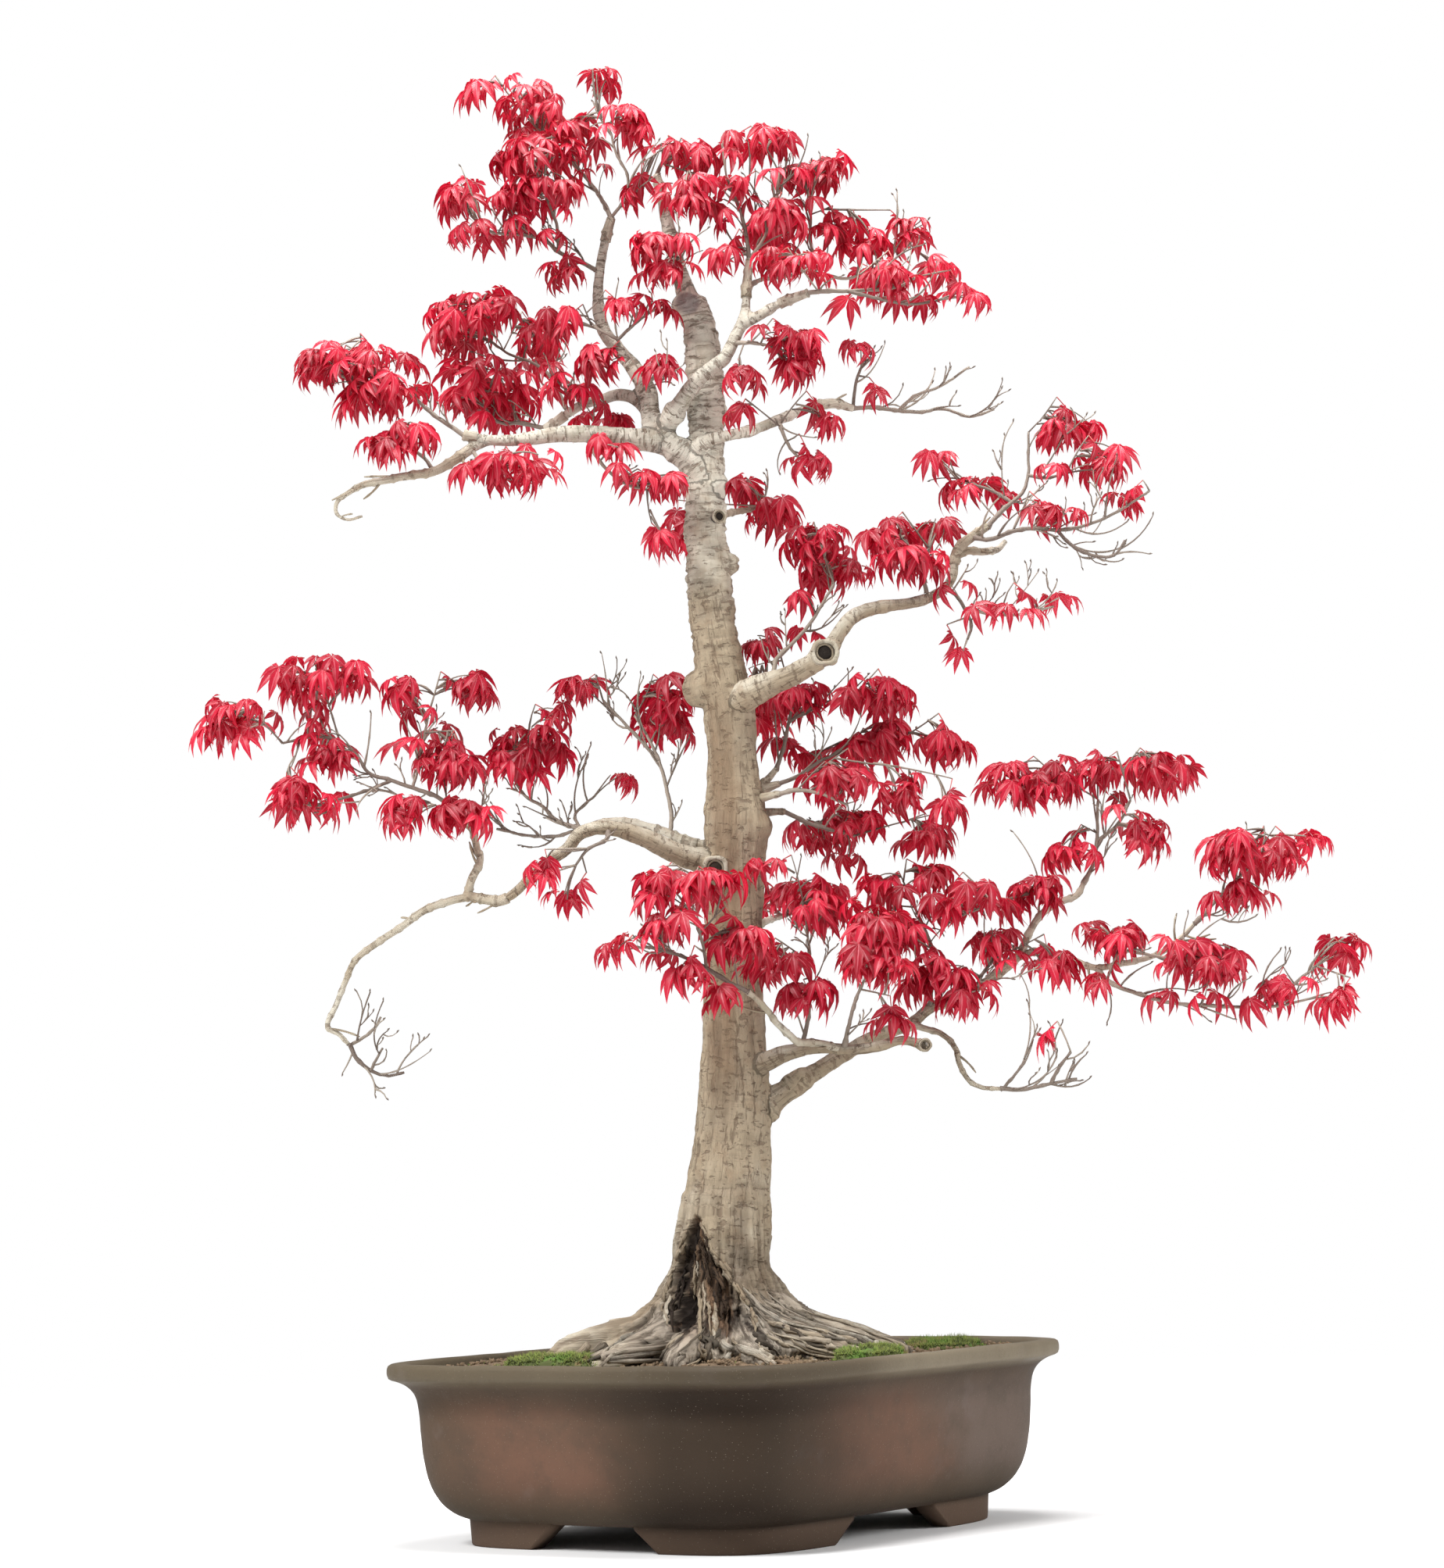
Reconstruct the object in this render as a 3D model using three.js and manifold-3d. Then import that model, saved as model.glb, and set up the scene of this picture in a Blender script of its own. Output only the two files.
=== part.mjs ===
// Deshojo Japanese maple bonsai in an unglazed stoneware pot.
// Units are millimetres, +Z is up. X runs along the pot's long side and -Y is its front face.
// The tree's routes are written in the tree's own frame, which faces its best side: x to the right,
// y away from the viewer, z up. TREE_TURN turns that frame about Z and TREE_LIFT raises it.
import * as THREE from 'three';
import { mergeVertices } from 'three/addons/utils/BufferGeometryUtils.js';
import Module from 'manifold-3d';

const wasm = await Module();
wasm.setup();

const TREE_TURN = THREE.MathUtils.degToRad(-55);
const TREE_LIFT = 8.5;
const GAP = 0.35;

// Pot
const POT_HALF_LENGTH = 203;
const POT_HALF_WIDTH = 173;
const POT_SQUARENESS = 5.9;
const POT_SIDES = 32;
const RIM_HEIGHT = 122;
const FLOOR_UNDERSIDE = 16;
const FLOOR_TOP = 29;
const FOOT_HEIGHT = 24;
const FOOT_INSET = 42;
const FOOT_THICKNESS = 16;
const FOOT_GAP_LONG = { top: 48, bottom: 70 };
const FOOT_GAP_SHORT = { top: 33, bottom: 52 };
const DRAIN_RADIUS = 15;
const DRAIN_OFFSET = 85;
const SCREEN_SIZE = 46;
const SCREEN_BAR = 5;
const SCREEN_THICKNESS = 1.6;

// Profiles are pairs of inset from the rim's outline and height.
const POT_OUTSIDE = [
  [52, FLOOR_UNDERSIDE], [36, 20.2], [27.5, 28.5], [21.3, 42.5], [18, 62.5], [16.3, 92.5],
  [12, 104.5], [2.3, 111.5], [0, 114], [0, 119.5], [2.5, RIM_HEIGHT],
];
const POT_INSIDE = [[12, RIM_HEIGHT], [15, 113], [28, 98], [33, 46], [54, FLOOR_TOP]];

// Soil: rings of its mound, as a share of the outline at the wall, and height
const SOIL_MOUND = [[0.75, 119], [0.5, 122.5]];
const SOIL_EDGE_HEIGHT = 115.5;

// Moss cushions in the tree's frame: centre, half length, half width, turn in degrees, top
const MOSS = {
  moss_front_left: { x: -112, y: -72, long: 46, wide: 23, turn: 145, top: 117 },
  moss_front_right: { x: 92, y: -78, long: 34, wide: 20, turn: 55, top: 117.5 },
  moss_right: { x: 146, y: 34, long: 40, wide: 24, turn: 50, top: 116.5 },
  moss_back: { x: -46, y: 122, long: 44, wide: 24, turn: -35, top: 117 },
};
const MOSS_SIDES = 10;
const MOSS_BOTTOM = 104;
const MOSS_EDGE_HEIGHT = 109;

// Root crown: height, centre x, core radius, share of the surface roots' reach
const CROWN_RINGS = [
  [82, 0, 46, 0.35], [104, 0, 57, 1], [117, 0, 56, 1.02], [123, -1, 53, 0.78],
  [131, -2, 49, 0.5], [140, -3, 46, 0.27], [152, -4, 41.5, 0.1], [172, -4, 36, 0],
  [200, -1.5, 32.8, 0], [222, 1.5, 30.6, 0],
];
const CROWN_SIDES = 22;
const TRUNK_SIDES = 10;
const BEND_SLACK = 1.5;
// Surface roots: direction in degrees, reach past the core, half angle of the root
const SURFACE_ROOTS = [
  [-8, 62, 17], [-38, 50, 15], [-70, 26, 16], [-106, 30, 15], [-145, 44, 16], [176, 60, 17],
  [136, 32, 18], [93, 26, 16], [48, 36, 18],
];

// Trunk and limbs: x, y, z and radius at each bend
const TRUNK = [
  [0.5, 0, 205, 32], [5.6, 2, 250, 28.4], [9, 1, 300, 24.8], [9.8, -1, 350, 21.8], [11.4, -3, 400, 21],
  [13, -3, 445, 21.6], [15, -2, 475, 23.5], [14.8, 0, 505, 19], [12, 2, 555, 18.9], [6, 2, 590, 17.8],
  [1, 1, 645, 16.3], [-0.6, 0, 695, 15.4], [1.5, 0, 735, 13.8], [2.4, 0, 780, 14], [0.5, 0, 815, 13],
  [-5, 1, 846, 9.8],
];
const LIMBS = {
  leader: [[-5, 1, 838, 9], [-13, 5, 862, 6.8], [-19, 9, 890, 6.2], [-24, 12, 915, 4.8], [-28, 16, 938, 2.8]],
  left_leader: [
    [4, -2, 708, 12], [-10, -5, 731, 11.5], [-25, -6, 742, 10], [-35, -4, 754, 8.5], [-38, 0, 778, 7.4],
    [-47, 4, 797, 6.9], [-58, 8, 812, 6.3], [-68, 10, 826, 5.8], [-71.5, 10, 845, 5.2], [-70, 9, 868, 4.6],
    [-66, 8, 888, 4], [-61, 8, 906, 3.2],
  ],
  upper_left: [
    [-30, -7, 744, 8.6], [-50, -11, 745, 8], [-66, -14, 747.5, 7.6], [-82, -17, 748.5, 7.2],
    [-100, -21, 748, 6.6], [-118, -26, 745, 5.8], [-137, -30, 743, 5], [-152, -33, 744, 4.6],
    [-166, -35, 747, 3.4],
  ],
  bare_left: [
    [-150, -32, 743, 3.8], [-161, -35, 737, 3.8], [-172, -38, 729, 3.5], [-186, -41, 721, 3.2],
    [-203, -44, 718, 2.9], [-219, -46, 715, 2.6], [-235, -46, 712, 2.3], [-245, -45, 707, 1.8],
    [-253, -44, 701, 1.5], [-254, -43, 694, 1.2], [-246, -42, 689, 1], [-236, -42, 691, 0.8],
  ],
  arched_left: [
    [-33, -4, 756, 6.6], [-41, 2, 771, 6.2], [-50, 8, 778.5, 5.8], [-60, 13, 781, 5.4], [-70, 18, 779, 5],
    [-84, 24, 777, 4.5], [-95, 29, 772, 4.1], [-104, 33, 766.5, 3.6], [-112, 36, 763, 2.8],
  ],
  right_leader: [
    [-28, -5, 752, 7.4], [-19, -14, 763.5, 7], [-9, -21, 776, 6.8], [-2, -25, 783.5, 6.5],
    [7, -27, 790.5, 6.2], [16, -28, 797, 5.9], [22, -27, 808, 5.4], [27, -26, 818, 5], [31, -25, 828, 4.6],
    [33, -22, 848, 3.6], [35, -18, 868, 2.4],
  ],
  right_shelf: [
    [28, -26, 821, 4.6], [43, -30, 827, 4.4], [51, -33, 831, 4], [63, -38, 835, 3.6], [75, -43, 838, 2.8],
  ],
  right_bough: [
    [-8, -4, 727, 6], [-5, -11, 736, 5.6], [3, -16, 741.5, 5.2], [16, -16, 744.5, 5], [30, -8, 748.5, 4.8],
    [41, 2, 753.5, 4.6], [53, 12, 760, 4.4], [68, 22, 767, 4.1], [80, 29, 772, 3.8], [94, 35, 774.5, 3.5],
    [106, 41, 772, 2.6],
  ],
  middle_right: [
    [8, -2, 553, 10], [27, -14, 564, 9.6], [42, -20, 570, 9.2], [57, -24, 575, 8.8], [72, -26, 583, 8.2],
    [83, -26, 593, 7.4], [91, -25, 605, 6.6], [99, -23, 614, 6.1], [109, -20, 619, 5.8],
    [123, -17, 622, 5.4], [138, -15, 623.5, 5.1], [152, -13, 627, 4.7], [164, -12, 634, 4.2],
    [170, -11, 642, 4], [172, -10, 654, 3.8], [175, -10, 662, 3.6], [184, -10, 669.5, 3.4],
    [196, -10, 677, 2.6],
  ],
  pale_stub: [
    [171, -9, 655, 3], [180, -4, 660.5, 2.8], [193, 2, 661, 2.6], [203, 7, 663, 2.3], [209, 11, 669, 1.7],
  ],
  left_bough: [
    [6, -4, 446, 10.5], [-12, -11, 450.5, 9.4], [-25, -16, 454, 8.6], [-36, -21, 459, 8],
    [-46, -26, 464, 7.6],
    [-60, -31, 469.5, 6.9], [-72, -34, 472, 6.3], [-84, -36, 471.5, 5.8], [-93, -36, 468, 5.6],
    [-100, -36, 459.5, 5.3], [-107, -35, 454.5, 5], [-115, -34, 450, 4.8], [-127, -33, 440, 4.5],
    [-136, -32, 431, 4.2], [-146, -30, 425, 3.8], [-160, -28, 426, 3.4], [-173, -25, 430, 2.8],
  ],
  bare_drop: [
    [-168, -26, 428, 2.8], [-186, -22, 425, 2.7], [-201, -18, 420, 2.6], [-217, -13, 409.5, 2.4],
    [-233, -9, 400, 2.3], [-251, -4, 387, 2.1], [-257, -1, 375, 2], [-265, 2, 357, 1.9], [-271, 4, 342, 1.8],
    [-263, 5, 337, 1.6], [-256, 6, 330, 1.3],
  ],
  left_rise: [
    [-171, -25, 428, 2.8], [-167, -24, 441, 2.8], [-162, -20, 452, 2.6], [-164, -16, 463, 2.5],
    [-167, -12, 475, 2.4], [-172, -8, 485, 2.3], [-181, -3, 493, 1.9],
  ],
  slim_left: [
    [2, 6, 460, 4.6], [-16, 13, 464, 3.8], [-31, 19, 471, 3.1], [-46, 25, 477, 2.7], [-60, 30, 481.5, 2.4],
    [-76, 35, 482.5, 2.2], [-94, 40, 478, 1.8],
  ],
  tuft_high: [[22, 8, 496, 4.2], [36, 14, 505, 2.8], [44, 18, 514, 1.9]],
  tuft_middle: [[20, 2, 494, 5], [37, 6, 500, 3.4], [46, 8, 503, 2.2]],
  tuft_front: [[24, -6, 490, 4], [38, -11, 493, 2.8], [46, -14, 494, 2]],
  tuft_low: [[24, 8, 482, 4.4], [40, 14, 484, 2.8], [49, 17, 484, 2]],
  front_right: [
    [12, -6, 304, 9.5], [30, -14, 309, 7.8], [42, -19, 314, 6.9], [55, -23, 317, 6], [70, -27, 318, 5.2],
    [84, -31, 316, 4.8], [97, -35, 316, 4.5], [111, -39, 318.5, 4.3], [124, -43, 321, 4.1],
    [137, -47, 317.5, 4],
  ],
  low_right: [
    [16, 2, 262, 12], [31, 2, 280, 10], [42, 2, 288, 9], [54, 2, 296.5, 8.3], [66, 1, 303, 7.6],
    [80, 0, 311, 6.8], [102, 0, 323, 6], [117, 0, 329, 5.5], [131, 1, 333, 5.2], [145, 3, 344, 4.8],
    [162, 5, 350, 4.5], [179, 6, 358, 4.1], [193, 7, 366.5, 3.7], [205, 8, 376, 3.4], [212, 9, 382, 2.8],
  ],
  right_rise: [
    [209, 8, 377, 2.9], [213, 10, 388, 2.7], [218, 12, 398, 2.6], [226, 14, 408, 2.5], [237, 17, 415, 2.4],
    [251, 20, 420.5, 2.2], [256, 22, 429, 1.8],
  ],
  right_tail: [
    [208, 8, 378, 2.8], [220, 6, 381, 2.7], [231, 2, 379, 2.5], [245, -4, 374, 2.3], [259, -10, 368, 2.2],
    [276, -16, 370, 2.1], [293, -20, 373, 1.9], [307, -24, 378.5, 1.8], [318, -27, 387, 1.6],
    [327, -30, 396, 1.4],
  ],
  bare_right: [
    [130, 0, 334, 2.6], [143, -6, 329, 2.2], [153, -11, 325, 2], [161, -17, 315, 1.9], [163, -21, 304, 1.8],
    [172, -25, 290, 1.6], [191, -29, 286.5, 1.3],
  ],
  front_cross: [
    [82, -31, 316, 2.6], [66, -38, 321, 2.6], [52, -44, 322, 2.5], [46, -50, 327, 2.4], [39, -56, 334, 2.2],
    [30, -64, 346, 2], [19, -70, 356, 1.7],
  ],
  back_low: [[12, 8, 390, 6], [18, 30, 398, 4.4], [26, 52, 406, 3.2], [36, 76, 412, 2.4], [46, 94, 416, 1.9]],
  back_high: [[2, 4, 684, 5], [8, 24, 694, 3.2], [20, 42, 700, 2.4], [32, 56, 704, 1.8]],
};
// Scars and swellings on the wood: x, y, z, radius
const KNOTS = [
  [-9, -1, 839, 9.5], [79, -29, 588, 8.5], [0, -12, 443, 11], [30, -10, 470, 10], [15, 0, 668, 5],
  [-6, 2, 562, 13],
];

// Sprays: the limb and the bend that each grows from (the limb's end when it names no bend), the routes
// of its stems, and its pads of foliage. A stem's first number is the bend of the first stem that it
// leaves. A pad is its centre, its three half sizes, and how many leaf pairs it holds.
const SPRAYS = {
  crown_left: {
    limb: 'left_leader',
    stems: [
      [0, [-68, 12, 922], [-80, 16, 940], [-96, 18, 958], [-112, 18, 975]],
      [0, [-50, 3, 920], [-48, -2, 932], [-56, -5, 950], [-60, -6, 968]],
    ],
    pads: [
      [-115, 18, 990, 26, 26, 22, 3], [-150, 10, 1000, 14, 14, 9, 1], [-68, -6, 1002, 14, 14, 9, 1],
      [-48, -8, 968, 20, 20, 16, 1], [-80, 2, 972, 20, 20, 10, 1],
    ],
  },
  crown_shelf: {
    limb: 'left_leader', bend: 9,
    stems: [
      [
        0, [-80, 4, 873], [-98, 0, 881], [-106, -4, 888], [-125, -10, 892], [-145, -14, 894],
        [-158, -16, 905],
      ],
      [2, [-99, -6, 900], [-104, -8, 915], [-110, -10, 932]],
    ],
    pads: [
      [-112, -12, 948, 34, 28, 15, 2], [-112, -10, 920, 36, 30, 12, 2], [-165, -16, 920, 18, 20, 16, 1],
      [-158, -18, 894, 13, 13, 8, 1], [-92, -6, 864, 14, 14, 8, 1],
    ],
  },
  crown_middle: {
    limb: 'leader',
    stems: [[0, [-24, 14, 946], [-14, 10, 952]]],
    pads: [[-10, 8, 950, 26, 26, 11, 2], [-4, -8, 920, 24, 24, 18, 2], [-40, 0, 922, 12, 14, 9, 1]],
  },
  crown_front: {
    limb: 'leader', bend: 1,
    stems: [[0, [-14, -14, 868], [-16, -24, 874]]],
    pads: [[-22, -26, 880, 22, 20, 13, 1], [-22, -30, 858, 20, 16, 9, 1]],
  },
  crown_right: {
    limb: 'right_leader',
    stems: [
      [0, [34, -14, 885], [30, -10, 905], [21, -8, 930]],
      [0, [45, -14, 882], [54, -10, 905], [58, -6, 932]],
    ],
    pads: [
      [20, -8, 952, 10, 12, 10, 1], [24, -14, 920, 10, 14, 9, 1], [56, -14, 900, 16, 20, 14, 1],
      [55, 0, 957, 22, 22, 10, 1], [20, -22, 870, 10, 12, 8, 1],
    ],
  },
  crown_back: {
    limb: 'right_leader', bend: 9,
    stems: [
      [
        0, [44, -8, 856], [56, 2, 859], [75, 12, 866], [81, 17, 874], [79, 22, 890], [80, 22, 908],
        [78, 20, 925],
      ],
      [3, [92, 20, 863], [104, 25, 862], [118, 28, 866], [132, 30, 871], [150, 28, 886]],
    ],
    pads: [
      [80, 18, 936, 27, 28, 16, 2], [92, 12, 898, 12, 16, 13, 1], [118, 24, 888, 20, 22, 12, 1],
      [150, 26, 891, 15, 18, 13, 1], [166, 24, 865, 11, 14, 10, 1], [50, 44, 905, 24, 22, 16, 2],
    ],
  },
  right_shelf: {
    limb: 'right_shelf',
    stems: [
      [0, [89, -47, 838], [102, -49, 837], [120, -47, 838], [138, -42, 841], [150, -38, 848]],
      [2, [122, -56, 830], [146, -52, 826], [164, -48, 829]],
    ],
    pads: [
      [66, -46, 858, 34, 24, 12, 2], [125, -44, 848, 28, 26, 13, 2], [180, -46, 831, 16, 14, 9, 1],
    ],
  },
  leader_inside: {
    limb: 'right_leader', bend: 6,
    stems: [[0, [34, -34, 806], [48, -36, 803]]],
    pads: [[58, -34, 806, 25, 22, 12, 2], [66, -30, 789, 18, 18, 8, 1], [30, -44, 779, 11, 12, 9, 1]],
  },
  right_bough_tip: {
    limb: 'right_bough',
    stems: [
      [0, [120, 46, 773], [139, 50, 771], [156, 54, 770], [170, 58, 773], [190, 60, 767], [208, 62, 772]],
      [0, [108, 42, 785], [113, 46, 801], [124, 52, 812]],
      [2, [150, 46, 780], [168, 44, 786], [190, 46, 800]],
    ],
    pads: [[112, 42, 812, 10, 12, 9, 1], [126, 38, 782, 8, 8, 6, 1]],
  },
  right_bough_under: {
    limb: 'right_bough', bend: 6,
    stems: [[0, [54, -2, 752], [60, -8, 736], [66, -12, 728]]],
    pads: [[74, -14, 724, 14, 14, 9, 1], [84, 4, 758, 14, 14, 8, 1], [24, -30, 756, 9, 10, 8, 1]],
  },
  left_leader_side: {
    limb: 'left_leader', bend: 6,
    stems: [
      [0, [-58, -8, 816], [-76, -8, 826]],
      [1, [-46, -12, 826], [-34, -14, 834]],
    ],
    pads: [[-92, -10, 827, 19, 18, 10, 1], [-53, -18, 836, 14, 14, 10, 1], [-30, -16, 836, 15, 14, 9, 1]],
  },
  left_leader_low: {
    limb: 'left_leader', bend: 4,
    stems: [[0, [-38, -16, 782], [-29, -22, 790]]],
    pads: [[-27, -26, 793, 15, 15, 10, 1], [-64, -18, 797, 20, 16, 12, 1]],
  },
  arched_left_side: {
    limb: 'arched_left', bend: 5,
    stems: [[0, [-86, 10, 780], [-92, 2, 784]]],
    pads: [[-90, 2, 785, 19, 18, 14, 1], [-70, 4, 762, 22, 16, 8, 1]],
  },
  arched_left_tip: {
    limb: 'arched_left',
    stems: [[0, [-130, 41, 768], [-146, 44, 770], [-156, 44, 782]]],
    pads: [[-152, 50, 797, 34, 40, 23, 3]],
  },
  arched_left_rise: {
    limb: 'arched_left', bend: 6,
    stems: [[0, [-100, 38, 784], [-108, 46, 802], [-120, 52, 813], [-137, 58, 821], [-150, 60, 831]]],
    pads: [[-160, 60, 848, 34, 40, 22, 3], [-118, 84, 838, 22, 22, 14, 1]],
  },
  upper_left_tip: {
    limb: 'upper_left',
    stems: [[0, [-178, -34, 756], [-186, -32, 762], [-203, -28, 778], [-216, -26, 785], [-236, -24, 786]]],
    pads: [[-240, -26, 801, 43, 40, 13, 3], [-221, -34, 779, 31, 36, 11, 2]],
  },
  bare_left_side: {
    limb: 'bare_left', bend: 3,
    stems: [[0, [-193, -38, 731], [-202, -36, 738]]],
    pads: [[-206, -56, 742, 28, 26, 14, 2]],
  },
  bare_left_under: {
    limb: 'bare_left', bend: 1,
    stems: [[0, [-154, -40, 727], [-144, -44, 722]]],
    pads: [[-137, -44, 722, 39, 30, 13, 2]],
  },
  upper_left_under: {
    limb: 'upper_left', bend: 3,
    stems: [[0, [-76, -22, 734], [-68, -26, 722], [-54, -28, 710], [-40, -28, 706]]],
    pads: [[-70, -26, 736, 24, 20, 8, 1], [-38, -32, 712, 22, 16, 9, 1], [-29, -30, 672, 8, 8, 8, 1]],
  },
  back_high: {
    limb: 'back_high',
    stems: [[0, [42, 62, 707]]],
    pads: [[30, 52, 720, 14, 18, 10, 1], [46, 58, 702, 26, 24, 10, 2], [-14, 60, 690, 22, 22, 16, 1]],
  },
  middle_right_shoot: {
    limb: 'middle_right', bend: 2,
    stems: [[0, [46, -7, 588], [58, -3, 600], [70, 1, 613], [79, 3, 627], [88, 1, 641]]],
    pads: [[75, 12, 673, 22, 26, 12, 1], [91, 22, 655, 24, 28, 16, 2]],
  },
  middle_right_middle: {
    limb: 'middle_right', bend: 11,
    stems: [[0, [150, -16, 642], [154, -14, 662]]],
    pads: [[128, -30, 666, 20, 26, 17, 1], [142, -34, 652, 24, 26, 12, 2], [160, -2, 679, 18, 20, 10, 1]],
  },
  far_right_top: {
    limb: 'middle_right',
    stems: [
      [0, [206, -7, 688], [213, -4, 694], [221, 0, 701], [226, 4, 714], [227, 8, 731], [228, 12, 746]],
      [2, [204, 4, 702], [192, 8, 708], [178, 12, 713]],
      [4, [238, -2, 711], [252, -6, 713]],
    ],
    pads: [
      [165, 10, 726, 12, 12, 8, 1], [180, 6, 705, 11, 12, 8, 1], [252, 12, 749, 24, 24, 14, 2],
      [276, -8, 720, 22, 22, 12, 1],
    ],
  },
  far_right_side: {
    limb: 'middle_right', bend: 16,
    stems: [
      [
        0, [196, -20, 666], [212, -22, 671], [227, -26, 672], [242, -28, 670], [260, -30, 672],
        [280, -33, 679], [306, -37, 694],
      ],
      [4, [252, -32, 658], [265, -34, 651], [280, -36, 650], [288, -37, 660]],
    ],
    pads: [[234, -26, 683, 24, 20, 8, 1], [287, -32, 688, 12, 12, 7, 1]],
  },
  middle_right_hanger: {
    limb: 'middle_right', bend: 12,
    stems: [
      [0, [171, -22, 628], [177, -22, 618], [181, -23, 606], [178, -24, 596]],
      [2, [196, -26, 613], [216, -28, 612], [238, -28, 617]],
    ],
    pads: [[173, -24, 588, 6, 6, 5, 1], [228, -26, 620, 7, 7, 5, 1]],
  },
  left_fan: {
    limb: 'left_rise',
    stems: [
      [
        0, [-194, 2, 501], [-209, 6, 507], [-224, 9, 513], [-240, 11, 519], [-248, 14, 532],
        [-260, 16, 542], [-276, 18, 546], [-300, 18, 542],
      ],
      [3, [-240, 4, 506], [-256, 0, 501], [-276, -4, 495]],
      [2, [-206, 14, 520], [-202, 20, 540], [-198, 22, 560]],
    ],
    pads: [
      [-332, 14, 557, 31, 24, 17, 2], [-272, 20, 585, 35, 32, 17, 2], [-266, 12, 530, 24, 20, 13, 1],
      [-287, -8, 500, 25, 24, 17, 2], [-212, 22, 576, 17, 18, 11, 1], [-173, 24, 578, 18, 18, 12, 1],
      [-186, 8, 527, 28, 28, 17, 2],
    ],
  },
  left_rise_side: {
    limb: 'left_rise', bend: 4,
    stems: [[0, [-170, -24, 482], [-178, -30, 486]]],
    pads: [[-172, -32, 484, 24, 22, 14, 2], [-211, -30, 486, 16, 16, 15, 1]],
  },
  left_bough_hanger: {
    limb: 'left_bough', bend: 6,
    stems: [[0, [-74, -46, 463], [-86, -48, 457], [-95, -48, 446]]],
    pads: [[-112, -48, 441, 12, 12, 10, 1], [-100, -46, 424, 12, 12, 10, 1]],
  },
  bare_drop_tip: {
    limb: 'bare_drop',
    stems: [
      [0, [-252, 7, 321], [-242, 8, 312], [-230, 9, 308], [-219, 10, 310]],
      [0, [-247, 12, 335], [-239, 14, 342], [-235, 15, 349]],
      [2, [-238, 3, 319], [-233, 0, 327]],
    ],
    pads: [],
  },
  slim_left_tip: {
    limb: 'slim_left',
    stems: [
      [0, [-110, 43, 484], [-122, 46, 496], [-133, 48, 503], [-140, 48, 514]],
      [0, [-112, 48, 474], [-130, 52, 475], [-154, 56, 481]],
      [0, [-98, 56, 490], [-84, 60, 503]],
    ],
    pads: [[-130, 46, 533, 28, 30, 23, 2], [-113, 42, 558, 15, 16, 8, 1], [-70, 60, 512, 12, 12, 8, 1]],
  },
  slim_left_rise: {
    limb: 'slim_left', bend: 2,
    stems: [
      [0, [-30, 22, 484], [-33, 26, 504], [-38, 28, 524], [-46, 30, 542], [-54, 32, 556]],
      [3, [-62, 34, 552], [-76, 36, 568]],
    ],
    pads: [[-34, 32, 568, 21, 24, 15, 1], [-34, 62, 552, 20, 24, 14, 1], [-90, 36, 577, 17, 18, 12, 1]],
  },
  tuft_high: {
    limb: 'tuft_high',
    stems: [
      [0, [50, 22, 530], [54, 26, 548], [58, 28, 562]],
      [2, [76, 28, 560], [98, 28, 564]],
    ],
    pads: [
      [58, 24, 568, 26, 26, 12, 2], [114, 26, 565, 30, 28, 14, 2], [36, 20, 602, 16, 16, 9, 1],
      [34, 78, 562, 28, 26, 18, 1],
    ],
  },
  tuft_middle: {
    limb: 'tuft_middle',
    stems: [[0, [60, 16, 509], [76, 24, 520], [98, 34, 528], [120, 40, 529]]],
    pads: [[118, 42, 536, 20, 24, 15, 1], [160, 44, 531, 23, 22, 11, 2], [76, 46, 524, 16, 18, 10, 1]],
  },
  tuft_front: {
    limb: 'tuft_front',
    stems: [[0, [58, -16, 496], [73, -18, 493], [92, -22, 484]]],
    pads: [[88, -20, 501, 28, 28, 12, 2], [132, -22, 491, 20, 22, 12, 1], [160, -26, 481, 10, 12, 8, 1]],
  },
  tuft_low: {
    limb: 'tuft_low',
    stems: [[0, [66, 22, 476], [82, 26, 471], [98, 30, 467]]],
    pads: [[97, 30, 478, 20, 22, 11, 1], [148, 28, 463, 23, 22, 9, 2], [76, 76, 472, 24, 24, 14, 1]],
  },
  front_cross: {
    limb: 'front_cross',
    stems: [
      [0, [7, -76, 362], [-8, -82, 372], [-24, -86, 380], [-36, -90, 384], [-48, -92, 387]],
      [2, [-10, -84, 388], [-16, -86, 408]],
    ],
    pads: [
      [-30, -94, 402, 26, 20, 9, 1], [-22, -88, 428, 39, 26, 15, 3], [14, -82, 389, 24, 22, 18, 2],
      [-68, -92, 383, 10, 10, 6, 1], [-18, -92, 368, 16, 14, 10, 1], [4, -82, 351, 10, 12, 10, 1],
    ],
  },
  front_right_rise: {
    limb: 'front_right', bend: 5,
    stems: [[0, [87, -44, 330], [93, -50, 350], [102, -52, 368]]],
    pads: [[106, -66, 377, 24, 26, 18, 2], [107, -58, 402, 24, 26, 17, 2], [112, -52, 332, 18, 14, 6, 1]],
  },
  front_right_inner: {
    limb: 'front_right', bend: 3,
    stems: [[0, [60, -30, 336], [62, -32, 360], [62, -26, 388]]],
    pads: [
      [66, -28, 416, 21, 22, 20, 1], [37, -36, 442, 13, 12, 7, 1], [60, -42, 353, 18, 16, 10, 1],
      [40, -46, 374, 24, 18, 11, 1],
    ],
  },
  back_low: {
    limb: 'back_low',
    stems: [
      [0, [52, 106, 418], [60, 118, 420]],
      [0, [38, 108, 424], [20, 118, 432]],
    ],
    pads: [[58, 104, 428, 32, 34, 17, 2], [12, 120, 434, 26, 26, 14, 2]],
  },
  low_right_rise: {
    limb: 'low_right', bend: 9,
    stems: [[0, [146, -8, 356], [150, -10, 372], [144, -4, 396], [134, 2, 420]]],
    pads: [
      [150, -14, 367, 28, 26, 18, 2], [116, 6, 431, 16, 16, 10, 1], [146, 6, 437, 16, 16, 9, 1],
      [120, 22, 398, 22, 22, 16, 1],
    ],
  },
  right_rise_inner: {
    limb: 'right_rise', bend: 4,
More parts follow.
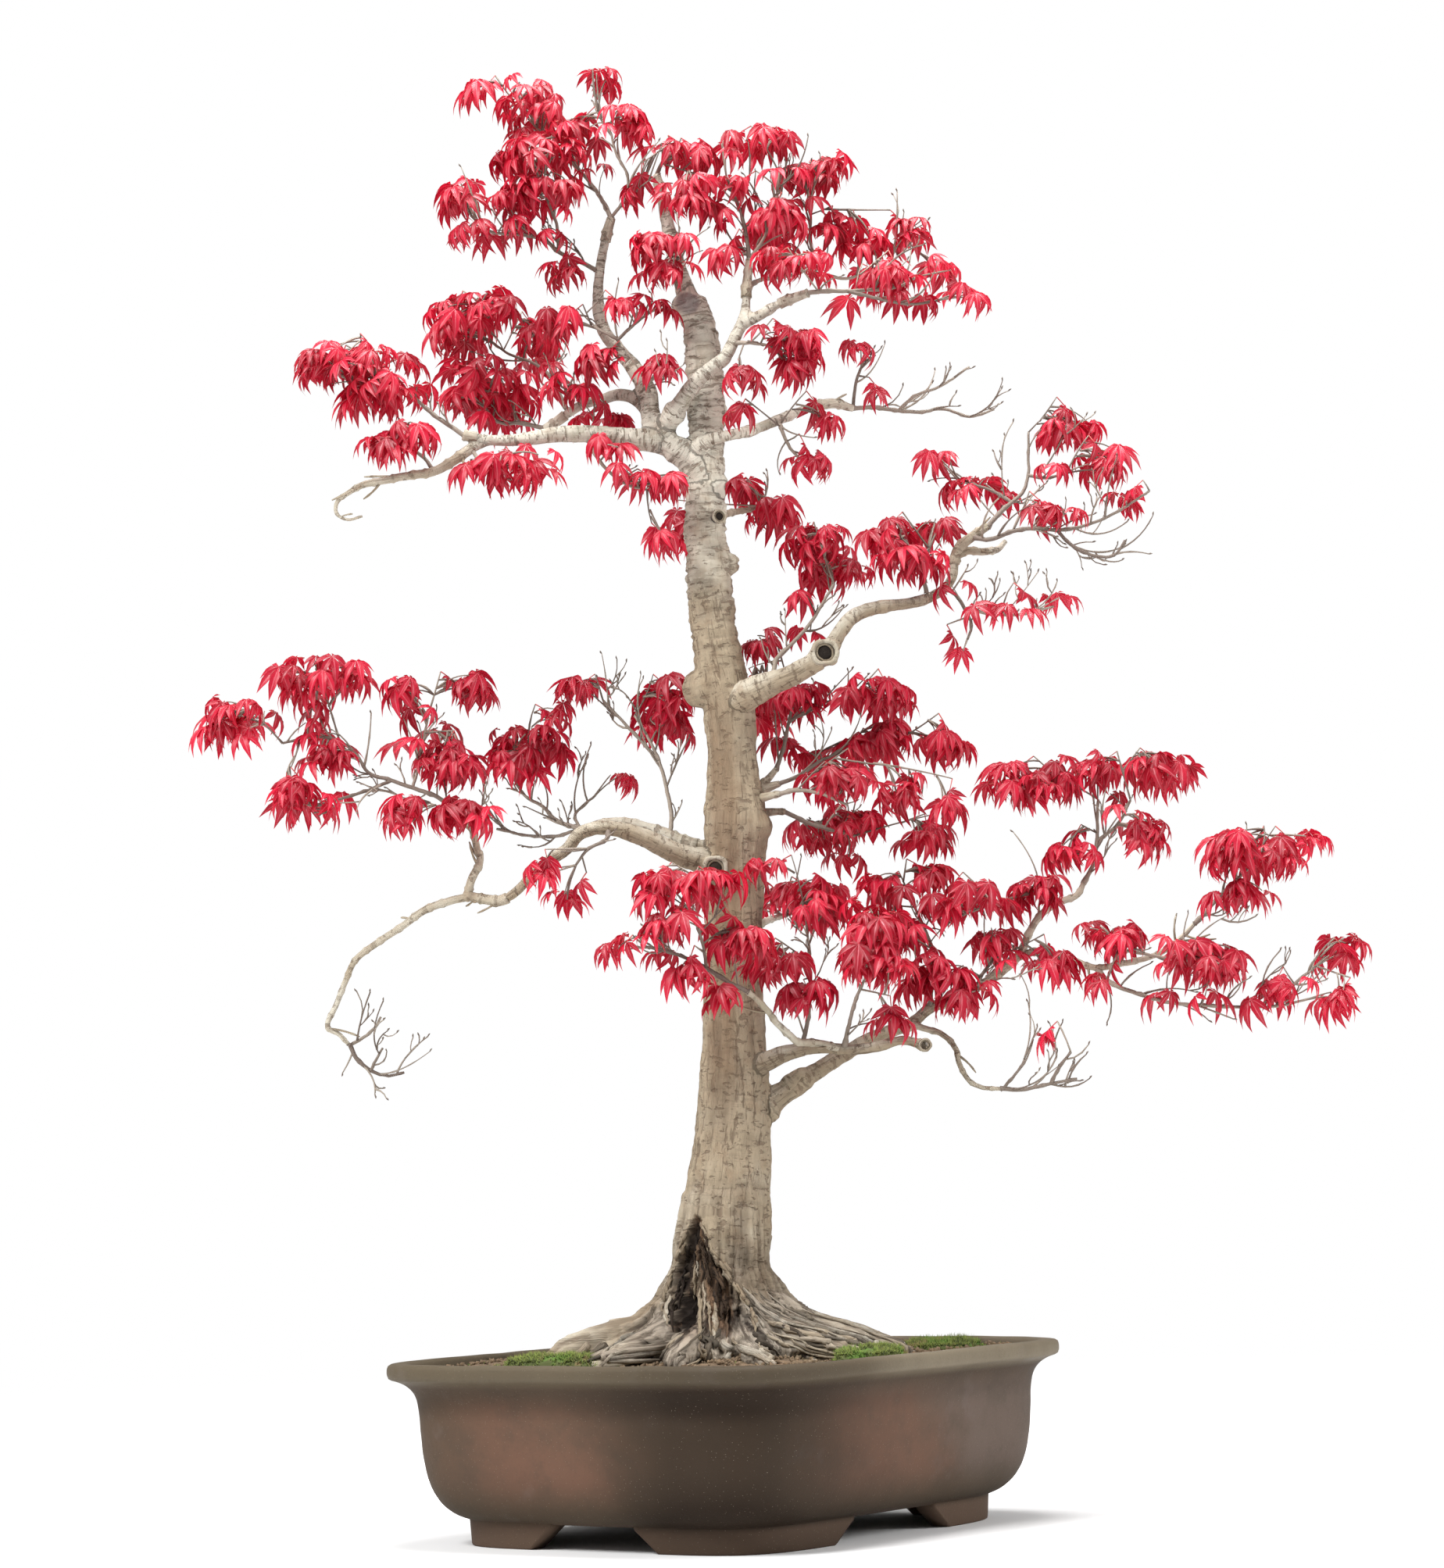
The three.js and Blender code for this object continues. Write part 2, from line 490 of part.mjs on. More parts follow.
    stems: [[0, [228, 6, 423], [214, 0, 421], [196, -6, 415], [178, -10, 410], [162, -12, 404]]],
    pads: [[170, -12, 417, 32, 30, 14, 2], [222, 0, 421, 22, 22, 12, 1]],
  },
  low_right_upper: {
    limb: 'low_right', bend: 11,
    stems: [
      [0, [180, -8, 364], [190, -10, 376]],
      [1, [178, -18, 354]],
    ],
    pads: [[194, -8, 386, 18, 20, 13, 1], [228, -14, 370, 16, 16, 10, 1], [172, -22, 349, 21, 16, 9, 1]],
  },
  bare_right_tip: {
    limb: 'bare_right',
    stems: [
      [0, [204, -31, 285.5], [224, -33, 289], [242, -34, 292]],
      [0, [200, -34, 296], [208, -34, 306]],
      [2, [230, -36, 300], [238, -37, 310]],
    ],
    pads: [[214, -34, 318, 8, 8, 6, 1]],
  },
  right_top: {
    limb: 'right_rise',
    stems: [
      [0, [263, 25, 441], [267, 28, 458], [268, 31, 476], [269, 32, 488]],
      [2, [282, 24, 470], [291, 24, 486]],
    ],
    pads: [
      [222, 30, 502, 34, 34, 16, 3], [268, 34, 508, 14, 20, 14, 1], [310, 32, 506, 30, 32, 14, 2],
      [250, 22, 450, 17, 18, 10, 1], [299, 22, 461, 22, 22, 12, 1],
    ],
  },
  right_far: {
    limb: 'right_tail',
    stems: [[0, [336, -32, 405], [346, -34, 416], [362, -35, 430]]],
    pads: [[374, -34, 445, 45, 38, 18, 3], [358, -36, 415, 20, 20, 8, 1]],
  },
  right_tail_middle: {
    limb: 'right_tail', bend: 5,
    stems: [
      [0, [274, -22, 380], [270, -24, 388]],
      [1, [298, -32, 374], [322, -36, 370]],
    ],
    pads: [[271, -22, 388, 26, 26, 15, 2], [336, -40, 369, 38, 30, 15, 2], [264, -34, 358, 12, 12, 9, 1]],
  },
  right_tail_low: {
    limb: 'right_tail', bend: 4,
    stems: [
      [
        0, [270, -20, 356], [288, -28, 348], [306, -34, 342], [330, -38, 339], [356, -42, 337],
        [378, -44, 337], [400, -44, 341],
      ],
      [6, [392, -36, 352], [408, -32, 364]],
    ],
    pads: [[418, -44, 341, 12, 14, 13, 1], [378, -46, 347, 15, 16, 10, 1], [426, -30, 371, 17, 16, 13, 1]],
  },
};

// Leaf and twig sizes
const LEAF_LENGTH = 28;
const LOBE_ANGLES = [-82, -42, 0, 42, 82];
const LOBE_LENGTHS = [0.6, 0.88, 1, 0.88, 0.6];
const NOTCH_SHARE = 0.36;
const LEAF_THICKNESS = 1.8;
const LEAF_DROOP = 0.34;
const LEAF_FLOOR = 130.5;
const STEM_RADIUS = 1.7;
const TWIG_RADIUS = 0.85;
const PETIOLE_RADIUS = 0.6;
const BUD_SPACING = 6;
const TRIES = 900;

function randomFrom(seed) {
  let state = seed >>> 0;
  return () => {
    state = (state + 0x6d2b79f5) >>> 0;
    let mixed = Math.imul(state ^ (state >>> 15), state | 1);
    mixed ^= mixed + Math.imul(mixed ^ (mixed >>> 7), mixed | 61);
    return ((mixed ^ (mixed >>> 14)) >>> 0) / 4294967296;
  };
}

function toSolid(geometry) {
  const bare = new THREE.BufferGeometry();
  bare.setAttribute('position', geometry.getAttribute('position').clone());
  bare.setIndex(geometry.getIndex());
  const merged = mergeVertices(bare, 1e-5);
  return new wasm.Manifold(new wasm.Mesh({
    numProp: 3,
    vertProperties: new Float32Array(merged.getAttribute('position').array),
    triVerts: new Uint32Array(merged.getIndex().array),
  }));
}

function toGeometry(solid) {
  const mesh = solid.getMesh();
  const geometry = new THREE.BufferGeometry();
  geometry.setAttribute('position', new THREE.BufferAttribute(new Float32Array(mesh.vertProperties), 3));
  geometry.setIndex(new THREE.BufferAttribute(new Uint32Array(mesh.triVerts), 1));
  return geometry;
}

const join = (solids) => solids.reduce((whole, next) => whole.add(next));

// A joined or cut solid can leave scraps; the piece itself is the largest body.
function largestBody(solid) {
  return solid.decompose().reduce((best, next) => (next.volume() > best.volume() ? next : best));
}

function closedSkin(points, index) {
  const geometry = new THREE.BufferGeometry().setFromPoints(points);
  geometry.setIndex(index);
  return toSolid(geometry);
}

// Closed skin over rings of equal count, with a fan over each end.
function loft(rings) {
  const sides = rings[0].length;
  const points = rings.flat();
  const index = [];
  rings.slice(1).forEach((_, ring) => {
    for (let side = 0; side < sides; side += 1) {
      const a = ring * sides + side;
      const b = ring * sides + (side + 1) % sides;
      index.push(a, b, b + sides, a, b + sides, a + sides);
    }
  });
  [[0, false], [rings.length - 1, true]].forEach(([ring, last]) => {
    if (sides === 3) {
      const first = ring * 3;
      index.push(...(last ? [first, first + 1, first + 2] : [first + 2, first + 1, first]));
      return;
    }
    const middle = new THREE.Vector3();
    rings[ring].forEach((point) => middle.addScaledVector(point, 1 / sides));
    points.push(middle);
    for (let side = 0; side < sides; side += 1) {
      const a = ring * sides + side;
      const b = ring * sides + (side + 1) % sides;
      index.push(...(last ? [a, b, points.length - 1] : [b, a, points.length - 1]));
    }
  });
  return closedSkin(points, index);
}

// Tapered round bar through the points, its rings square to the route.
function bar(points, radii, sides, startAlong = null) {
  const along = points.map((point, i) => {
    const from = points[Math.max(i - 1, 0)];
    const to = points[Math.min(i + 1, points.length - 1)];
    return to.clone().sub(from).normalize();
  });
  if (startAlong) along[0] = startAlong;
  const side = new THREE.Vector3(0.31, 0.22, 0.93).cross(along[0]).normalize();
  const rings = points.map((point, i) => {
    side.addScaledVector(along[i], -side.dot(along[i])).normalize();
    const across = along[i].clone().cross(side);
    return Array.from({ length: sides }, (_, k) => {
      const angle = 2 * Math.PI * k / sides;
      return point.clone()
        .addScaledVector(side, radii[i] * Math.cos(angle))
        .addScaledVector(across, radii[i] * Math.sin(angle));
    });
  });
  return loft(rings);
}

const vector = ([x, y, z]) => new THREE.Vector3(x, y, z);

// The bends that a route needs to stay within the slack of its full course and radius.
function keyBends(bends, slack) {
  if (bends.length < 3) return bends;
  const [first, last] = [bends[0], bends.at(-1)];
  const span = last.map((value, i) => value - first[i]);
  const spanSquared = span.reduce((sum, value) => sum + value * value, 0);
  const offsets = bends.map((bend) => {
    const along = bend.reduce((sum, value, i) => sum + (value - first[i]) * span[i], 0) / spanSquared;
    return Math.hypot(...bend.map((value, i) => value - first[i] - along * span[i]));
  });
  const worst = offsets.indexOf(Math.max(...offsets));
  if (offsets[worst] <= slack) return [first, last];
  return [...keyBends(bends.slice(0, worst + 1), slack).slice(0, -1), ...keyBends(bends.slice(worst), slack)];
}

// Pot, soil and drain screens, in the part's frame

function potRing(inset, height, share = 1) {
  return Array.from({ length: POT_SIDES }, (_, k) => {
    const even = 2 * Math.PI * k / POT_SIDES;
    const angle = even + 0.11 * Math.sin(4 * even);
    const cos = Math.cos(angle);
    const sin = Math.sin(angle);
    const power = Math.abs(cos) ** POT_SQUARENESS + Math.abs(sin) ** POT_SQUARENESS;
    const reach = share / power ** (1 / POT_SQUARENESS);
    return new THREE.Vector3(
      (POT_HALF_LENGTH - inset) * reach * cos, (POT_HALF_WIDTH - inset) * reach * sin, height);
  });
}

function block(width, depth, height, x, y, z) {
  return toSolid(new THREE.BoxGeometry(width, depth, height).translate(x, y, z));
}

// Wedge with sloped ends that opens the foot band between two corners.
function footGap({ top, bottom }, turn) {
  const reach = 2 * POT_HALF_LENGTH;
  const outline = new THREE.Shape([
    new THREE.Vector2(-bottom - 2, -2), new THREE.Vector2(bottom + 2, -2),
    new THREE.Vector2(top, FLOOR_UNDERSIDE), new THREE.Vector2(top, 2 * FOOT_HEIGHT),
    new THREE.Vector2(-top, 2 * FOOT_HEIGHT), new THREE.Vector2(-top, FLOOR_UNDERSIDE),
  ]);
  const wedge = new THREE.ExtrudeGeometry(outline, { depth: reach, bevelEnabled: false });
  wedge.translate(0, 0, -reach / 2).rotateX(Math.PI / 2).rotateZ(turn);
  return toSolid(wedge);
}

function makePot() {
  const bowl = loft([...POT_OUTSIDE, ...POT_INSIDE].map(([inset, height]) => potRing(inset, height)));
  const outer = loft([potRing(FOOT_INSET + 1.5, 0), potRing(FOOT_INSET, FOOT_HEIGHT)]);
  const innerInset = FOOT_INSET + FOOT_THICKNESS;
  const inner = loft([potRing(innerInset, -1), potRing(innerInset, 2 * FOOT_HEIGHT)]);
  const gaps = [footGap(FOOT_GAP_LONG, 0), footGap(FOOT_GAP_SHORT, Math.PI / 2)];
  const feet = outer.subtract(join([inner, ...gaps]));
  const hollow = loft(
    POT_INSIDE.map(([inset, height], i) => potRing(inset, height + (i === 0 ? 20 : 0))).reverse());
  const drains = [-1, 1].map((side) => {
    const drill = new THREE.CylinderGeometry(DRAIN_RADIUS, DRAIN_RADIUS, 4 * FLOOR_TOP, 18);
    return toSolid(drill.rotateX(Math.PI / 2).translate(side * DRAIN_OFFSET, 0, FLOOR_TOP));
  });
  return join([bowl, feet.subtract(hollow)]).subtract(join(drains));
}

function makeScreen(side) {
  const pitch = (SCREEN_SIZE - SCREEN_BAR) / 2;
  const z = FLOOR_TOP + GAP + SCREEN_THICKNESS / 2;
  const hole = pitch - SCREEN_BAR;
  const plate = block(SCREEN_SIZE, SCREEN_SIZE, SCREEN_THICKNESS, side * DRAIN_OFFSET, 0, z);
  const holes = [-1, 1].flatMap((i) => [-1, 1].map((j) => (
    block(hole, hole, 4 * SCREEN_THICKNESS, side * DRAIN_OFFSET + i * pitch / 2, j * pitch / 2, z))));
  return plate.subtract(join(holes));
}

function makeSoil(wood, mosses) {
  const clear = GAP + 0.25;
  const fill = POT_INSIDE.slice(1).reverse().map(([inset, height], i) => (
    potRing(inset + clear, i === 0 ? height + GAP : Math.min(height, SOIL_EDGE_HEIGHT - 1))));
  const wallInset = POT_INSIDE[1][0] + clear;
  const mound = SOIL_MOUND.map(([share, height]) => potRing(wallInset, height, share));
  let soil = loft([...fill, potRing(wallInset, SOIL_EDGE_HEIGHT), ...mound]);
  [-1, 1].forEach((side) => {
    const size = SCREEN_SIZE + 2 * GAP;
    const top = FLOOR_TOP + SCREEN_THICKNESS + 2 * GAP;
    soil = soil.subtract(block(size, size, 8, side * DRAIN_OFFSET, 0, top - 4));
  });
  mosses.forEach((moss) => {
    soil = soil.subtract(moss);
  });
  return largestBody(soil.subtract(wood));
}

// Moss cushion: a low dome with a wavy edge, sunk a little into the soil.
function mossDome({ x, y, long, wide, turn, top }, grow) {
  const angle = THREE.MathUtils.degToRad(turn);
  const ring = (share, height) => Array.from({ length: MOSS_SIDES }, (_, k) => {
    const around = 2 * Math.PI * k / MOSS_SIDES;
    const wave = 1 + 0.1 * Math.sin(3 * around + x) + 0.06 * Math.sin(5 * around + y);
    const u = (long * share * wave + grow) * Math.cos(around);
    const v = (wide * share * wave + grow) * Math.sin(around);
    return new THREE.Vector3(
      x + u * Math.cos(angle) - v * Math.sin(angle), y + u * Math.sin(angle) + v * Math.cos(angle), height);
  });
  return loft([
    ring(0.9, MOSS_BOTTOM - grow), ring(1, MOSS_EDGE_HEIGHT),
    ring(0.88, top - 2.5 + grow), ring(0.5, top + grow),
  ]);
}

// Wood, in the tree's frame

function rootReach(angle) {
  return SURFACE_ROOTS.reduce((sum, [direction, reach, half]) => {
    const off = Math.abs(((angle - direction + 540) % 360) - 180);
    return off >= half * 1.5 ? sum : sum + reach * Math.cos(off / (half * 1.5) * Math.PI / 2) ** 1.5;
  }, 0);
}

function rootCrown(grow) {
  const sides = [...Array(CROWN_SIDES).keys()];
  return loft(CROWN_RINGS.map(([height, x, core, share], i) => sides.map((k) => {
    const degrees = 360 * k / CROWN_SIDES - 180;
    const radius = core + share * rootReach(degrees) + grow;
    const around = THREE.MathUtils.degToRad(degrees);
    const z = height - (i === 0 ? grow : 0);
    return new THREE.Vector3(x + radius * Math.cos(around), radius * Math.sin(around), z);
  })));
}

function limbSides(radius) {
  if (radius > 9) return 7;
  return radius > 4.4 ? 5 : 4;
}

function knot(x, y, z, radius) {
  return toSolid(new THREE.IcosahedronGeometry(radius, 0).translate(x, y, z));
}

function makeWood() {
  const roundBar = (bends, sides) => {
    const kept = keyBends(bends, BEND_SLACK);
    return bar(kept.map(vector), kept.map((bend) => bend[3]), sides);
  };
  const trunk = roundBar(TRUNK, TRUNK_SIDES);
  const limbs = Object.values(LIMBS).map((bends) => roundBar(bends, limbSides(bends[1][3])));
  return join([rootCrown(0), trunk, ...limbs, ...KNOTS.map((scar) => knot(...scar))]);
}

// Foliage

const woodSegments = [TRUNK, ...Object.values(LIMBS)].flatMap((bends) => bends.slice(1).map((bend, i) => (
  { a: vector(bends[i]), b: vector(bend), radius: Math.max(bends[i][3], bend[3]) })));

function segmentDistance(point, a, b) {
  const abx = b.x - a.x;
  const aby = b.y - a.y;
  const abz = b.z - a.z;
  const along = ((point.x - a.x) * abx + (point.y - a.y) * aby + (point.z - a.z) * abz)
    / (abx * abx + aby * aby + abz * abz);
  const t = Math.min(Math.max(along, 0), 1);
  const dx = point.x - a.x - t * abx;
  const dy = point.y - a.y - t * aby;
  const dz = point.z - a.z - t * abz;
  return Math.sqrt(dx * dx + dy * dy + dz * dz);
}

// Axes of a leaf: along its middle lobe, across it, and out of its upper face.
function leafAxes({ azimuth, dip, roll }) {
  const along = new THREE.Vector3(
    Math.cos(azimuth) * Math.cos(dip), Math.sin(azimuth) * Math.cos(dip), -Math.sin(dip));
  const flat = new THREE.Vector3(-Math.sin(azimuth), Math.cos(azimuth), 0);
  const face = along.clone().cross(flat);
  const across = flat.clone().multiplyScalar(Math.cos(roll)).addScaledVector(face, Math.sin(roll));
  return { along, across, face: along.clone().cross(across) };
}

// Point of a leaf at a lobe angle and a distance from the petiole; the blade bows down with distance.
function leafPoint(leaf, axes, degrees, distance, lift = 0) {
  const angle = THREE.MathUtils.degToRad(degrees * leaf.spread);
  const bow = LEAF_DROOP * distance * distance / (LEAF_LENGTH * leaf.size);
  return leaf.at.clone()
    .addScaledVector(axes.along, distance * Math.cos(angle))
    .addScaledVector(axes.across, distance * Math.sin(angle))
    .addScaledVector(axes.face, lift - bow);
}

// Balls that fill a leaf, for keeping leaves clear of wood, twigs and other leaves.
function leafBalls(leaf) {
  const axes = leafAxes(leaf);
  const length = LEAF_LENGTH * leaf.size;
  const balls = [{ at: leaf.at, radius: 2.1 }];
  LOBE_ANGLES.forEach((degrees, lobe) => {
    [[0.34, 2.7], [0.67, 1.9], [1, 0.8]].forEach(([share, radius]) => {
      balls.push({ at: leafPoint(leaf, axes, degrees, length * LOBE_LENGTHS[lobe] * share), radius });
    });
  });
  return balls;
}

// One palmate leaf, its petiole and its twig as a single closed skin.
function leafSolid({ bud, elbow, leaf }) {
  const axes = leafAxes(leaf);
  const length = LEAF_LENGTH * leaf.size;
  const points = LOBE_ANGLES.flatMap((degrees, lobe) => {
    const tip = leafPoint(leaf, axes, degrees, length * LOBE_LENGTHS[lobe]);
    if (lobe + 1 === LOBE_ANGLES.length) return [tip];
    return [tip, leafPoint(leaf, axes, (degrees + LOBE_ANGLES[lobe + 1]) / 2, length * NOTCH_SHARE)];
  });
  const rim = points.length;
  const heading = axes.along.clone().negate();
  const route = [[leaf.at, heading, PETIOLE_RADIUS], [elbow, null, PETIOLE_RADIUS], [bud, null, TWIG_RADIUS]];
  route.forEach(([centre, direction, radius], i) => {
    const ahead = direction ?? centre.clone().sub(route[i - 1][0]).normalize();
    const turn = new THREE.Quaternion().setFromUnitVectors(heading, ahead);
    const up = axes.face.clone().applyQuaternion(turn).multiplyScalar(radius);
    const side = axes.across.clone().applyQuaternion(turn).multiplyScalar(0.87 * radius);
    points.push(centre.clone().add(up), centre.clone().addScaledVector(up, -0.5).add(side),
      centre.clone().addScaledVector(up, -0.5).sub(side));
  });
  const top = points.push(leafPoint(leaf, axes, 0, length * 0.2, LEAF_THICKNESS)) - 1;
  const under = points.push(leafPoint(leaf, axes, 0, length * 0.2, -LEAF_THICKNESS * 0.4)) - 1;
  const upperEdge = [...points.keys()].slice(0, rim + 3);
  [upperEdge[rim], upperEdge[rim + 1]] = [rim + 1, rim];
  const lowerEdge = upperEdge.filter((corner) => corner !== rim);
  const index = upperEdge.flatMap((corner, i) => [top, corner, upperEdge[(i + 1) % upperEdge.length]]);
  index.push(...lowerEdge.flatMap((corner, i) => [under, lowerEdge[(i + 1) % lowerEdge.length], corner]));
  for (let ring = rim; ring < rim + 6; ring += 3) {
    [[0, 1], [1, 2], [2, 0]].forEach(([from, to]) => {
      index.push(ring + from, ring + to, ring + 3 + to, ring + from, ring + 3 + to, ring + 3 + from);
    });
  }
  index.push(rim + 6, rim + 7, rim + 8);
  return closedSkin(points, index);
}

// Points along a stem, each with the direction there, that twigs may leave from.
function stemBuds(points) {
  return points.slice(1).flatMap((point, i) => {
    const along = point.clone().sub(points[i]);
    const steps = Math.max(1, Math.round(along.length() / BUD_SPACING));
    const direction = along.clone().normalize();
    return Array.from({ length: steps }, (_, k) => (
      { at: points[i].clone().addScaledVector(along, (k + 1) / steps), along: direction }));
  });
}

function nearestBud(buds, target) {
  let best = null;
  let bestCost = Infinity;
  buds.forEach((bud) => {
    const reach = target.clone().sub(bud.at);
    const distance = reach.length();
    const turn = reach.dot(bud.along) / Math.max(distance, 1e-6);
    const cost = distance * (1.25 - 0.35 * turn);
    if (cost < bestCost) {
      best = bud;
      bestCost = cost;
    }
  });
  return best;
}

// A leaf somewhere in the pad, hanging away from the pad's middle, with the twig that carries it.
function drawLeaf(pad, buds, random) {
  const [x, y, z, rx, ry, rz] = pad;
  const spin = 2 * Math.PI * random();
  const high = 2 * random() - 1;
  const share = random() ** 0.4;
  const flat = Math.sqrt(1 - high * high) * share;
  const middle = new THREE.Vector3(
    x + Math.max(rx - 9, 2) * flat * Math.cos(spin),
    y + Math.max(ry - 9, 2) * flat * Math.sin(spin),
    z + Math.max(rz - 7, 2) * high * share);
  const leaf = {
    azimuth: spin + 1.6 * (random() - 0.5), size: 0.86 + 0.26 * random(), dip: 0.45 + 0.75 * random(),
    roll: 0.5 * (random() - 0.5), spread: 0.78 + 0.3 * random(),
  };
  const { along } = leafAxes(leaf);
  leaf.at = middle.clone().addScaledVector(along, -0.5 * LEAF_LENGTH * leaf.size);
  const elbow = leaf.at.clone().addScaledVector(along, -6 - 4 * random());
  const source = nearestBud(buds, elbow);
  return { source, bud: source.at, elbow, leaf };
}

// Whether a drawn leaf and its twig stay clear of the wood and of everything already grown.
function leafIsClear({ bud, elbow, leaf }, own, crowd) {
  const back = elbow.clone().sub(bud);
  const front = leaf.at.clone().sub(elbow);
  if (back.length() < 3 || back.dot(front) < -0.35 * back.length() * front.length()) return false;
  const route = [0.25, 0.5, 0.75, 1].map((t) => ({ at: bud.clone().lerp(elbow, t), radius: TWIG_RADIUS }));
  const balls = leafBalls(leaf);
  if (balls.some((ball) => ball.at.z < LEAF_FLOOR)) return false;
  const margin = (other) => (other.spray === own ? 0.1 : 0.8);
  return [...route, ...balls].every((part, number) => (
    woodSegments.every((wood) => segmentDistance(part.at, wood.a, wood.b) > wood.radius + part.radius + 0.6)
    && crowd.twigs.every((twig) => (twig.spray === own && number < 4)
      || segmentDistance(part.at, twig.a, twig.b) > twig.radius + part.radius + margin(twig))
    && crowd.balls.every((ball) => {
      const dx = part.at.x - ball.at.x;
      const dy = part.at.y - ball.at.y;
      const dz = part.at.z - ball.at.z;
      const needed = ball.radius + part.radius + margin(ball);
      return dx * dx + dy * dy + dz * dz > needed * needed;
    })));
}

// Where a stem leaves its limb, at the limb's end or at a bend: the spot just off the bark, and the way out.
function stemStart(spray, bark) {
  const bends = LIMBS[spray.limb];
  const centre = vector(spray.bend === undefined ? bends.at(-1) : bends[spray.bend]);
  const out = spray.bend === undefined
    ? centre.clone().sub(vector(bends.at(-2))).normalize()
    : vector(spray.stems[0][1]).sub(centre).normalize();
  const caster = new THREE.Raycaster(centre.addScaledVector(out, spray.bend === undefined ? -2 : 0), out);
  const [exit] = caster.intersectObject(bark);
  return { start: exit.point.clone().addScaledVector(exit.face.normal, GAP), head: exit.face.normal.clone() };
}

// Routes of a spray's stems: the first starts at the limb, the others at a bend of the first.
function stemRoutes(spray, bark) {
  const { start, head } = stemStart(spray, bark);
  const main = [start, ...spray.stems[0].slice(1).map(vector)];
  const others = spray.stems.slice(1).map((stem) => [main[stem[0]].clone(), ...stem.slice(1).map(vector)]);
  const heads = spray.stems.map((stem) => (stem[0] === 0 ? head : null));
  return { heads, routes: [main, ...others] };
}

function growSprays(bark) {
  const crowd = { twigs: [], balls: [] };
  const sprays = Object.entries(SPRAYS).map(([name, spray], own) => {
    const { heads, routes } = stemRoutes(spray, bark);
    routes.forEach((route) => route.slice(1).forEach((point, i) => {
      crowd.twigs.push({ a: route[i], b: point, radius: STEM_RADIUS, spray: own });
    }));
    return { name, own, heads, routes, pads: spray.pads, leaves: [] };
  });
  sprays.forEach(({ own, routes, pads, leaves }) => {
    const buds = routes.flatMap(stemBuds);
    pads.forEach((pad, padNumber) => {
      const random = randomFrom(1000 * (own + 1) + padNumber);
      for (let made = 0, tries = 0; made < pad[6] && tries < TRIES && buds.length > 0; tries += 1) {
        const drawn = drawLeaf(pad, buds, random);
        if (leafIsClear(drawn, own, crowd)) {
          leaves.push(drawn);
          buds.splice(buds.indexOf(drawn.source), 1);
          const along = drawn.elbow.clone().sub(drawn.bud);
          if (along.length() > 16) {
            buds.push({ at: drawn.bud.clone().addScaledVector(along, 0.6), along: along.normalize() });
          }
          made += 1;
          crowd.twigs.push({ a: drawn.bud, b: drawn.elbow, radius: TWIG_RADIUS, spray: own });
          crowd.twigs.push({ a: drawn.elbow, b: drawn.leaf.at, radius: PETIOLE_RADIUS, spray: own });
          leafBalls(drawn.leaf).forEach((ball) => crowd.balls.push({ ...ball, spray: own }));
        }
      }
    });
  });
  return sprays;
}

function makeSpray({ heads, routes, leaves }) {
  const stems = routes.map((route, number) => {
    const base = number === 0 ? STEM_RADIUS : TWIG_RADIUS * 1.5;
    const taper = (TWIG_RADIUS - base) / (route.length - 1);
    const bends = route.map((point, i) => [...point.toArray(), base + taper * i]);
    const kept = keyBends(bends, BEND_SLACK);
    return bar(kept.map(vector), kept.map((bend) => bend[3]), 3, heads[number]);
  });
  return largestBody(join([...stems, ...leaves.map(leafSolid)]));
}

// Assembly

const COLOURS = {
  stoneware: { color: 0x6b5a48, roughness: 0.72, metalness: 0 },
  soil: { color: 0x4a3626, roughness: 0.95, metalness: 0 },
  moss: { color: 0x5f7d22, roughness: 0.95, metalness: 0 },
  screen: { color: 0x20221f, roughness: 0.6, metalness: 0 },
  bark: { color: 0xb39c7f, roughness: 0.85, metalness: 0 },
  leaf: { color: 0xb4182e, roughness: 0.55, metalness: 0 },
};

const bonsai = new THREE.Group();
const potGroup = new THREE.Group();
const treeGroup = new THREE.Group();
treeGroup.rotation.z = TREE_TURN;
treeGroup.position.z = TREE_LIFT;
bonsai.add(potGroup, treeGroup);

function addPiece(group, name, solid, colour) {
  const mesh = new THREE.Mesh(toGeometry(solid), new THREE.MeshStandardMaterial(COLOURS[colour]));
  mesh.name = name;
  group.add(mesh);
  return mesh;
}

const toPartFrame = (solid) => (
  solid.rotate([0, 0, THREE.MathUtils.radToDeg(TREE_TURN)]).translate([0, 0, TREE_LIFT]));
const rootMould = rootCrown(GAP);
const mossMoulds = Object.values(MOSS).map((patch) => toPartFrame(mossDome(patch, GAP)));

addPiece(potGroup, 'pot', makePot(), 'stoneware');
addPiece(potGroup, 'soil', makeSoil(toPartFrame(rootMould), mossMoulds), 'soil');
[['drain_screen_left', -1], ['drain_screen_right', 1]].forEach(([name, side]) => {
  addPiece(potGroup, name, makeScreen(side), 'screen');
});
Object.entries(MOSS).forEach(([name, patch]) => {
  addPiece(treeGroup, name, largestBody(mossDome(patch, 0).subtract(rootMould)), 'moss');
});
const woodMesh = addPiece(treeGroup, 'trunk_and_limbs', makeWood(), 'bark');
const barkSkin = new THREE.Mesh(woodMesh.geometry, new THREE.MeshBasicMaterial({ side: THREE.DoubleSide }));
growSprays(barkSkin).forEach((spray) => addPiece(treeGroup, `spray_${spray.name}`, makeSpray(spray), 'leaf'));

// The origin is the middle of the whole part's footprint, at the foot of the pot.
bonsai.updateMatrixWorld(true);
const bounds = new THREE.Box3().setFromObject(bonsai, true);
bonsai.position.set(-(bounds.min.x + bounds.max.x) / 2, -(bounds.min.y + bounds.max.y) / 2, 0);

export default bonsai;
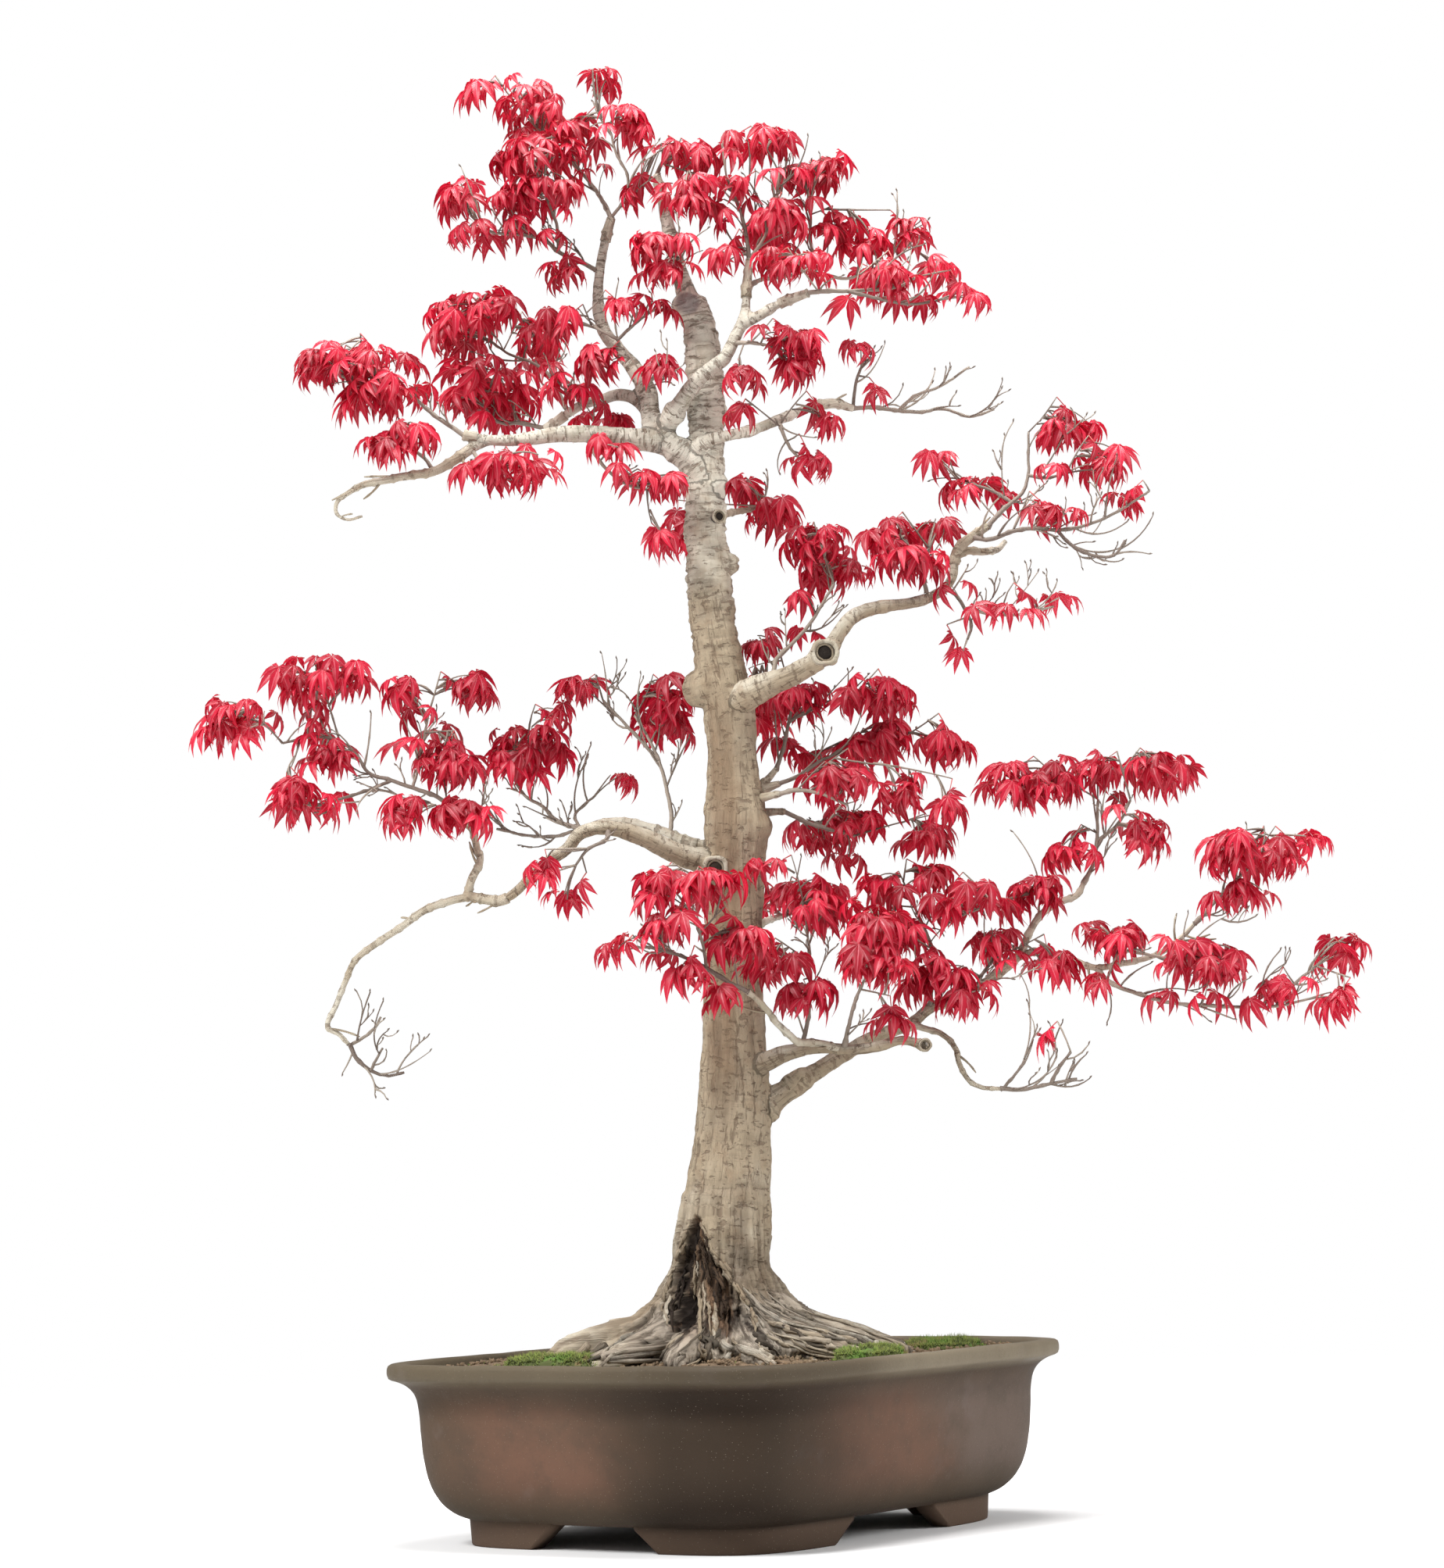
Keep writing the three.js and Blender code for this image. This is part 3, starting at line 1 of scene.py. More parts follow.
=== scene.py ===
"""Deshojo maple bonsai in a stoneware pot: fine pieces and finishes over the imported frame.

Lengths in the plans below are millimetres. The tree's routes are in the tree's own frame, which
faces its best side: x to the right, y away from the viewer, z up; the pot stands TREE_LIFT lower.
"""
import logging
import math
from dataclasses import dataclass, field
from enum import Enum
from typing import Callable, Sequence

import bpy
import numpy as np
from mathutils import Matrix, Vector
from mathutils.bvhtree import BVHTree


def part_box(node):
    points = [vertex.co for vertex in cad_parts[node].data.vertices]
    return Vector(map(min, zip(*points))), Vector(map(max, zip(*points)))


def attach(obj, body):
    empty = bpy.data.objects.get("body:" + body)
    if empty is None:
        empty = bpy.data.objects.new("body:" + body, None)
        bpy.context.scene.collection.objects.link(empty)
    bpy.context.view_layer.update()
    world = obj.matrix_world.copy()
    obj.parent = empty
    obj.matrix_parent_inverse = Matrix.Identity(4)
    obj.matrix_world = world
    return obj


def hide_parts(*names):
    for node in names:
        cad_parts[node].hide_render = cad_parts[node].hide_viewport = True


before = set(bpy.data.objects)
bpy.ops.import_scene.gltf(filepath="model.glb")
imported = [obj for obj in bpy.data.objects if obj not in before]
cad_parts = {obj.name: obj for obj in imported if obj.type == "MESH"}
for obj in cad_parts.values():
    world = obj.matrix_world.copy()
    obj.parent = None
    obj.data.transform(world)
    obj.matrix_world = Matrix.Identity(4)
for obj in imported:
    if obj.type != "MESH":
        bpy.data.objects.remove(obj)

logging.basicConfig(level=logging.INFO, format="%(message)s")
log = logging.getLogger("bonsai")

Array = np.ndarray
Rng = np.random.Generator
MM = 0.001
TREE_TURN = math.radians(-55)
GAP = 0.35
TREE_LIFT = 8.5
LEAF_FLOOR = 130.5


@dataclass(frozen=True)
class SprayPlan:
    """Where a leafy spray grows: its limb, the bend it leaves from, its stems and its leaf pads."""

    limb: str
    bend: int | None
    stems: tuple
    pads: tuple


# The tree's routes: x, y, z, radius at each bend

TRUNK = (
    (0.5, 0, 205, 32), (5.6, 2, 250, 28.4), (9, 1, 300, 24.8), (9.8, -1, 350, 21.8), (11.4, -3, 400, 21),
    (13, -3, 445, 21.6), (15, -2, 475, 23.5), (14.8, 0, 505, 19), (12, 2, 555, 18.9), (6, 2, 590, 17.8),
    (1, 1, 645, 16.3), (-0.6, 0, 695, 15.4), (1.5, 0, 735, 13.8), (2.4, 0, 780, 14), (0.5, 0, 815, 13),
    (-5, 1, 846, 9.8),
)
LIMBS = {
    "leader": (
        (-5, 1, 838, 9), (-13, 5, 862, 6.8), (-19, 9, 890, 6.2), (-24, 12, 915, 4.8), (-28, 16, 938, 2.8),
    ),
    "left_leader": (
        (4, -2, 708, 12), (-10, -5, 731, 11.5), (-25, -6, 742, 10), (-35, -4, 754, 8.5), (-38, 0, 778, 7.4),
        (-47, 4, 797, 6.9), (-58, 8, 812, 6.3), (-68, 10, 826, 5.8), (-71.5, 10, 845, 5.2),
        (-70, 9, 868, 4.6), (-66, 8, 888, 4), (-61, 8, 906, 3.2),
    ),
    "upper_left": (
        (-30, -7, 744, 8.6), (-50, -11, 745, 8), (-66, -14, 747.5, 7.6), (-82, -17, 748.5, 7.2),
        (-100, -21, 748, 6.6), (-118, -26, 745, 5.8), (-137, -30, 743, 5), (-152, -33, 744, 4.6),
        (-166, -35, 747, 3.4),
    ),
    "bare_left": (
        (-150, -32, 743, 3.8), (-161, -35, 737, 3.8), (-172, -38, 729, 3.5), (-186, -41, 721, 3.2),
        (-203, -44, 718, 2.9), (-219, -46, 715, 2.6), (-235, -46, 712, 2.3), (-245, -45, 707, 1.8),
        (-253, -44, 701, 1.5), (-254, -43, 694, 1.2), (-246, -42, 689, 1), (-236, -42, 691, 0.8),
    ),
    "arched_left": (
        (-33, -4, 756, 6.6), (-41, 2, 771, 6.2), (-50, 8, 778.5, 5.8), (-60, 13, 781, 5.4), (-70, 18, 779, 5),
        (-84, 24, 777, 4.5), (-95, 29, 772, 4.1), (-104, 33, 766.5, 3.6), (-112, 36, 763, 2.8),
    ),
    "right_leader": (
        (-28, -5, 752, 7.4), (-19, -14, 763.5, 7), (-9, -21, 776, 6.8), (-2, -25, 783.5, 6.5),
        (7, -27, 790.5, 6.2), (16, -28, 797, 5.9), (22, -27, 808, 5.4), (27, -26, 818, 5),
        (31, -25, 828, 4.6), (33, -22, 848, 3.6), (35, -18, 868, 2.4),
    ),
    "right_shelf": (
        (28, -26, 821, 4.6), (43, -30, 827, 4.4), (51, -33, 831, 4), (63, -38, 835, 3.6), (75, -43, 838, 2.8),
    ),
    "right_bough": (
        (-8, -4, 727, 6), (-5, -11, 736, 5.6), (3, -16, 741.5, 5.2), (16, -16, 744.5, 5),
        (30, -8, 748.5, 4.8), (41, 2, 753.5, 4.6), (53, 12, 760, 4.4), (68, 22, 767, 4.1), (80, 29, 772, 3.8),
        (94, 35, 774.5, 3.5), (106, 41, 772, 2.6),
    ),
    "middle_right": (
        (8, -2, 553, 10), (27, -14, 564, 9.6), (42, -20, 570, 9.2), (57, -24, 575, 8.8), (72, -26, 583, 8.2),
        (83, -26, 593, 7.4), (91, -25, 605, 6.6), (99, -23, 614, 6.1), (109, -20, 619, 5.8),
        (123, -17, 622, 5.4), (138, -15, 623.5, 5.1), (152, -13, 627, 4.7), (164, -12, 634, 4.2),
        (170, -11, 642, 4), (172, -10, 654, 3.8), (175, -10, 662, 3.6), (184, -10, 669.5, 3.4),
        (196, -10, 677, 2.6),
    ),
    "pale_stub": (
        (171, -9, 655, 3), (180, -4, 660.5, 2.8), (193, 2, 661, 2.6), (203, 7, 663, 2.3), (209, 11, 669, 1.7),
    ),
    "left_bough": (
        (6, -4, 446, 10.5), (-12, -11, 450.5, 9.4), (-25, -16, 454, 8.6), (-36, -21, 459, 8),
        (-46, -26, 464, 7.6), (-60, -31, 469.5, 6.9), (-72, -34, 472, 6.3), (-84, -36, 471.5, 5.8),
        (-93, -36, 468, 5.6), (-100, -36, 459.5, 5.3), (-107, -35, 454.5, 5), (-115, -34, 450, 4.8),
        (-127, -33, 440, 4.5), (-136, -32, 431, 4.2), (-146, -30, 425, 3.8), (-160, -28, 426, 3.4),
        (-173, -25, 430, 2.8),
    ),
    "bare_drop": (
        (-168, -26, 428, 2.8), (-186, -22, 425, 2.7), (-201, -18, 420, 2.6), (-217, -13, 409.5, 2.4),
        (-233, -9, 400, 2.3), (-251, -4, 387, 2.1), (-257, -1, 375, 2), (-265, 2, 357, 1.9),
        (-271, 4, 342, 1.8), (-263, 5, 337, 1.6), (-256, 6, 330, 1.3),
    ),
    "left_rise": (
        (-171, -25, 428, 2.8), (-167, -24, 441, 2.8), (-162, -20, 452, 2.6), (-164, -16, 463, 2.5),
        (-167, -12, 475, 2.4), (-172, -8, 485, 2.3), (-181, -3, 493, 1.9),
    ),
    "slim_left": (
        (2, 6, 460, 4.6), (-16, 13, 464, 3.8), (-31, 19, 471, 3.1), (-46, 25, 477, 2.7),
        (-60, 30, 481.5, 2.4), (-76, 35, 482.5, 2.2), (-94, 40, 478, 1.8),
    ),
    "tuft_high": (
        (22, 8, 496, 4.2), (36, 14, 505, 2.8), (44, 18, 514, 1.9),
    ),
    "tuft_middle": (
        (20, 2, 494, 5), (37, 6, 500, 3.4), (46, 8, 503, 2.2),
    ),
    "tuft_front": (
        (24, -6, 490, 4), (38, -11, 493, 2.8), (46, -14, 494, 2),
    ),
    "tuft_low": (
        (24, 8, 482, 4.4), (40, 14, 484, 2.8), (49, 17, 484, 2),
    ),
    "front_right": (
        (12, -6, 304, 9.5), (30, -14, 309, 7.8), (42, -19, 314, 6.9), (55, -23, 317, 6), (70, -27, 318, 5.2),
        (84, -31, 316, 4.8), (97, -35, 316, 4.5), (111, -39, 318.5, 4.3), (124, -43, 321, 4.1),
        (137, -47, 317.5, 4),
    ),
    "low_right": (
        (16, 2, 262, 12), (31, 2, 280, 10), (42, 2, 288, 9), (54, 2, 296.5, 8.3), (66, 1, 303, 7.6),
        (80, 0, 311, 6.8), (102, 0, 323, 6), (117, 0, 329, 5.5), (131, 1, 333, 5.2), (145, 3, 344, 4.8),
        (162, 5, 350, 4.5), (179, 6, 358, 4.1), (193, 7, 366.5, 3.7), (205, 8, 376, 3.4), (212, 9, 382, 2.8),
    ),
    "right_rise": (
        (209, 8, 377, 2.9), (213, 10, 388, 2.7), (218, 12, 398, 2.6), (226, 14, 408, 2.5),
        (237, 17, 415, 2.4), (251, 20, 420.5, 2.2), (256, 22, 429, 1.8),
    ),
    "right_tail": (
        (208, 8, 378, 2.8), (220, 6, 381, 2.7), (231, 2, 379, 2.5), (245, -4, 374, 2.3), (259, -10, 368, 2.2),
        (276, -16, 370, 2.1), (293, -20, 373, 1.9), (307, -24, 378.5, 1.8), (318, -27, 387, 1.6),
        (327, -30, 396, 1.4),
    ),
    "bare_right": (
        (130, 0, 334, 2.6), (143, -6, 329, 2.2), (153, -11, 325, 2), (161, -17, 315, 1.9),
        (163, -21, 304, 1.8), (172, -25, 290, 1.6), (191, -29, 286.5, 1.3),
    ),
    "front_cross": (
        (82, -31, 316, 2.6), (66, -38, 321, 2.6), (52, -44, 322, 2.5), (46, -50, 327, 2.4),
        (39, -56, 334, 2.2), (30, -64, 346, 2), (19, -70, 356, 1.7),
    ),
    "back_low": (
        (12, 8, 390, 6), (18, 30, 398, 4.4), (26, 52, 406, 3.2), (36, 76, 412, 2.4), (46, 94, 416, 1.9),
    ),
    "back_high": (
        (2, 4, 684, 5), (8, 24, 694, 3.2), (20, 42, 700, 2.4), (32, 56, 704, 1.8),
    ),
}
CROWN_RINGS = (
    (82, 0, 46, 0.35), (104, 0, 57, 1), (117, 0, 56, 1.02), (123, -1, 53, 0.78), (131, -2, 49, 0.5),
    (140, -3, 46, 0.27), (152, -4, 41.5, 0.1), (172, -4, 36, 0), (200, -1.5, 32.8, 0), (222, 1.5, 30.6, 0),
)
SURFACE_ROOTS = (
    (-8, 62, 17), (-38, 50, 15), (-70, 26, 16), (-106, 30, 15), (-145, 44, 16), (176, 60, 17), (136, 32, 18),
    (93, 26, 16), (48, 36, 18),
)
SPRAYS = {
    "crown_left": SprayPlan("left_leader", None, (
        (0, (-68, 12, 922), (-80, 16, 940), (-96, 18, 958), (-112, 18, 975)),
        (0, (-50, 3, 920), (-48, -2, 932), (-56, -5, 950), (-60, -6, 968)),
    ), (
        (-115, 18, 990, 26, 26, 22, 3), (-150, 10, 1000, 14, 14, 9, 1), (-68, -6, 1002, 14, 14, 9, 1),
        (-48, -8, 968, 20, 20, 16, 1), (-80, 2, 972, 20, 20, 10, 1),
    )),
    "crown_shelf": SprayPlan("left_leader", 9, (
        (0, (-80, 4, 873), (-98, 0, 881), (-106, -4, 888), (-125, -10, 892), (-145, -14, 894),
         (-158, -16, 905)),
        (2, (-99, -6, 900), (-104, -8, 915), (-110, -10, 932)),
    ), (
        (-112, -12, 948, 34, 28, 15, 2), (-112, -10, 920, 36, 30, 12, 2), (-165, -16, 920, 18, 20, 16, 1),
        (-158, -18, 894, 13, 13, 8, 1), (-92, -6, 864, 14, 14, 8, 1),
    )),
    "crown_middle": SprayPlan("leader", None, (
        (0, (-24, 14, 946), (-14, 10, 952)),
    ), (
        (-10, 8, 950, 26, 26, 11, 2), (-4, -8, 920, 24, 24, 18, 2), (-40, 0, 922, 12, 14, 9, 1),
    )),
    "crown_front": SprayPlan("leader", 1, (
        (0, (-14, -14, 868), (-16, -24, 874)),
    ), (
        (-22, -26, 880, 22, 20, 13, 1), (-22, -30, 858, 20, 16, 9, 1),
    )),
    "crown_right": SprayPlan("right_leader", None, (
        (0, (34, -14, 885), (30, -10, 905), (21, -8, 930)),
        (0, (45, -14, 882), (54, -10, 905), (58, -6, 932)),
    ), (
        (20, -8, 952, 10, 12, 10, 1), (24, -14, 920, 10, 14, 9, 1), (56, -14, 900, 16, 20, 14, 1),
        (55, 0, 957, 22, 22, 10, 1), (20, -22, 870, 10, 12, 8, 1),
    )),
    "crown_back": SprayPlan("right_leader", 9, (
        (0, (44, -8, 856), (56, 2, 859), (75, 12, 866), (81, 17, 874), (79, 22, 890), (80, 22, 908),
         (78, 20, 925)),
        (3, (92, 20, 863), (104, 25, 862), (118, 28, 866), (132, 30, 871), (150, 28, 886)),
    ), (
        (80, 18, 936, 27, 28, 16, 2), (92, 12, 898, 12, 16, 13, 1), (118, 24, 888, 20, 22, 12, 1),
        (150, 26, 891, 15, 18, 13, 1), (166, 24, 865, 11, 14, 10, 1), (50, 44, 905, 24, 22, 16, 2),
    )),
    "right_shelf": SprayPlan("right_shelf", None, (
        (0, (89, -47, 838), (102, -49, 837), (120, -47, 838), (138, -42, 841), (150, -38, 848)),
        (2, (122, -56, 830), (146, -52, 826), (164, -48, 829)),
    ), (
        (66, -46, 858, 34, 24, 12, 2), (125, -44, 848, 28, 26, 13, 2), (180, -46, 831, 16, 14, 9, 1),
    )),
    "leader_inside": SprayPlan("right_leader", 6, (
        (0, (34, -34, 806), (48, -36, 803)),
    ), (
        (58, -34, 806, 25, 22, 12, 2), (66, -30, 789, 18, 18, 8, 1), (30, -44, 779, 11, 12, 9, 1),
    )),
    "right_bough_tip": SprayPlan("right_bough", None, (
        (0, (120, 46, 773), (139, 50, 771), (156, 54, 770), (170, 58, 773), (190, 60, 767), (208, 62, 772)),
        (0, (108, 42, 785), (113, 46, 801), (124, 52, 812)),
        (2, (150, 46, 780), (168, 44, 786), (190, 46, 800)),
    ), (
        (112, 42, 812, 10, 12, 9, 1), (126, 38, 782, 8, 8, 6, 1),
    )),
    "right_bough_under": SprayPlan("right_bough", 6, (
        (0, (54, -2, 752), (60, -8, 736), (66, -12, 728)),
    ), (
        (74, -14, 724, 14, 14, 9, 1), (84, 4, 758, 14, 14, 8, 1), (24, -30, 756, 9, 10, 8, 1),
    )),
    "left_leader_side": SprayPlan("left_leader", 6, (
        (0, (-58, -8, 816), (-76, -8, 826)),
        (1, (-46, -12, 826), (-34, -14, 834)),
    ), (
        (-92, -10, 827, 19, 18, 10, 1), (-53, -18, 836, 14, 14, 10, 1), (-30, -16, 836, 15, 14, 9, 1),
    )),
    "left_leader_low": SprayPlan("left_leader", 4, (
        (0, (-38, -16, 782), (-29, -22, 790)),
    ), (
        (-27, -26, 793, 15, 15, 10, 1), (-64, -18, 797, 20, 16, 12, 1),
    )),
    "arched_left_side": SprayPlan("arched_left", 5, (
        (0, (-86, 10, 780), (-92, 2, 784)),
    ), (
        (-90, 2, 785, 19, 18, 14, 1), (-70, 4, 762, 22, 16, 8, 1),
    )),
    "arched_left_tip": SprayPlan("arched_left", None, (
        (0, (-130, 41, 768), (-146, 44, 770), (-156, 44, 782)),
    ), (
        (-152, 50, 797, 34, 40, 23, 3),
    )),
    "arched_left_rise": SprayPlan("arched_left", 6, (
        (0, (-100, 38, 784), (-108, 46, 802), (-120, 52, 813), (-137, 58, 821), (-150, 60, 831)),
    ), (
        (-160, 60, 848, 34, 40, 22, 3), (-118, 84, 838, 22, 22, 14, 1),
    )),
    "upper_left_tip": SprayPlan("upper_left", None, (
        (0, (-178, -34, 756), (-186, -32, 762), (-203, -28, 778), (-216, -26, 785), (-236, -24, 786)),
    ), (
        (-240, -26, 801, 43, 40, 13, 3), (-221, -34, 779, 31, 36, 11, 2),
    )),
    "bare_left_side": SprayPlan("bare_left", 3, (
        (0, (-193, -38, 731), (-202, -36, 738)),
    ), (
        (-206, -56, 742, 28, 26, 14, 2),
    )),
    "bare_left_under": SprayPlan("bare_left", 1, (
        (0, (-154, -40, 727), (-144, -44, 722)),
    ), (
        (-137, -44, 722, 39, 30, 13, 2),
    )),
    "upper_left_under": SprayPlan("upper_left", 3, (
        (0, (-76, -22, 734), (-68, -26, 722), (-54, -28, 710), (-40, -28, 706)),
    ), (
        (-70, -26, 736, 24, 20, 8, 1), (-38, -32, 712, 22, 16, 9, 1), (-29, -30, 672, 8, 8, 8, 1),
    )),
    "back_high": SprayPlan("back_high", None, (
        (0, (42, 62, 707)),
    ), (
        (30, 52, 720, 14, 18, 10, 1), (46, 58, 702, 26, 24, 10, 2), (-14, 60, 690, 22, 22, 16, 1),
    )),
    "middle_right_shoot": SprayPlan("middle_right", 2, (
        (0, (46, -7, 588), (58, -3, 600), (70, 1, 613), (79, 3, 627), (88, 1, 641)),
    ), (
        (75, 12, 673, 22, 26, 12, 1), (91, 22, 655, 24, 28, 16, 2),
    )),
    "middle_right_middle": SprayPlan("middle_right", 11, (
        (0, (150, -16, 642), (154, -14, 662)),
    ), (
        (128, -30, 666, 20, 26, 17, 1), (142, -34, 652, 24, 26, 12, 2), (160, -2, 679, 18, 20, 10, 1),
    )),
    "far_right_top": SprayPlan("middle_right", None, (
        (0, (206, -7, 688), (213, -4, 694), (221, 0, 701), (226, 4, 714), (227, 8, 731), (228, 12, 746)),
        (2, (204, 4, 702), (192, 8, 708), (178, 12, 713)),
        (4, (238, -2, 711), (252, -6, 713)),
    ), (
        (165, 10, 726, 12, 12, 8, 1), (180, 6, 705, 11, 12, 8, 1), (252, 12, 749, 24, 24, 14, 2),
        (276, -8, 720, 22, 22, 12, 1),
    )),
    "far_right_side": SprayPlan("middle_right", 16, (
        (0, (196, -20, 666), (212, -22, 671), (227, -26, 672), (242, -28, 670), (260, -30, 672),
         (280, -33, 679), (306, -37, 694)),
        (4, (252, -32, 658), (265, -34, 651), (280, -36, 650), (288, -37, 660)),
    ), (
        (234, -26, 683, 24, 20, 8, 1), (287, -32, 688, 12, 12, 7, 1),
    )),
    "middle_right_hanger": SprayPlan("middle_right", 12, (
        (0, (171, -22, 628), (177, -22, 618), (181, -23, 606), (178, -24, 596)),
        (2, (196, -26, 613), (216, -28, 612), (238, -28, 617)),
    ), (
        (173, -24, 588, 6, 6, 5, 1), (228, -26, 620, 7, 7, 5, 1),
    )),
    "left_fan": SprayPlan("left_rise", None, (
        (0, (-194, 2, 501), (-209, 6, 507), (-224, 9, 513), (-240, 11, 519), (-248, 14, 532), (-260, 16, 542),
         (-276, 18, 546), (-300, 18, 542)),
        (3, (-240, 4, 506), (-256, 0, 501), (-276, -4, 495)),
        (2, (-206, 14, 520), (-202, 20, 540), (-198, 22, 560)),
    ), (
        (-332, 14, 557, 31, 24, 17, 2), (-272, 20, 585, 35, 32, 17, 2), (-266, 12, 530, 24, 20, 13, 1),
        (-287, -8, 500, 25, 24, 17, 2), (-212, 22, 576, 17, 18, 11, 1), (-173, 24, 578, 18, 18, 12, 1),
        (-186, 8, 527, 28, 28, 17, 2),
    )),
    "left_rise_side": SprayPlan("left_rise", 4, (
        (0, (-170, -24, 482), (-178, -30, 486)),
    ), (
        (-172, -32, 484, 24, 22, 14, 2), (-211, -30, 486, 16, 16, 15, 1),
    )),
    "left_bough_hanger": SprayPlan("left_bough", 6, (
        (0, (-74, -46, 463), (-86, -48, 457), (-95, -48, 446)),
    ), (
        (-112, -48, 441, 12, 12, 10, 1), (-100, -46, 424, 12, 12, 10, 1),
    )),
    "bare_drop_tip": SprayPlan("bare_drop", None, (
        (0, (-252, 7, 321), (-242, 8, 312), (-230, 9, 308), (-219, 10, 310)),
        (0, (-247, 12, 335), (-239, 14, 342), (-235, 15, 349)),
        (2, (-238, 3, 319), (-233, 0, 327)),
    ), (

    )),
    "slim_left_tip": SprayPlan("slim_left", None, (
        (0, (-110, 43, 484), (-122, 46, 496), (-133, 48, 503), (-140, 48, 514)),
        (0, (-112, 48, 474), (-130, 52, 475), (-154, 56, 481)),
        (0, (-98, 56, 490), (-84, 60, 503)),
    ), (
        (-130, 46, 533, 28, 30, 23, 2), (-113, 42, 558, 15, 16, 8, 1), (-70, 60, 512, 12, 12, 8, 1),
    )),
    "slim_left_rise": SprayPlan("slim_left", 2, (
        (0, (-30, 22, 484), (-33, 26, 504), (-38, 28, 524), (-46, 30, 542), (-54, 32, 556)),
        (3, (-62, 34, 552), (-76, 36, 568)),
    ), (
        (-34, 32, 568, 21, 24, 15, 1), (-34, 62, 552, 20, 24, 14, 1), (-90, 36, 577, 17, 18, 12, 1),
    )),
    "tuft_high": SprayPlan("tuft_high", None, (
        (0, (50, 22, 530), (54, 26, 548), (58, 28, 562)),
        (2, (76, 28, 560), (98, 28, 564)),
    ), (
        (58, 24, 568, 26, 26, 12, 2), (114, 26, 565, 30, 28, 14, 2), (36, 20, 602, 16, 16, 9, 1),
        (34, 78, 562, 28, 26, 18, 1),
    )),
    "tuft_middle": SprayPlan("tuft_middle", None, (
        (0, (60, 16, 509), (76, 24, 520), (98, 34, 528), (120, 40, 529)),
    ), (
        (118, 42, 536, 20, 24, 15, 1), (160, 44, 531, 23, 22, 11, 2), (76, 46, 524, 16, 18, 10, 1),
    )),
    "tuft_front": SprayPlan("tuft_front", None, (
        (0, (58, -16, 496), (73, -18, 493), (92, -22, 484)),
    ), (
        (88, -20, 501, 28, 28, 12, 2), (132, -22, 491, 20, 22, 12, 1), (160, -26, 481, 10, 12, 8, 1),
    )),
    "tuft_low": SprayPlan("tuft_low", None, (
        (0, (66, 22, 476), (82, 26, 471), (98, 30, 467)),
    ), (
        (97, 30, 478, 20, 22, 11, 1), (148, 28, 463, 23, 22, 9, 2), (76, 76, 472, 24, 24, 14, 1),
    )),
    "front_cross": SprayPlan("front_cross", None, (
        (0, (7, -76, 362), (-8, -82, 372), (-24, -86, 380), (-36, -90, 384), (-48, -92, 387)),
        (2, (-10, -84, 388), (-16, -86, 408)),
    ), (
        (-30, -94, 402, 26, 20, 9, 1), (-22, -88, 428, 39, 26, 15, 3), (14, -82, 389, 24, 22, 18, 2),
        (-68, -92, 383, 10, 10, 6, 1), (-18, -92, 368, 16, 14, 10, 1), (4, -82, 351, 10, 12, 10, 1),
    )),
    "front_right_rise": SprayPlan("front_right", 5, (
        (0, (87, -44, 330), (93, -50, 350), (102, -52, 368)),
    ), (
        (106, -66, 377, 24, 26, 18, 2), (107, -58, 402, 24, 26, 17, 2), (112, -52, 332, 18, 14, 6, 1),
    )),
    "front_right_inner": SprayPlan("front_right", 3, (
        (0, (60, -30, 336), (62, -32, 360), (62, -26, 388)),
    ), (
        (66, -28, 416, 21, 22, 20, 1), (37, -36, 442, 13, 12, 7, 1), (60, -42, 353, 18, 16, 10, 1),
        (40, -46, 374, 24, 18, 11, 1),
    )),
    "back_low": SprayPlan("back_low", None, (
        (0, (52, 106, 418), (60, 118, 420)),
        (0, (38, 108, 424), (20, 118, 432)),
    ), (
        (58, 104, 428, 32, 34, 17, 2), (12, 120, 434, 26, 26, 14, 2),
    )),
    "low_right_rise": SprayPlan("low_right", 9, (
        (0, (146, -8, 356), (150, -10, 372), (144, -4, 396), (134, 2, 420)),
    ), (
        (150, -14, 367, 28, 26, 18, 2), (116, 6, 431, 16, 16, 10, 1), (146, 6, 437, 16, 16, 9, 1),
        (120, 22, 398, 22, 22, 16, 1),
    )),
    "right_rise_inner": SprayPlan("right_rise", 4, (
        (0, (228, 6, 423), (214, 0, 421), (196, -6, 415), (178, -10, 410), (162, -12, 404)),
    ), (
        (170, -12, 417, 32, 30, 14, 2), (222, 0, 421, 22, 22, 12, 1),
    )),
    "low_right_upper": SprayPlan("low_right", 11, (
        (0, (180, -8, 364), (190, -10, 376)),
        (1, (178, -18, 354)),
    ), (
        (194, -8, 386, 18, 20, 13, 1), (228, -14, 370, 16, 16, 10, 1), (172, -22, 349, 21, 16, 9, 1),
    )),
    "bare_right_tip": SprayPlan("bare_right", None, (
        (0, (204, -31, 285.5), (224, -33, 289), (242, -34, 292)),
        (0, (200, -34, 296), (208, -34, 306)),
        (2, (230, -36, 300), (238, -37, 310)),
    ), (
        (214, -34, 318, 8, 8, 6, 1),
    )),
    "right_top": SprayPlan("right_rise", None, (
        (0, (263, 25, 441), (267, 28, 458), (268, 31, 476), (269, 32, 488)),
        (2, (282, 24, 470), (291, 24, 486)),
    ), (
        (222, 30, 502, 34, 34, 16, 3), (268, 34, 508, 14, 20, 14, 1), (310, 32, 506, 30, 32, 14, 2),
        (250, 22, 450, 17, 18, 10, 1), (299, 22, 461, 22, 22, 12, 1),
    )),
    "right_far": SprayPlan("right_tail", None, (
        (0, (336, -32, 405), (346, -34, 416), (362, -35, 430)),
    ), (
        (374, -34, 445, 45, 38, 18, 3), (358, -36, 415, 20, 20, 8, 1),
    )),
    "right_tail_middle": SprayPlan("right_tail", 5, (
        (0, (274, -22, 380), (270, -24, 388)),
        (1, (298, -32, 374), (322, -36, 370)),
    ), (
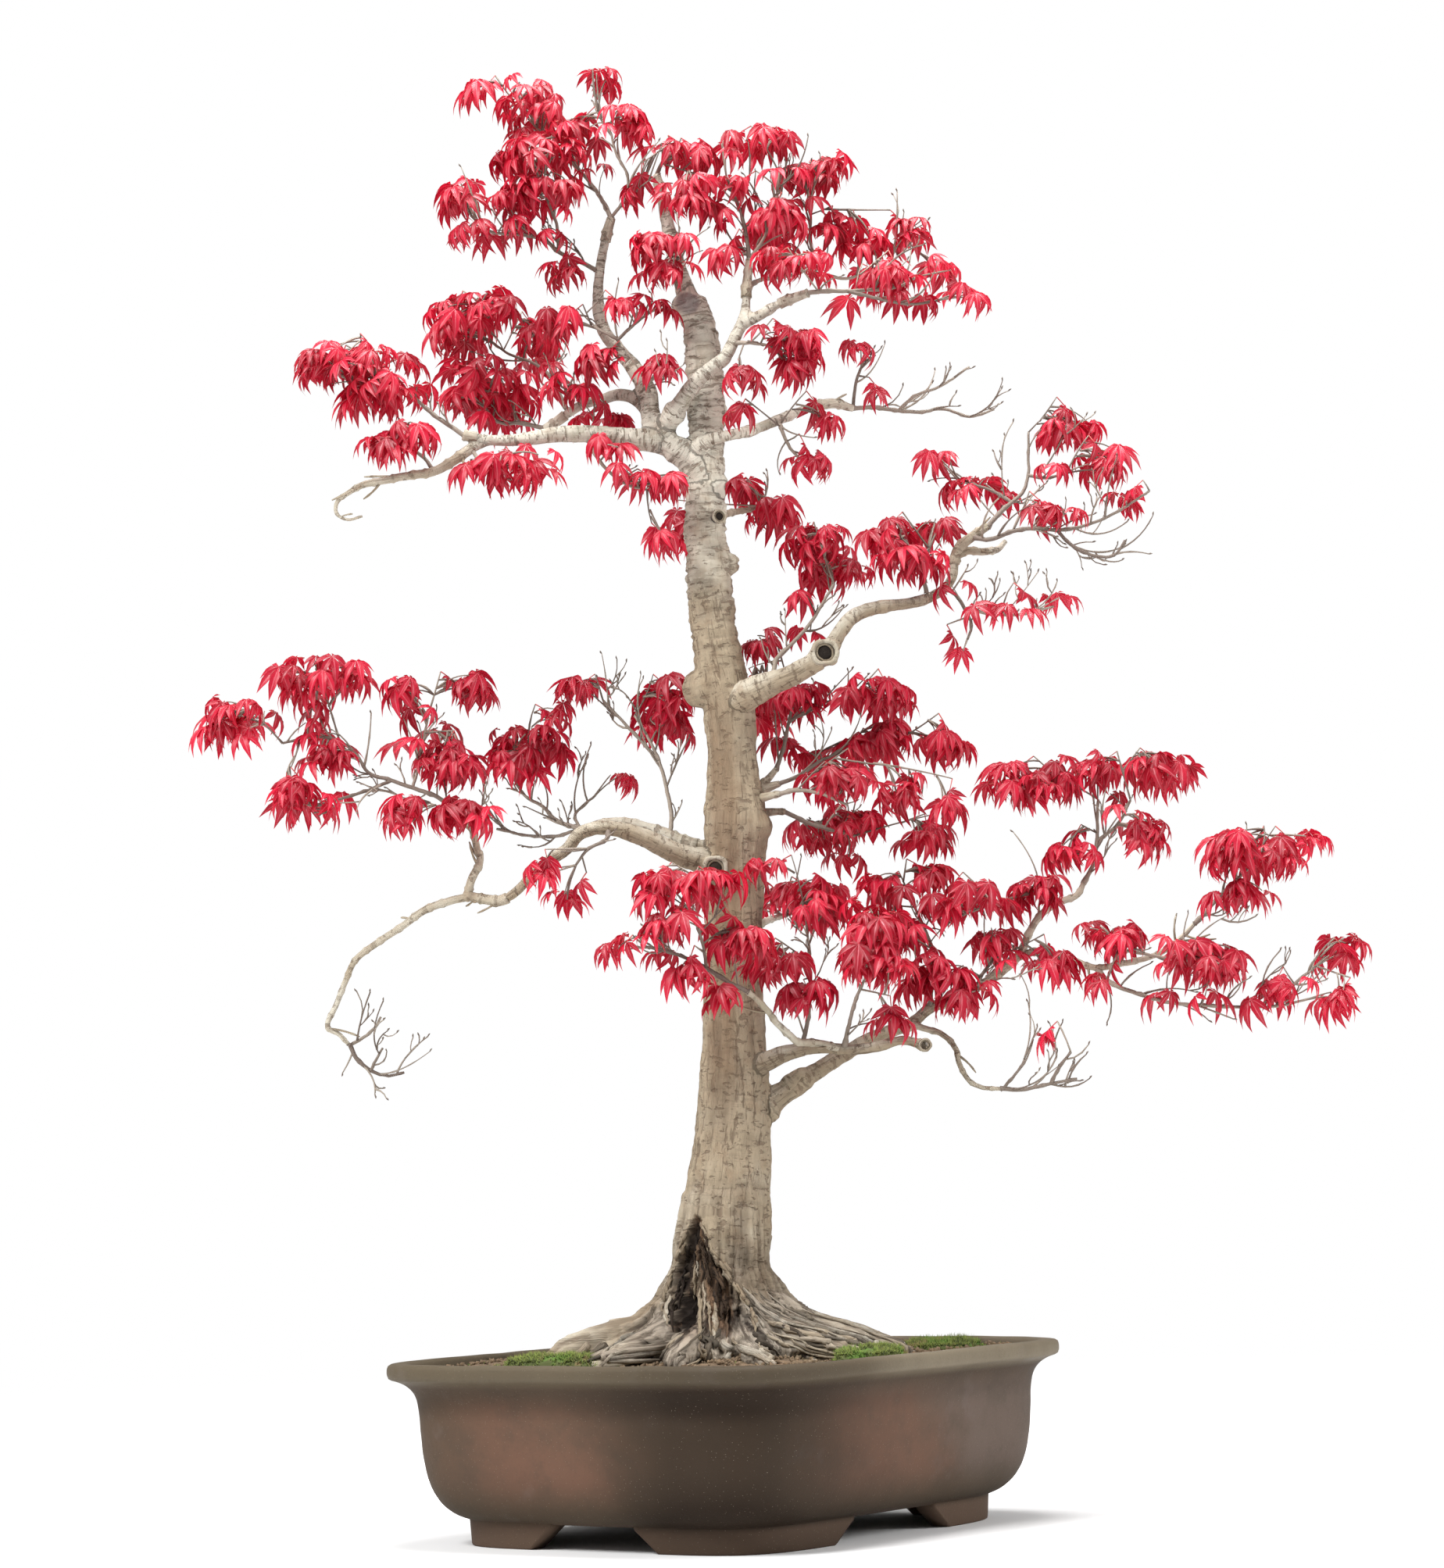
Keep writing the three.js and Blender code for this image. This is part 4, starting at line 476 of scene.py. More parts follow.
        (271, -22, 388, 26, 26, 15, 2), (336, -40, 369, 38, 30, 15, 2), (264, -34, 358, 12, 12, 9, 1),
    )),
    "right_tail_low": SprayPlan("right_tail", 4, (
        (0, (270, -20, 356), (288, -28, 348), (306, -34, 342), (330, -38, 339), (356, -42, 337),
         (378, -44, 337), (400, -44, 341)),
        (6, (392, -36, 352), (408, -32, 364)),
    ), (
        (418, -44, 341, 12, 14, 13, 1), (378, -46, 347, 15, 16, 10, 1), (426, -30, 371, 17, 16, 13, 1),
    )),
}

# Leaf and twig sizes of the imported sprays, which the fine leaves keep
LEAF_LENGTH = 28.0
LOBE_ANGLES = (-82.0, -42.0, 0.0, 42.0, 82.0)
LOBE_LENGTHS = (0.6, 0.88, 1.0, 0.88, 0.6)
LEAF_DROOP = 0.34
STEM_RADIUS = 1.7
TWIG_RADIUS = 0.85
PETIOLE_RADIUS = 0.6
BUD_SPACING = 6.0
TRIES = 900

POT_HALF = (203.0, 173.0)
POT_SQUARENESS = 5.9


# Numbers and curves


class SeededDraw:
    """A small generator of numbers from 0 to 1 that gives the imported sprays' own sequence."""

    def __init__(self, seed: int) -> None:
        """Starts the sequence.

        Args:
            seed: whole number that fixes the sequence.
        """
        self.state = seed & 0xFFFFFFFF

    def __call__(self) -> float:
        """Returns:
            The next number, from 0 up to 1.
        """
        mask = 0xFFFFFFFF
        self.state = (self.state + 0x6D2B79F5) & mask
        mixed = ((self.state ^ (self.state >> 15)) * (self.state | 1)) & mask
        mixed ^= (mixed + ((mixed ^ (mixed >> 7)) * (mixed | 61)) & mask) & mask
        return ((mixed ^ (mixed >> 14)) & mask) / 4294967296


def lattice_noise(points: Array, seed: int = 0) -> Array:
    """Smooth noise over space.

    Args:
        points: (n, 3) places, one lattice cell per unit.
        seed: picks one of many noise fields.

    Returns:
        (n,) values from about -1 to 1.
    """
    base = np.floor(points).astype(np.int64)
    part = points - base
    fade = part * part * part * (part * (part * 6 - 15) + 10)
    total = np.zeros(len(points))
    for corner in range(8):
        offset = np.array([corner & 1, (corner >> 1) & 1, (corner >> 2) & 1])
        cell = base + offset
        key = (cell[:, 0] * 73856093 ^ cell[:, 1] * 19349663 ^ cell[:, 2] * 83492791 ^ seed * 2654435761)
        key = (key ^ (key >> 13)) * 1274126177 & 0xFFFFFFFF
        key = (key ^ (key >> 16)) & 0xFFFF
        weight = np.where(offset, fade, 1 - fade).prod(axis=1)
        total += weight * (key / 32767.5 - 1)
    return total


def layered_noise(points: Array, seed: int = 0, layers: int = 3) -> Array:
    """Several octaves of lattice_noise added up.

    Args:
        points: (n, 3) places.
        seed: picks one of many noise fields.
        layers: how many octaves, each twice as fine and half as strong.

    Returns:
        (n,) values from about -1 to 1.
    """
    total = sum(lattice_noise(points * 2**k, seed + 17 * k) / 2**k for k in range(layers))
    return total / sum(0.5**k for k in range(layers))


def ramp(values: Array, low: float, high: float) -> Array:
    """Smooth step from 0 at low to 1 at high.

    Args:
        values: any array.
        low: where the step starts.
        high: where the step ends; it may be below low.

    Returns:
        Array of the same shape, from 0 to 1.
    """
    t = np.clip((values - low) / (high - low), 0, 1)
    return t * t * (3 - 2 * t)


def unit(v: Array) -> Array:
    """Args:
        v: (..., 3) vectors.

    Returns:
        The same vectors with length 1.
    """
    return v / np.maximum(np.linalg.norm(v, axis=-1, keepdims=True), 1e-9)


def smooth_route(bends: Sequence[Sequence[float]], step: float) -> Array:
    """A smooth course through bends.

    Args:
        bends: (n, k) points, with any further numbers such as a radius.
        step: spacing of the course's points in mm.

    Returns:
        (m, k) points along a curve through every bend.
    """
    p = np.asarray(bends, float)
    if len(p) < 2:
        return p
    padded = np.vstack([2 * p[0] - p[1], p, 2 * p[-1] - p[-2]])
    out = []
    for i in range(1, len(padded) - 2):
        a, b, c, d = padded[i - 1 : i + 3]
        length = np.linalg.norm((c - b)[:3])
        count = max(1, int(round(length / step)))
        ab, cd = max(np.linalg.norm((b - a)[:3]), 1e-6), max(np.linalg.norm((d - c)[:3]), 1e-6)
        mb = ((c - b) / max(length, 1e-6) + (b - a) / ab) / 2 * length
        mc = ((d - c) / cd + (c - b) / max(length, 1e-6)) / 2 * length
        t = np.linspace(0, 1, count, endpoint=False)[:, None]
        out.append(
            (2 * t**3 - 3 * t**2 + 1) * b + (t**3 - 2 * t**2 + t) * mb
            + (3 * t**2 - 2 * t**3) * c + (t**3 - t**2) * mc
        )
    out.append(p[-1:])
    return np.vstack(out)


def run_along(points: Array) -> Array:
    """Args:
        points: (n, 3) places along a route.

    Returns:
        (n,) length of the route up to each place.
    """
    return np.concatenate([[0], np.cumsum(np.linalg.norm(np.diff(points, axis=0), axis=1))])


def route_frames(points: Array) -> tuple[Array, Array, Array]:
    """Directions along a route and two sides of it that don't twist.

    Args:
        points: (n, 3) places along the route.

    Returns:
        (along, side, across), each (n, 3).
    """
    along = unit(np.gradient(points, axis=0))
    side = np.zeros_like(along)
    current = unit(np.cross(np.array([0.31, 0.22, 0.93]), along[0]))
    for i, direction in enumerate(along):
        current = unit(current - direction * (current @ direction))
        side[i] = current
    return along, side, np.cross(along, side)


@dataclass
class Shape:
    """Raw geometry in millimetres: places, polygons, their material numbers and point attributes."""

    verts: list[Array] = field(default_factory=list)
    faces: list[Array] = field(default_factory=list)
    mats: list[Array] = field(default_factory=list)
    attrs: dict[str, list[Array]] = field(default_factory=dict)
    count: int = 0

    def add(self, verts: Array, faces: Array, mat: int = 0, **attrs: Array | float | Sequence[float]) -> None:
        """Adds one lump of geometry.

        Args:
            verts: (n, 3) places.
            faces: (m, 3) or (m, 4) corner numbers, counted in this lump.
            mat: material number of the lump.
            **attrs: point attributes, one value for all or one for each point.
        """
        n = len(verts)
        self.verts.append(np.asarray(verts, float))
        faces = np.asarray(faces, np.int64)
        if faces.shape[1] == 3:
            faces = np.hstack([faces, np.full((len(faces), 1), -1 - self.count)])
        self.faces.append(faces + self.count)
        self.mats.append(np.full(len(faces), mat))
        for name, value in attrs.items():
            value = np.asarray(value, float)
            width = value.shape[-1:] if value.ndim and value.shape[-1] == 3 and n != 3 else ()
            full = np.broadcast_to(value, (n, *width)) if value.ndim < 1 + len(width) else value
            past = self.attrs.setdefault(name, [np.zeros((self.count, *width))] if self.count else [])
            have = sum(len(part) for part in past)
            if have < self.count:
                past.append(np.zeros((self.count - have, *width)))
            past.append(full)
        self.count += n

    def tube(self, route: Array, radii: Array, sides: int, mat: int = 0, **attrs: float) -> None:
        """Adds a closed round bar.

        Args:
            route: (n, 3) places along its middle.
            radii: (n,) radius at each place.
            sides: sides of its section.
            mat: material number.
            **attrs: point attributes, one value for the whole bar or one for each place.
        """
        _, side, across = route_frames(route)
        turn = np.linspace(0, 2 * np.pi, sides, endpoint=False)
        ring = np.cos(turn)[None, :, None] * side[:, None] + np.sin(turn)[None, :, None] * across[:, None]
        verts = (route[:, None] + ring * np.asarray(radii)[:, None, None]).reshape(-1, 3)
        rows, cols = np.meshgrid(np.arange(len(route) - 1), np.arange(sides), indexing="ij")
        a, b = rows * sides + cols, rows * sides + (cols + 1) % sides
        quads = np.stack([a, b, b + sides, a + sides], -1).reshape(-1, 4)
        tip = len(verts)
        verts = np.vstack([verts, route[:1], route[-1:]])
        first = np.arange(sides)
        last = first + tip - sides
        low = np.stack([np.roll(first, -1), first, np.full(sides, tip)], -1)
        high = np.stack([last, np.roll(last, -1), np.full(sides, tip + 1)], -1)
        no_corner = np.full((2 * sides, 1), -1 - self.count)
        faces = np.vstack([quads, np.hstack([np.vstack([low, high]), no_corner])])
        spread = {}
        for name, value in attrs.items():
            value = np.asarray(value, float)
            if value.ndim:
                value = np.concatenate([np.repeat(value, sides), value[:1], value[-1:]])
            spread[name] = value
        self.add(verts, faces, mat, **spread)

    def close_ends(self, rows: int, around: int, middles: Sequence[Sequence[float]], **attrs: float) -> None:
        """Closes the first and the last of the rings that were added last with a fan each.

        Args:
            rows: how many rings there are, from the lowest up.
            around: points in a ring, which turn left.
            middles: tips of the lower and the upper fan.
            **attrs: point attributes of the tips.
        """
        start = self.count - rows * around
        ring = np.arange(around)
        for row, middle, way in ((0, middles[0], -1), (rows - 1, middles[1], 1)):
            edges = np.stack([ring, np.roll(ring, -1)], -1)[:, ::way] + start + row * around
            self.faces.append(np.hstack([edges, np.full((around, 1), self.count), np.full((around, 1), -1)]))
            self.mats.append(np.zeros(around, int))
            self.verts.append(np.array([middle], float))
            for name, value in attrs.items():
                self.attrs[name].append(np.array([value]))
            self.count += 1

    def mesh(
        self, name: str, place: Callable[[Array], Array], materials: Sequence[bpy.types.Material],
    ) -> bpy.types.Object:
        """Makes a Blender object of the geometry.

        Args:
            name: the object's name.
            place: maps millimetres in the piece's frame to metres in the row's frame.
            materials: one for each material number.

        Returns:
            The new object, smooth shaded.
        """
        verts = place(np.vstack(self.verts))
        faces = np.vstack(self.faces)
        sizes = np.where(faces[:, 3] < 0, 3, 4)
        loops = faces.reshape(-1)[(faces >= 0).reshape(-1)]
        data = bpy.data.meshes.new(name)
        data.vertices.add(len(verts))
        data.vertices.foreach_set("co", verts.astype(np.float32).ravel())
        data.loops.add(len(loops))
        data.loops.foreach_set("vertex_index", loops.astype(np.int32))
        data.polygons.add(len(faces))
        data.polygons.foreach_set("loop_start", (np.cumsum(sizes) - sizes).astype(np.int32))
        data.polygons.foreach_set("material_index", np.concatenate(self.mats).astype(np.int32))
        data.update(calc_edges=True)
        data.polygons.foreach_set("use_smooth", np.ones(len(faces), bool))
        for key, parts in self.attrs.items():
            values = np.concatenate(parts)
            if len(values) < len(verts):
                values = np.concatenate([values, np.zeros((len(verts) - len(values), *values.shape[1:]))])
            set_attribute(data, key, values)
        for material in materials:
            data.materials.append(material)
        thing = bpy.data.objects.new(name, data)
        bpy.context.scene.collection.objects.link(thing)
        return thing


def set_attribute(data: bpy.types.Mesh, name: str, values: Array) -> None:
    """Stores one value or vector for each point of a mesh.

    Args:
        data: the mesh.
        name: the attribute's name.
        values: (n,) numbers or (n, 3) vectors.
    """
    kind, key = ("FLOAT_VECTOR", "vector") if values.ndim == 2 else ("FLOAT", "value")
    layer = data.attributes.new(name, kind, "POINT")
    layer.data.foreach_set(key, values.astype(np.float32).ravel())


# Shaders


class Socket:
    """One output of a shader tree, with plain operators for maths on it."""

    def __init__(self, shader: "Shader", socket: bpy.types.NodeSocket) -> None:
        """Args:
            shader: the tree that the socket is in.
            socket: the output.
        """
        self.shader, self.socket = shader, socket

    def maths(self, operation: str, *others: "Socket | float") -> "Socket":
        """Args:
            operation: name of a Math node's operation.
            *others: further inputs.

        Returns:
            The node's result.
        """
        return self.shader.node("ShaderNodeMath", "Value", [self, *others], operation=operation)

    def __add__(self, other: "Socket | float") -> "Socket":
        """Sum."""
        return self.maths("ADD", other)

    def __sub__(self, other: "Socket | float") -> "Socket":
        """Difference."""
        return self.maths("SUBTRACT", other)

    def __rsub__(self, other: float) -> "Socket":
        """Difference from a number."""
        return self.shader.number(other).maths("SUBTRACT", self)

    def __mul__(self, other: "Socket | float") -> "Socket":
        """Product."""
        return self.maths("MULTIPLY", other)

    def __truediv__(self, other: "Socket | float") -> "Socket":
        """Quotient."""
        return self.maths("DIVIDE", other)

    def __pow__(self, other: float) -> "Socket":
        """Power."""
        return self.maths("POWER", other)

    def __abs__(self) -> "Socket":
        """Absolute value."""
        return self.maths("ABSOLUTE")

    __radd__ = __add__
    __rmul__ = __mul__

    def step(self, low: float, high: float) -> "Socket":
        """Args:
            low: value that gives 0.
            high: value that gives 1; it may be below low.

        Returns:
            A smooth step of this number.
        """
        if low > high:
            return 1.0 - self.step(high, low)
        return self.shader.node(
            "ShaderNodeMapRange", "Result", {"Value": self, "From Min": low, "From Max": high},
            interpolation_type="SMOOTHSTEP",
        )

    def stretched(self, x: float, y: float, z: float) -> "Socket":
        """Args:
            x: scale along X.
            y: scale along Y.
            z: scale along Z.

        Returns:
            This vector times the three scales.
        """
        return self.shader.node("ShaderNodeVectorMath", "Vector", [self, (x, y, z)], operation="MULTIPLY")

    def moved(self, other: "Socket") -> "Socket":
        """Args:
            other: another vector.

        Returns:
            The sum of both vectors.
        """
        return self.shader.node("ShaderNodeVectorMath", "Vector", [self, other], operation="ADD")


Colour = tuple[float, float, float]


class Shader:
    """Builds one procedural material."""

    def __init__(self, name: str) -> None:
        """Args:
            name: the material's name.
        """
        self.material = bpy.data.materials.new(name)
        self.material.use_nodes = True
        self.tree = self.material.node_tree
        self.tree.nodes.clear()

    def node(self, kind: str, output: str, inputs: dict | list, **settings: object) -> Socket:
        """Adds any node.

        Args:
            kind: the node's type.
            output: name of the output to return.
            inputs: values or sockets, by name or in order.
            **settings: properties of the node.

        Returns:
            The named output.
        """
        made = self.tree.nodes.new(kind)
        for key, value in settings.items():
            setattr(made, key, value)
        pairs = inputs.items() if isinstance(inputs, dict) else enumerate(inputs)
        for key, value in pairs:
            if isinstance(value, Socket):
                self.tree.links.new(value.socket, made.inputs[key])
            elif isinstance(value, tuple) and made.inputs[key].type == "RGBA":
                made.inputs[key].default_value = (*value, 1.0)
            else:
                made.inputs[key].default_value = value
        return Socket(self, made.outputs[output])

    def number(self, value: float) -> Socket:
        """Args:
            value: a constant.

        Returns:
            It as a socket.
        """
        made = self.node("ShaderNodeValue", "Value", {})
        made.socket.default_value = value
        return made

    def attribute(self, name: str, output: str = "Fac") -> Socket:
        """Args:
            name: a point attribute of the mesh.
            output: Fac for a number or Vector for a vector.

        Returns:
            The attribute.
        """
        return self.node("ShaderNodeAttribute", output, {}, attribute_name=name)

    def place(self) -> Socket:
        """Returns:
            The point's place in the object, in metres.
        """
        return self.node("ShaderNodeTexCoord", "Object", {})

    def noise(
        self, where: Socket, scale: float, detail: float = 3.0, rough: float = 0.55, warp: float = 0.0,
    ) -> Socket:
        """Args:
            where: coordinates.
            scale: cells per unit.
            detail: octaves.
            rough: strength of the fine octaves.
            warp: how far the pattern is twisted.

        Returns:
            Noise from 0 to 1.
        """
        inputs = {"Vector": where, "Scale": scale, "Detail": detail, "Roughness": rough, "Distortion": warp}
        return self.node("ShaderNodeTexNoise", "Fac", inputs)

    def cells(self, where: Socket, scale: float, feature: str = "F1") -> Socket:
        """Args:
            where: coordinates.
            scale: cells per unit.
            feature: F1 for the distance to a cell's middle, DISTANCE_TO_EDGE for that to its edge.

        Returns:
            The distance.
        """
        inputs = {"Vector": where, "Scale": scale}
        return self.node("ShaderNodeTexVoronoi", "Distance", inputs, feature=feature)

    def mix(
        self, share: "Socket | float", a: "Socket | Colour", b: "Socket | Colour", how: str = "MIX",
    ) -> Socket:
        """Args:
            share: how much of b.
            a: first colour.
            b: second colour.
            how: blending mode.

        Returns:
            The mixed colour.
        """
        made = self.tree.nodes.new("ShaderNodeMix")
        made.data_type, made.blend_type = "RGBA", how
        for key, value in ((0, share), (6, a), (7, b)):
            if isinstance(value, Socket):
                self.tree.links.new(value.socket, made.inputs[key])
            else:
                made.inputs[key].default_value = value if key == 0 else (*value, 1.0)
        return Socket(self, made.outputs[2])

    def bump(self, height: Socket, distance: float, strength: float = 1.0) -> Socket:
        """Args:
            height: relief from 0 to 1.
            distance: depth of the relief in metres.
            strength: share of the relief.

        Returns:
            The bumped normal.
        """
        inputs = {"Height": height, "Distance": distance, "Strength": strength}
        return self.node("ShaderNodeBump", "Normal", inputs)

    def finish(
        self, glow: Colour | None = None, share: float = 0.0, **inputs: "Socket | float | Colour",
    ) -> bpy.types.Material:
        """Closes the tree with a Principled shader, mixed with light through the sheet if glow is given.

        Args:
            glow: colour of light that comes through a leaf.
            share: share of that light.
            **inputs: the Principled shader's inputs, with _ for a space.

        Returns:
            The material.
        """
        named = {key.replace("_", " "): value for key, value in inputs.items()}
        surface = self.node("ShaderNodeBsdfPrincipled", "BSDF", named)
        if glow is not None:
            through = self.node("ShaderNodeBsdfTranslucent", "BSDF", {"Color": glow})
            surface = self.node("ShaderNodeMixShader", "Shader", [share, surface, through])
        end = self.tree.nodes.new("ShaderNodeOutputMaterial")
        self.tree.links.new(surface.socket, end.inputs["Surface"])
        return self.material


# Frames


class Placer:
    """Maps millimetres about the pot's middle, or in the tree's own frame, to the row's metres."""

    def __init__(self) -> None:
        """Reads the pot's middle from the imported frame."""
        low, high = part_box("pot")
        self.middle = np.array([(low.x + high.x) / 2, (low.y + high.y) / 2, 0.0]) / MM
        self.lift = np.array([0, 0, TREE_LIFT])
        cos, sin = math.cos(TREE_TURN), math.sin(TREE_TURN)
        self.turn = np.array([[cos, -sin, 0], [sin, cos, 0], [0, 0, 1.0]])

    def pot(self, points: Array) -> Array:
        """Pot millimetres to metres."""
        return (points + self.middle) * MM

    def tree(self, points: Array) -> Array:
        """Tree millimetres to metres."""
        return self.pot(points @ self.turn.T + self.lift)

    def back(self, points: Array) -> Array:
        """Metres to tree millimetres."""
        return (points / MM - self.middle - self.lift) @ self.turn


# Foliage


@dataclass
class Leaf:
    """One leaf: where its petiole ends, how it hangs and how open it is."""

    at: Array
    azimuth: float
    size: float
    dip: float
    roll: float
    spread: float
    fold: float = 0.25
    bend: float = 0.7
    shrink: float = 0.88
    tone: float = 0.5

    def axes(self) -> Array:
        """Returns:
            Rows along the middle lobe, across it and out of the upper face.
        """
        ca, sa, cd = math.cos(self.azimuth), math.sin(self.azimuth), math.cos(self.dip)
        along = np.array([ca * cd, sa * cd, -math.sin(self.dip)])
        flat = np.array([-sa, ca, 0.0])
        face = np.cross(along, flat)
        across = flat * math.cos(self.roll) + face * math.sin(self.roll)
        return np.array([along, across, np.cross(along, across)])

    def length(self) -> float:
        """Length of the middle lobe in mm."""
        return LEAF_LENGTH * self.size

    def middle(self) -> Array:
        """Place half way along the middle lobe."""
        return self.at + 0.5 * self.length() * self.axes()[0]

    def balls(self) -> tuple[Array, Array]:
        """Returns:
            Middles and radii of balls that fill the leaf.
        """
        angle = np.radians(np.repeat(LOBE_ANGLES, 3)) * self.spread
        share = np.tile([0.34, 0.67, 1.0], 5)
        reach = self.length() * np.repeat(LOBE_LENGTHS, 3) * share
        bow = LEAF_DROOP * reach**2 / self.length()
        flat = np.stack([reach * np.cos(angle), reach * np.sin(angle), -bow], -1)
        places = np.vstack([self.at, self.at + flat @ self.axes()])
        return places, np.concatenate([[2.1], np.tile([2.7, 1.9, 0.8], 5)])


@dataclass
class Twig:
    """A twig from a bud to the spot where its leaves hang."""

    route: Array
    radii: Array
    bare: bool = False


@dataclass
class Shoot:
    """A drawn leaf with the bud that it comes from and the bend of its twig."""

    bud: int
    start: Array
    elbow: Array
    leaf: Leaf


def bar_distance(points: Array, bars: Array) -> Array:
    """Args:
        points: (n, 3) places.
        bars: (m, 8) rows of both ends, radius and spray number.

    Returns:
        (n, m) distances from the points to the bars' middle lines.
    """
    a, ab = bars[:, :3], bars[:, 3:6] - bars[:, :3]
    rel = points[:, None] - a[None]
    t = np.clip((rel * ab).sum(-1) / np.maximum((ab * ab).sum(-1), 1e-9), 0, 1)
    gap = rel - t[..., None] * ab
    return np.sqrt((gap * gap).sum(-1))


class Crowd:
    """Twigs and leaves already grown, which new ones stay clear of."""

    def __init__(self) -> None:
        """Starts empty."""
        self.bars = np.zeros((0, 8))
        self.balls = np.zeros((0, 5))

    def add_bar(self, a: Array, b: Array, radius: float, spray: int) -> None:
        """Adds one straight bar between two points."""
        self.bars = np.vstack([self.bars, [[*a, *b, radius, spray]]])

    def add_leaf(self, leaf: Leaf, spray: int) -> None:
        """Adds the balls that fill a leaf."""
        places, radii = leaf.balls()
        rows = np.hstack([places, radii[:, None], np.full((len(radii), 1), spray)])
        self.balls = np.vstack([self.balls, rows])

    def near(self, middle: Array, reach: float) -> tuple[Array, Array]:
        """Masks of the bars and balls within reach of a point."""
        bars = bar_distance(middle[None], self.bars)[0] < reach
        balls = np.linalg.norm(self.balls[:, :3] - middle, axis=1) < reach
        return bars, balls


WOOD_BARS = np.array([
    [*a[:3], *b[:3], max(a[3], b[3]), -1]
    for bends in (TRUNK, *LIMBS.values()) for a, b in zip(bends, bends[1:])
])


@dataclass
class Spray:
    """One spray as it grows: its stems, the free buds on them, its twigs and its leaves."""

    name: str
    number: int
    plan: SprayPlan
    routes: list[Array]
    twigs: list[Twig] = field(default_factory=list)
    leaves: list[Leaf] = field(default_factory=list)
    petioles: list[Array] = field(default_factory=list)
    bud_at: list[Array] = field(default_factory=list)
    bud_along: list[Array] = field(default_factory=list)

    def __post_init__(self) -> None:
        """Sets buds along the stems."""
        for route in self.routes:
            for a, b in zip(route, route[1:]):
                length = float(np.linalg.norm(b - a))
                steps = max(1, int(math.floor(length / BUD_SPACING + 0.5)))
                for k in range(steps):
                    self.bud_at.append(a + (b - a) * (k + 1) / steps)
                    self.bud_along.append((b - a) / length)

    def nearest_bud(self, target: Array) -> int:
        """Args:
            target: where a twig has to go.

        Returns:
            Number of the bud that reaches it best.
        """
        reach = target - np.array(self.bud_at)
        distance = np.linalg.norm(reach, axis=1)
        turn = (reach * np.array(self.bud_along)).sum(1) / np.maximum(distance, 1e-6)
        return int(np.argmin(distance * (1.25 - 0.35 * turn)))


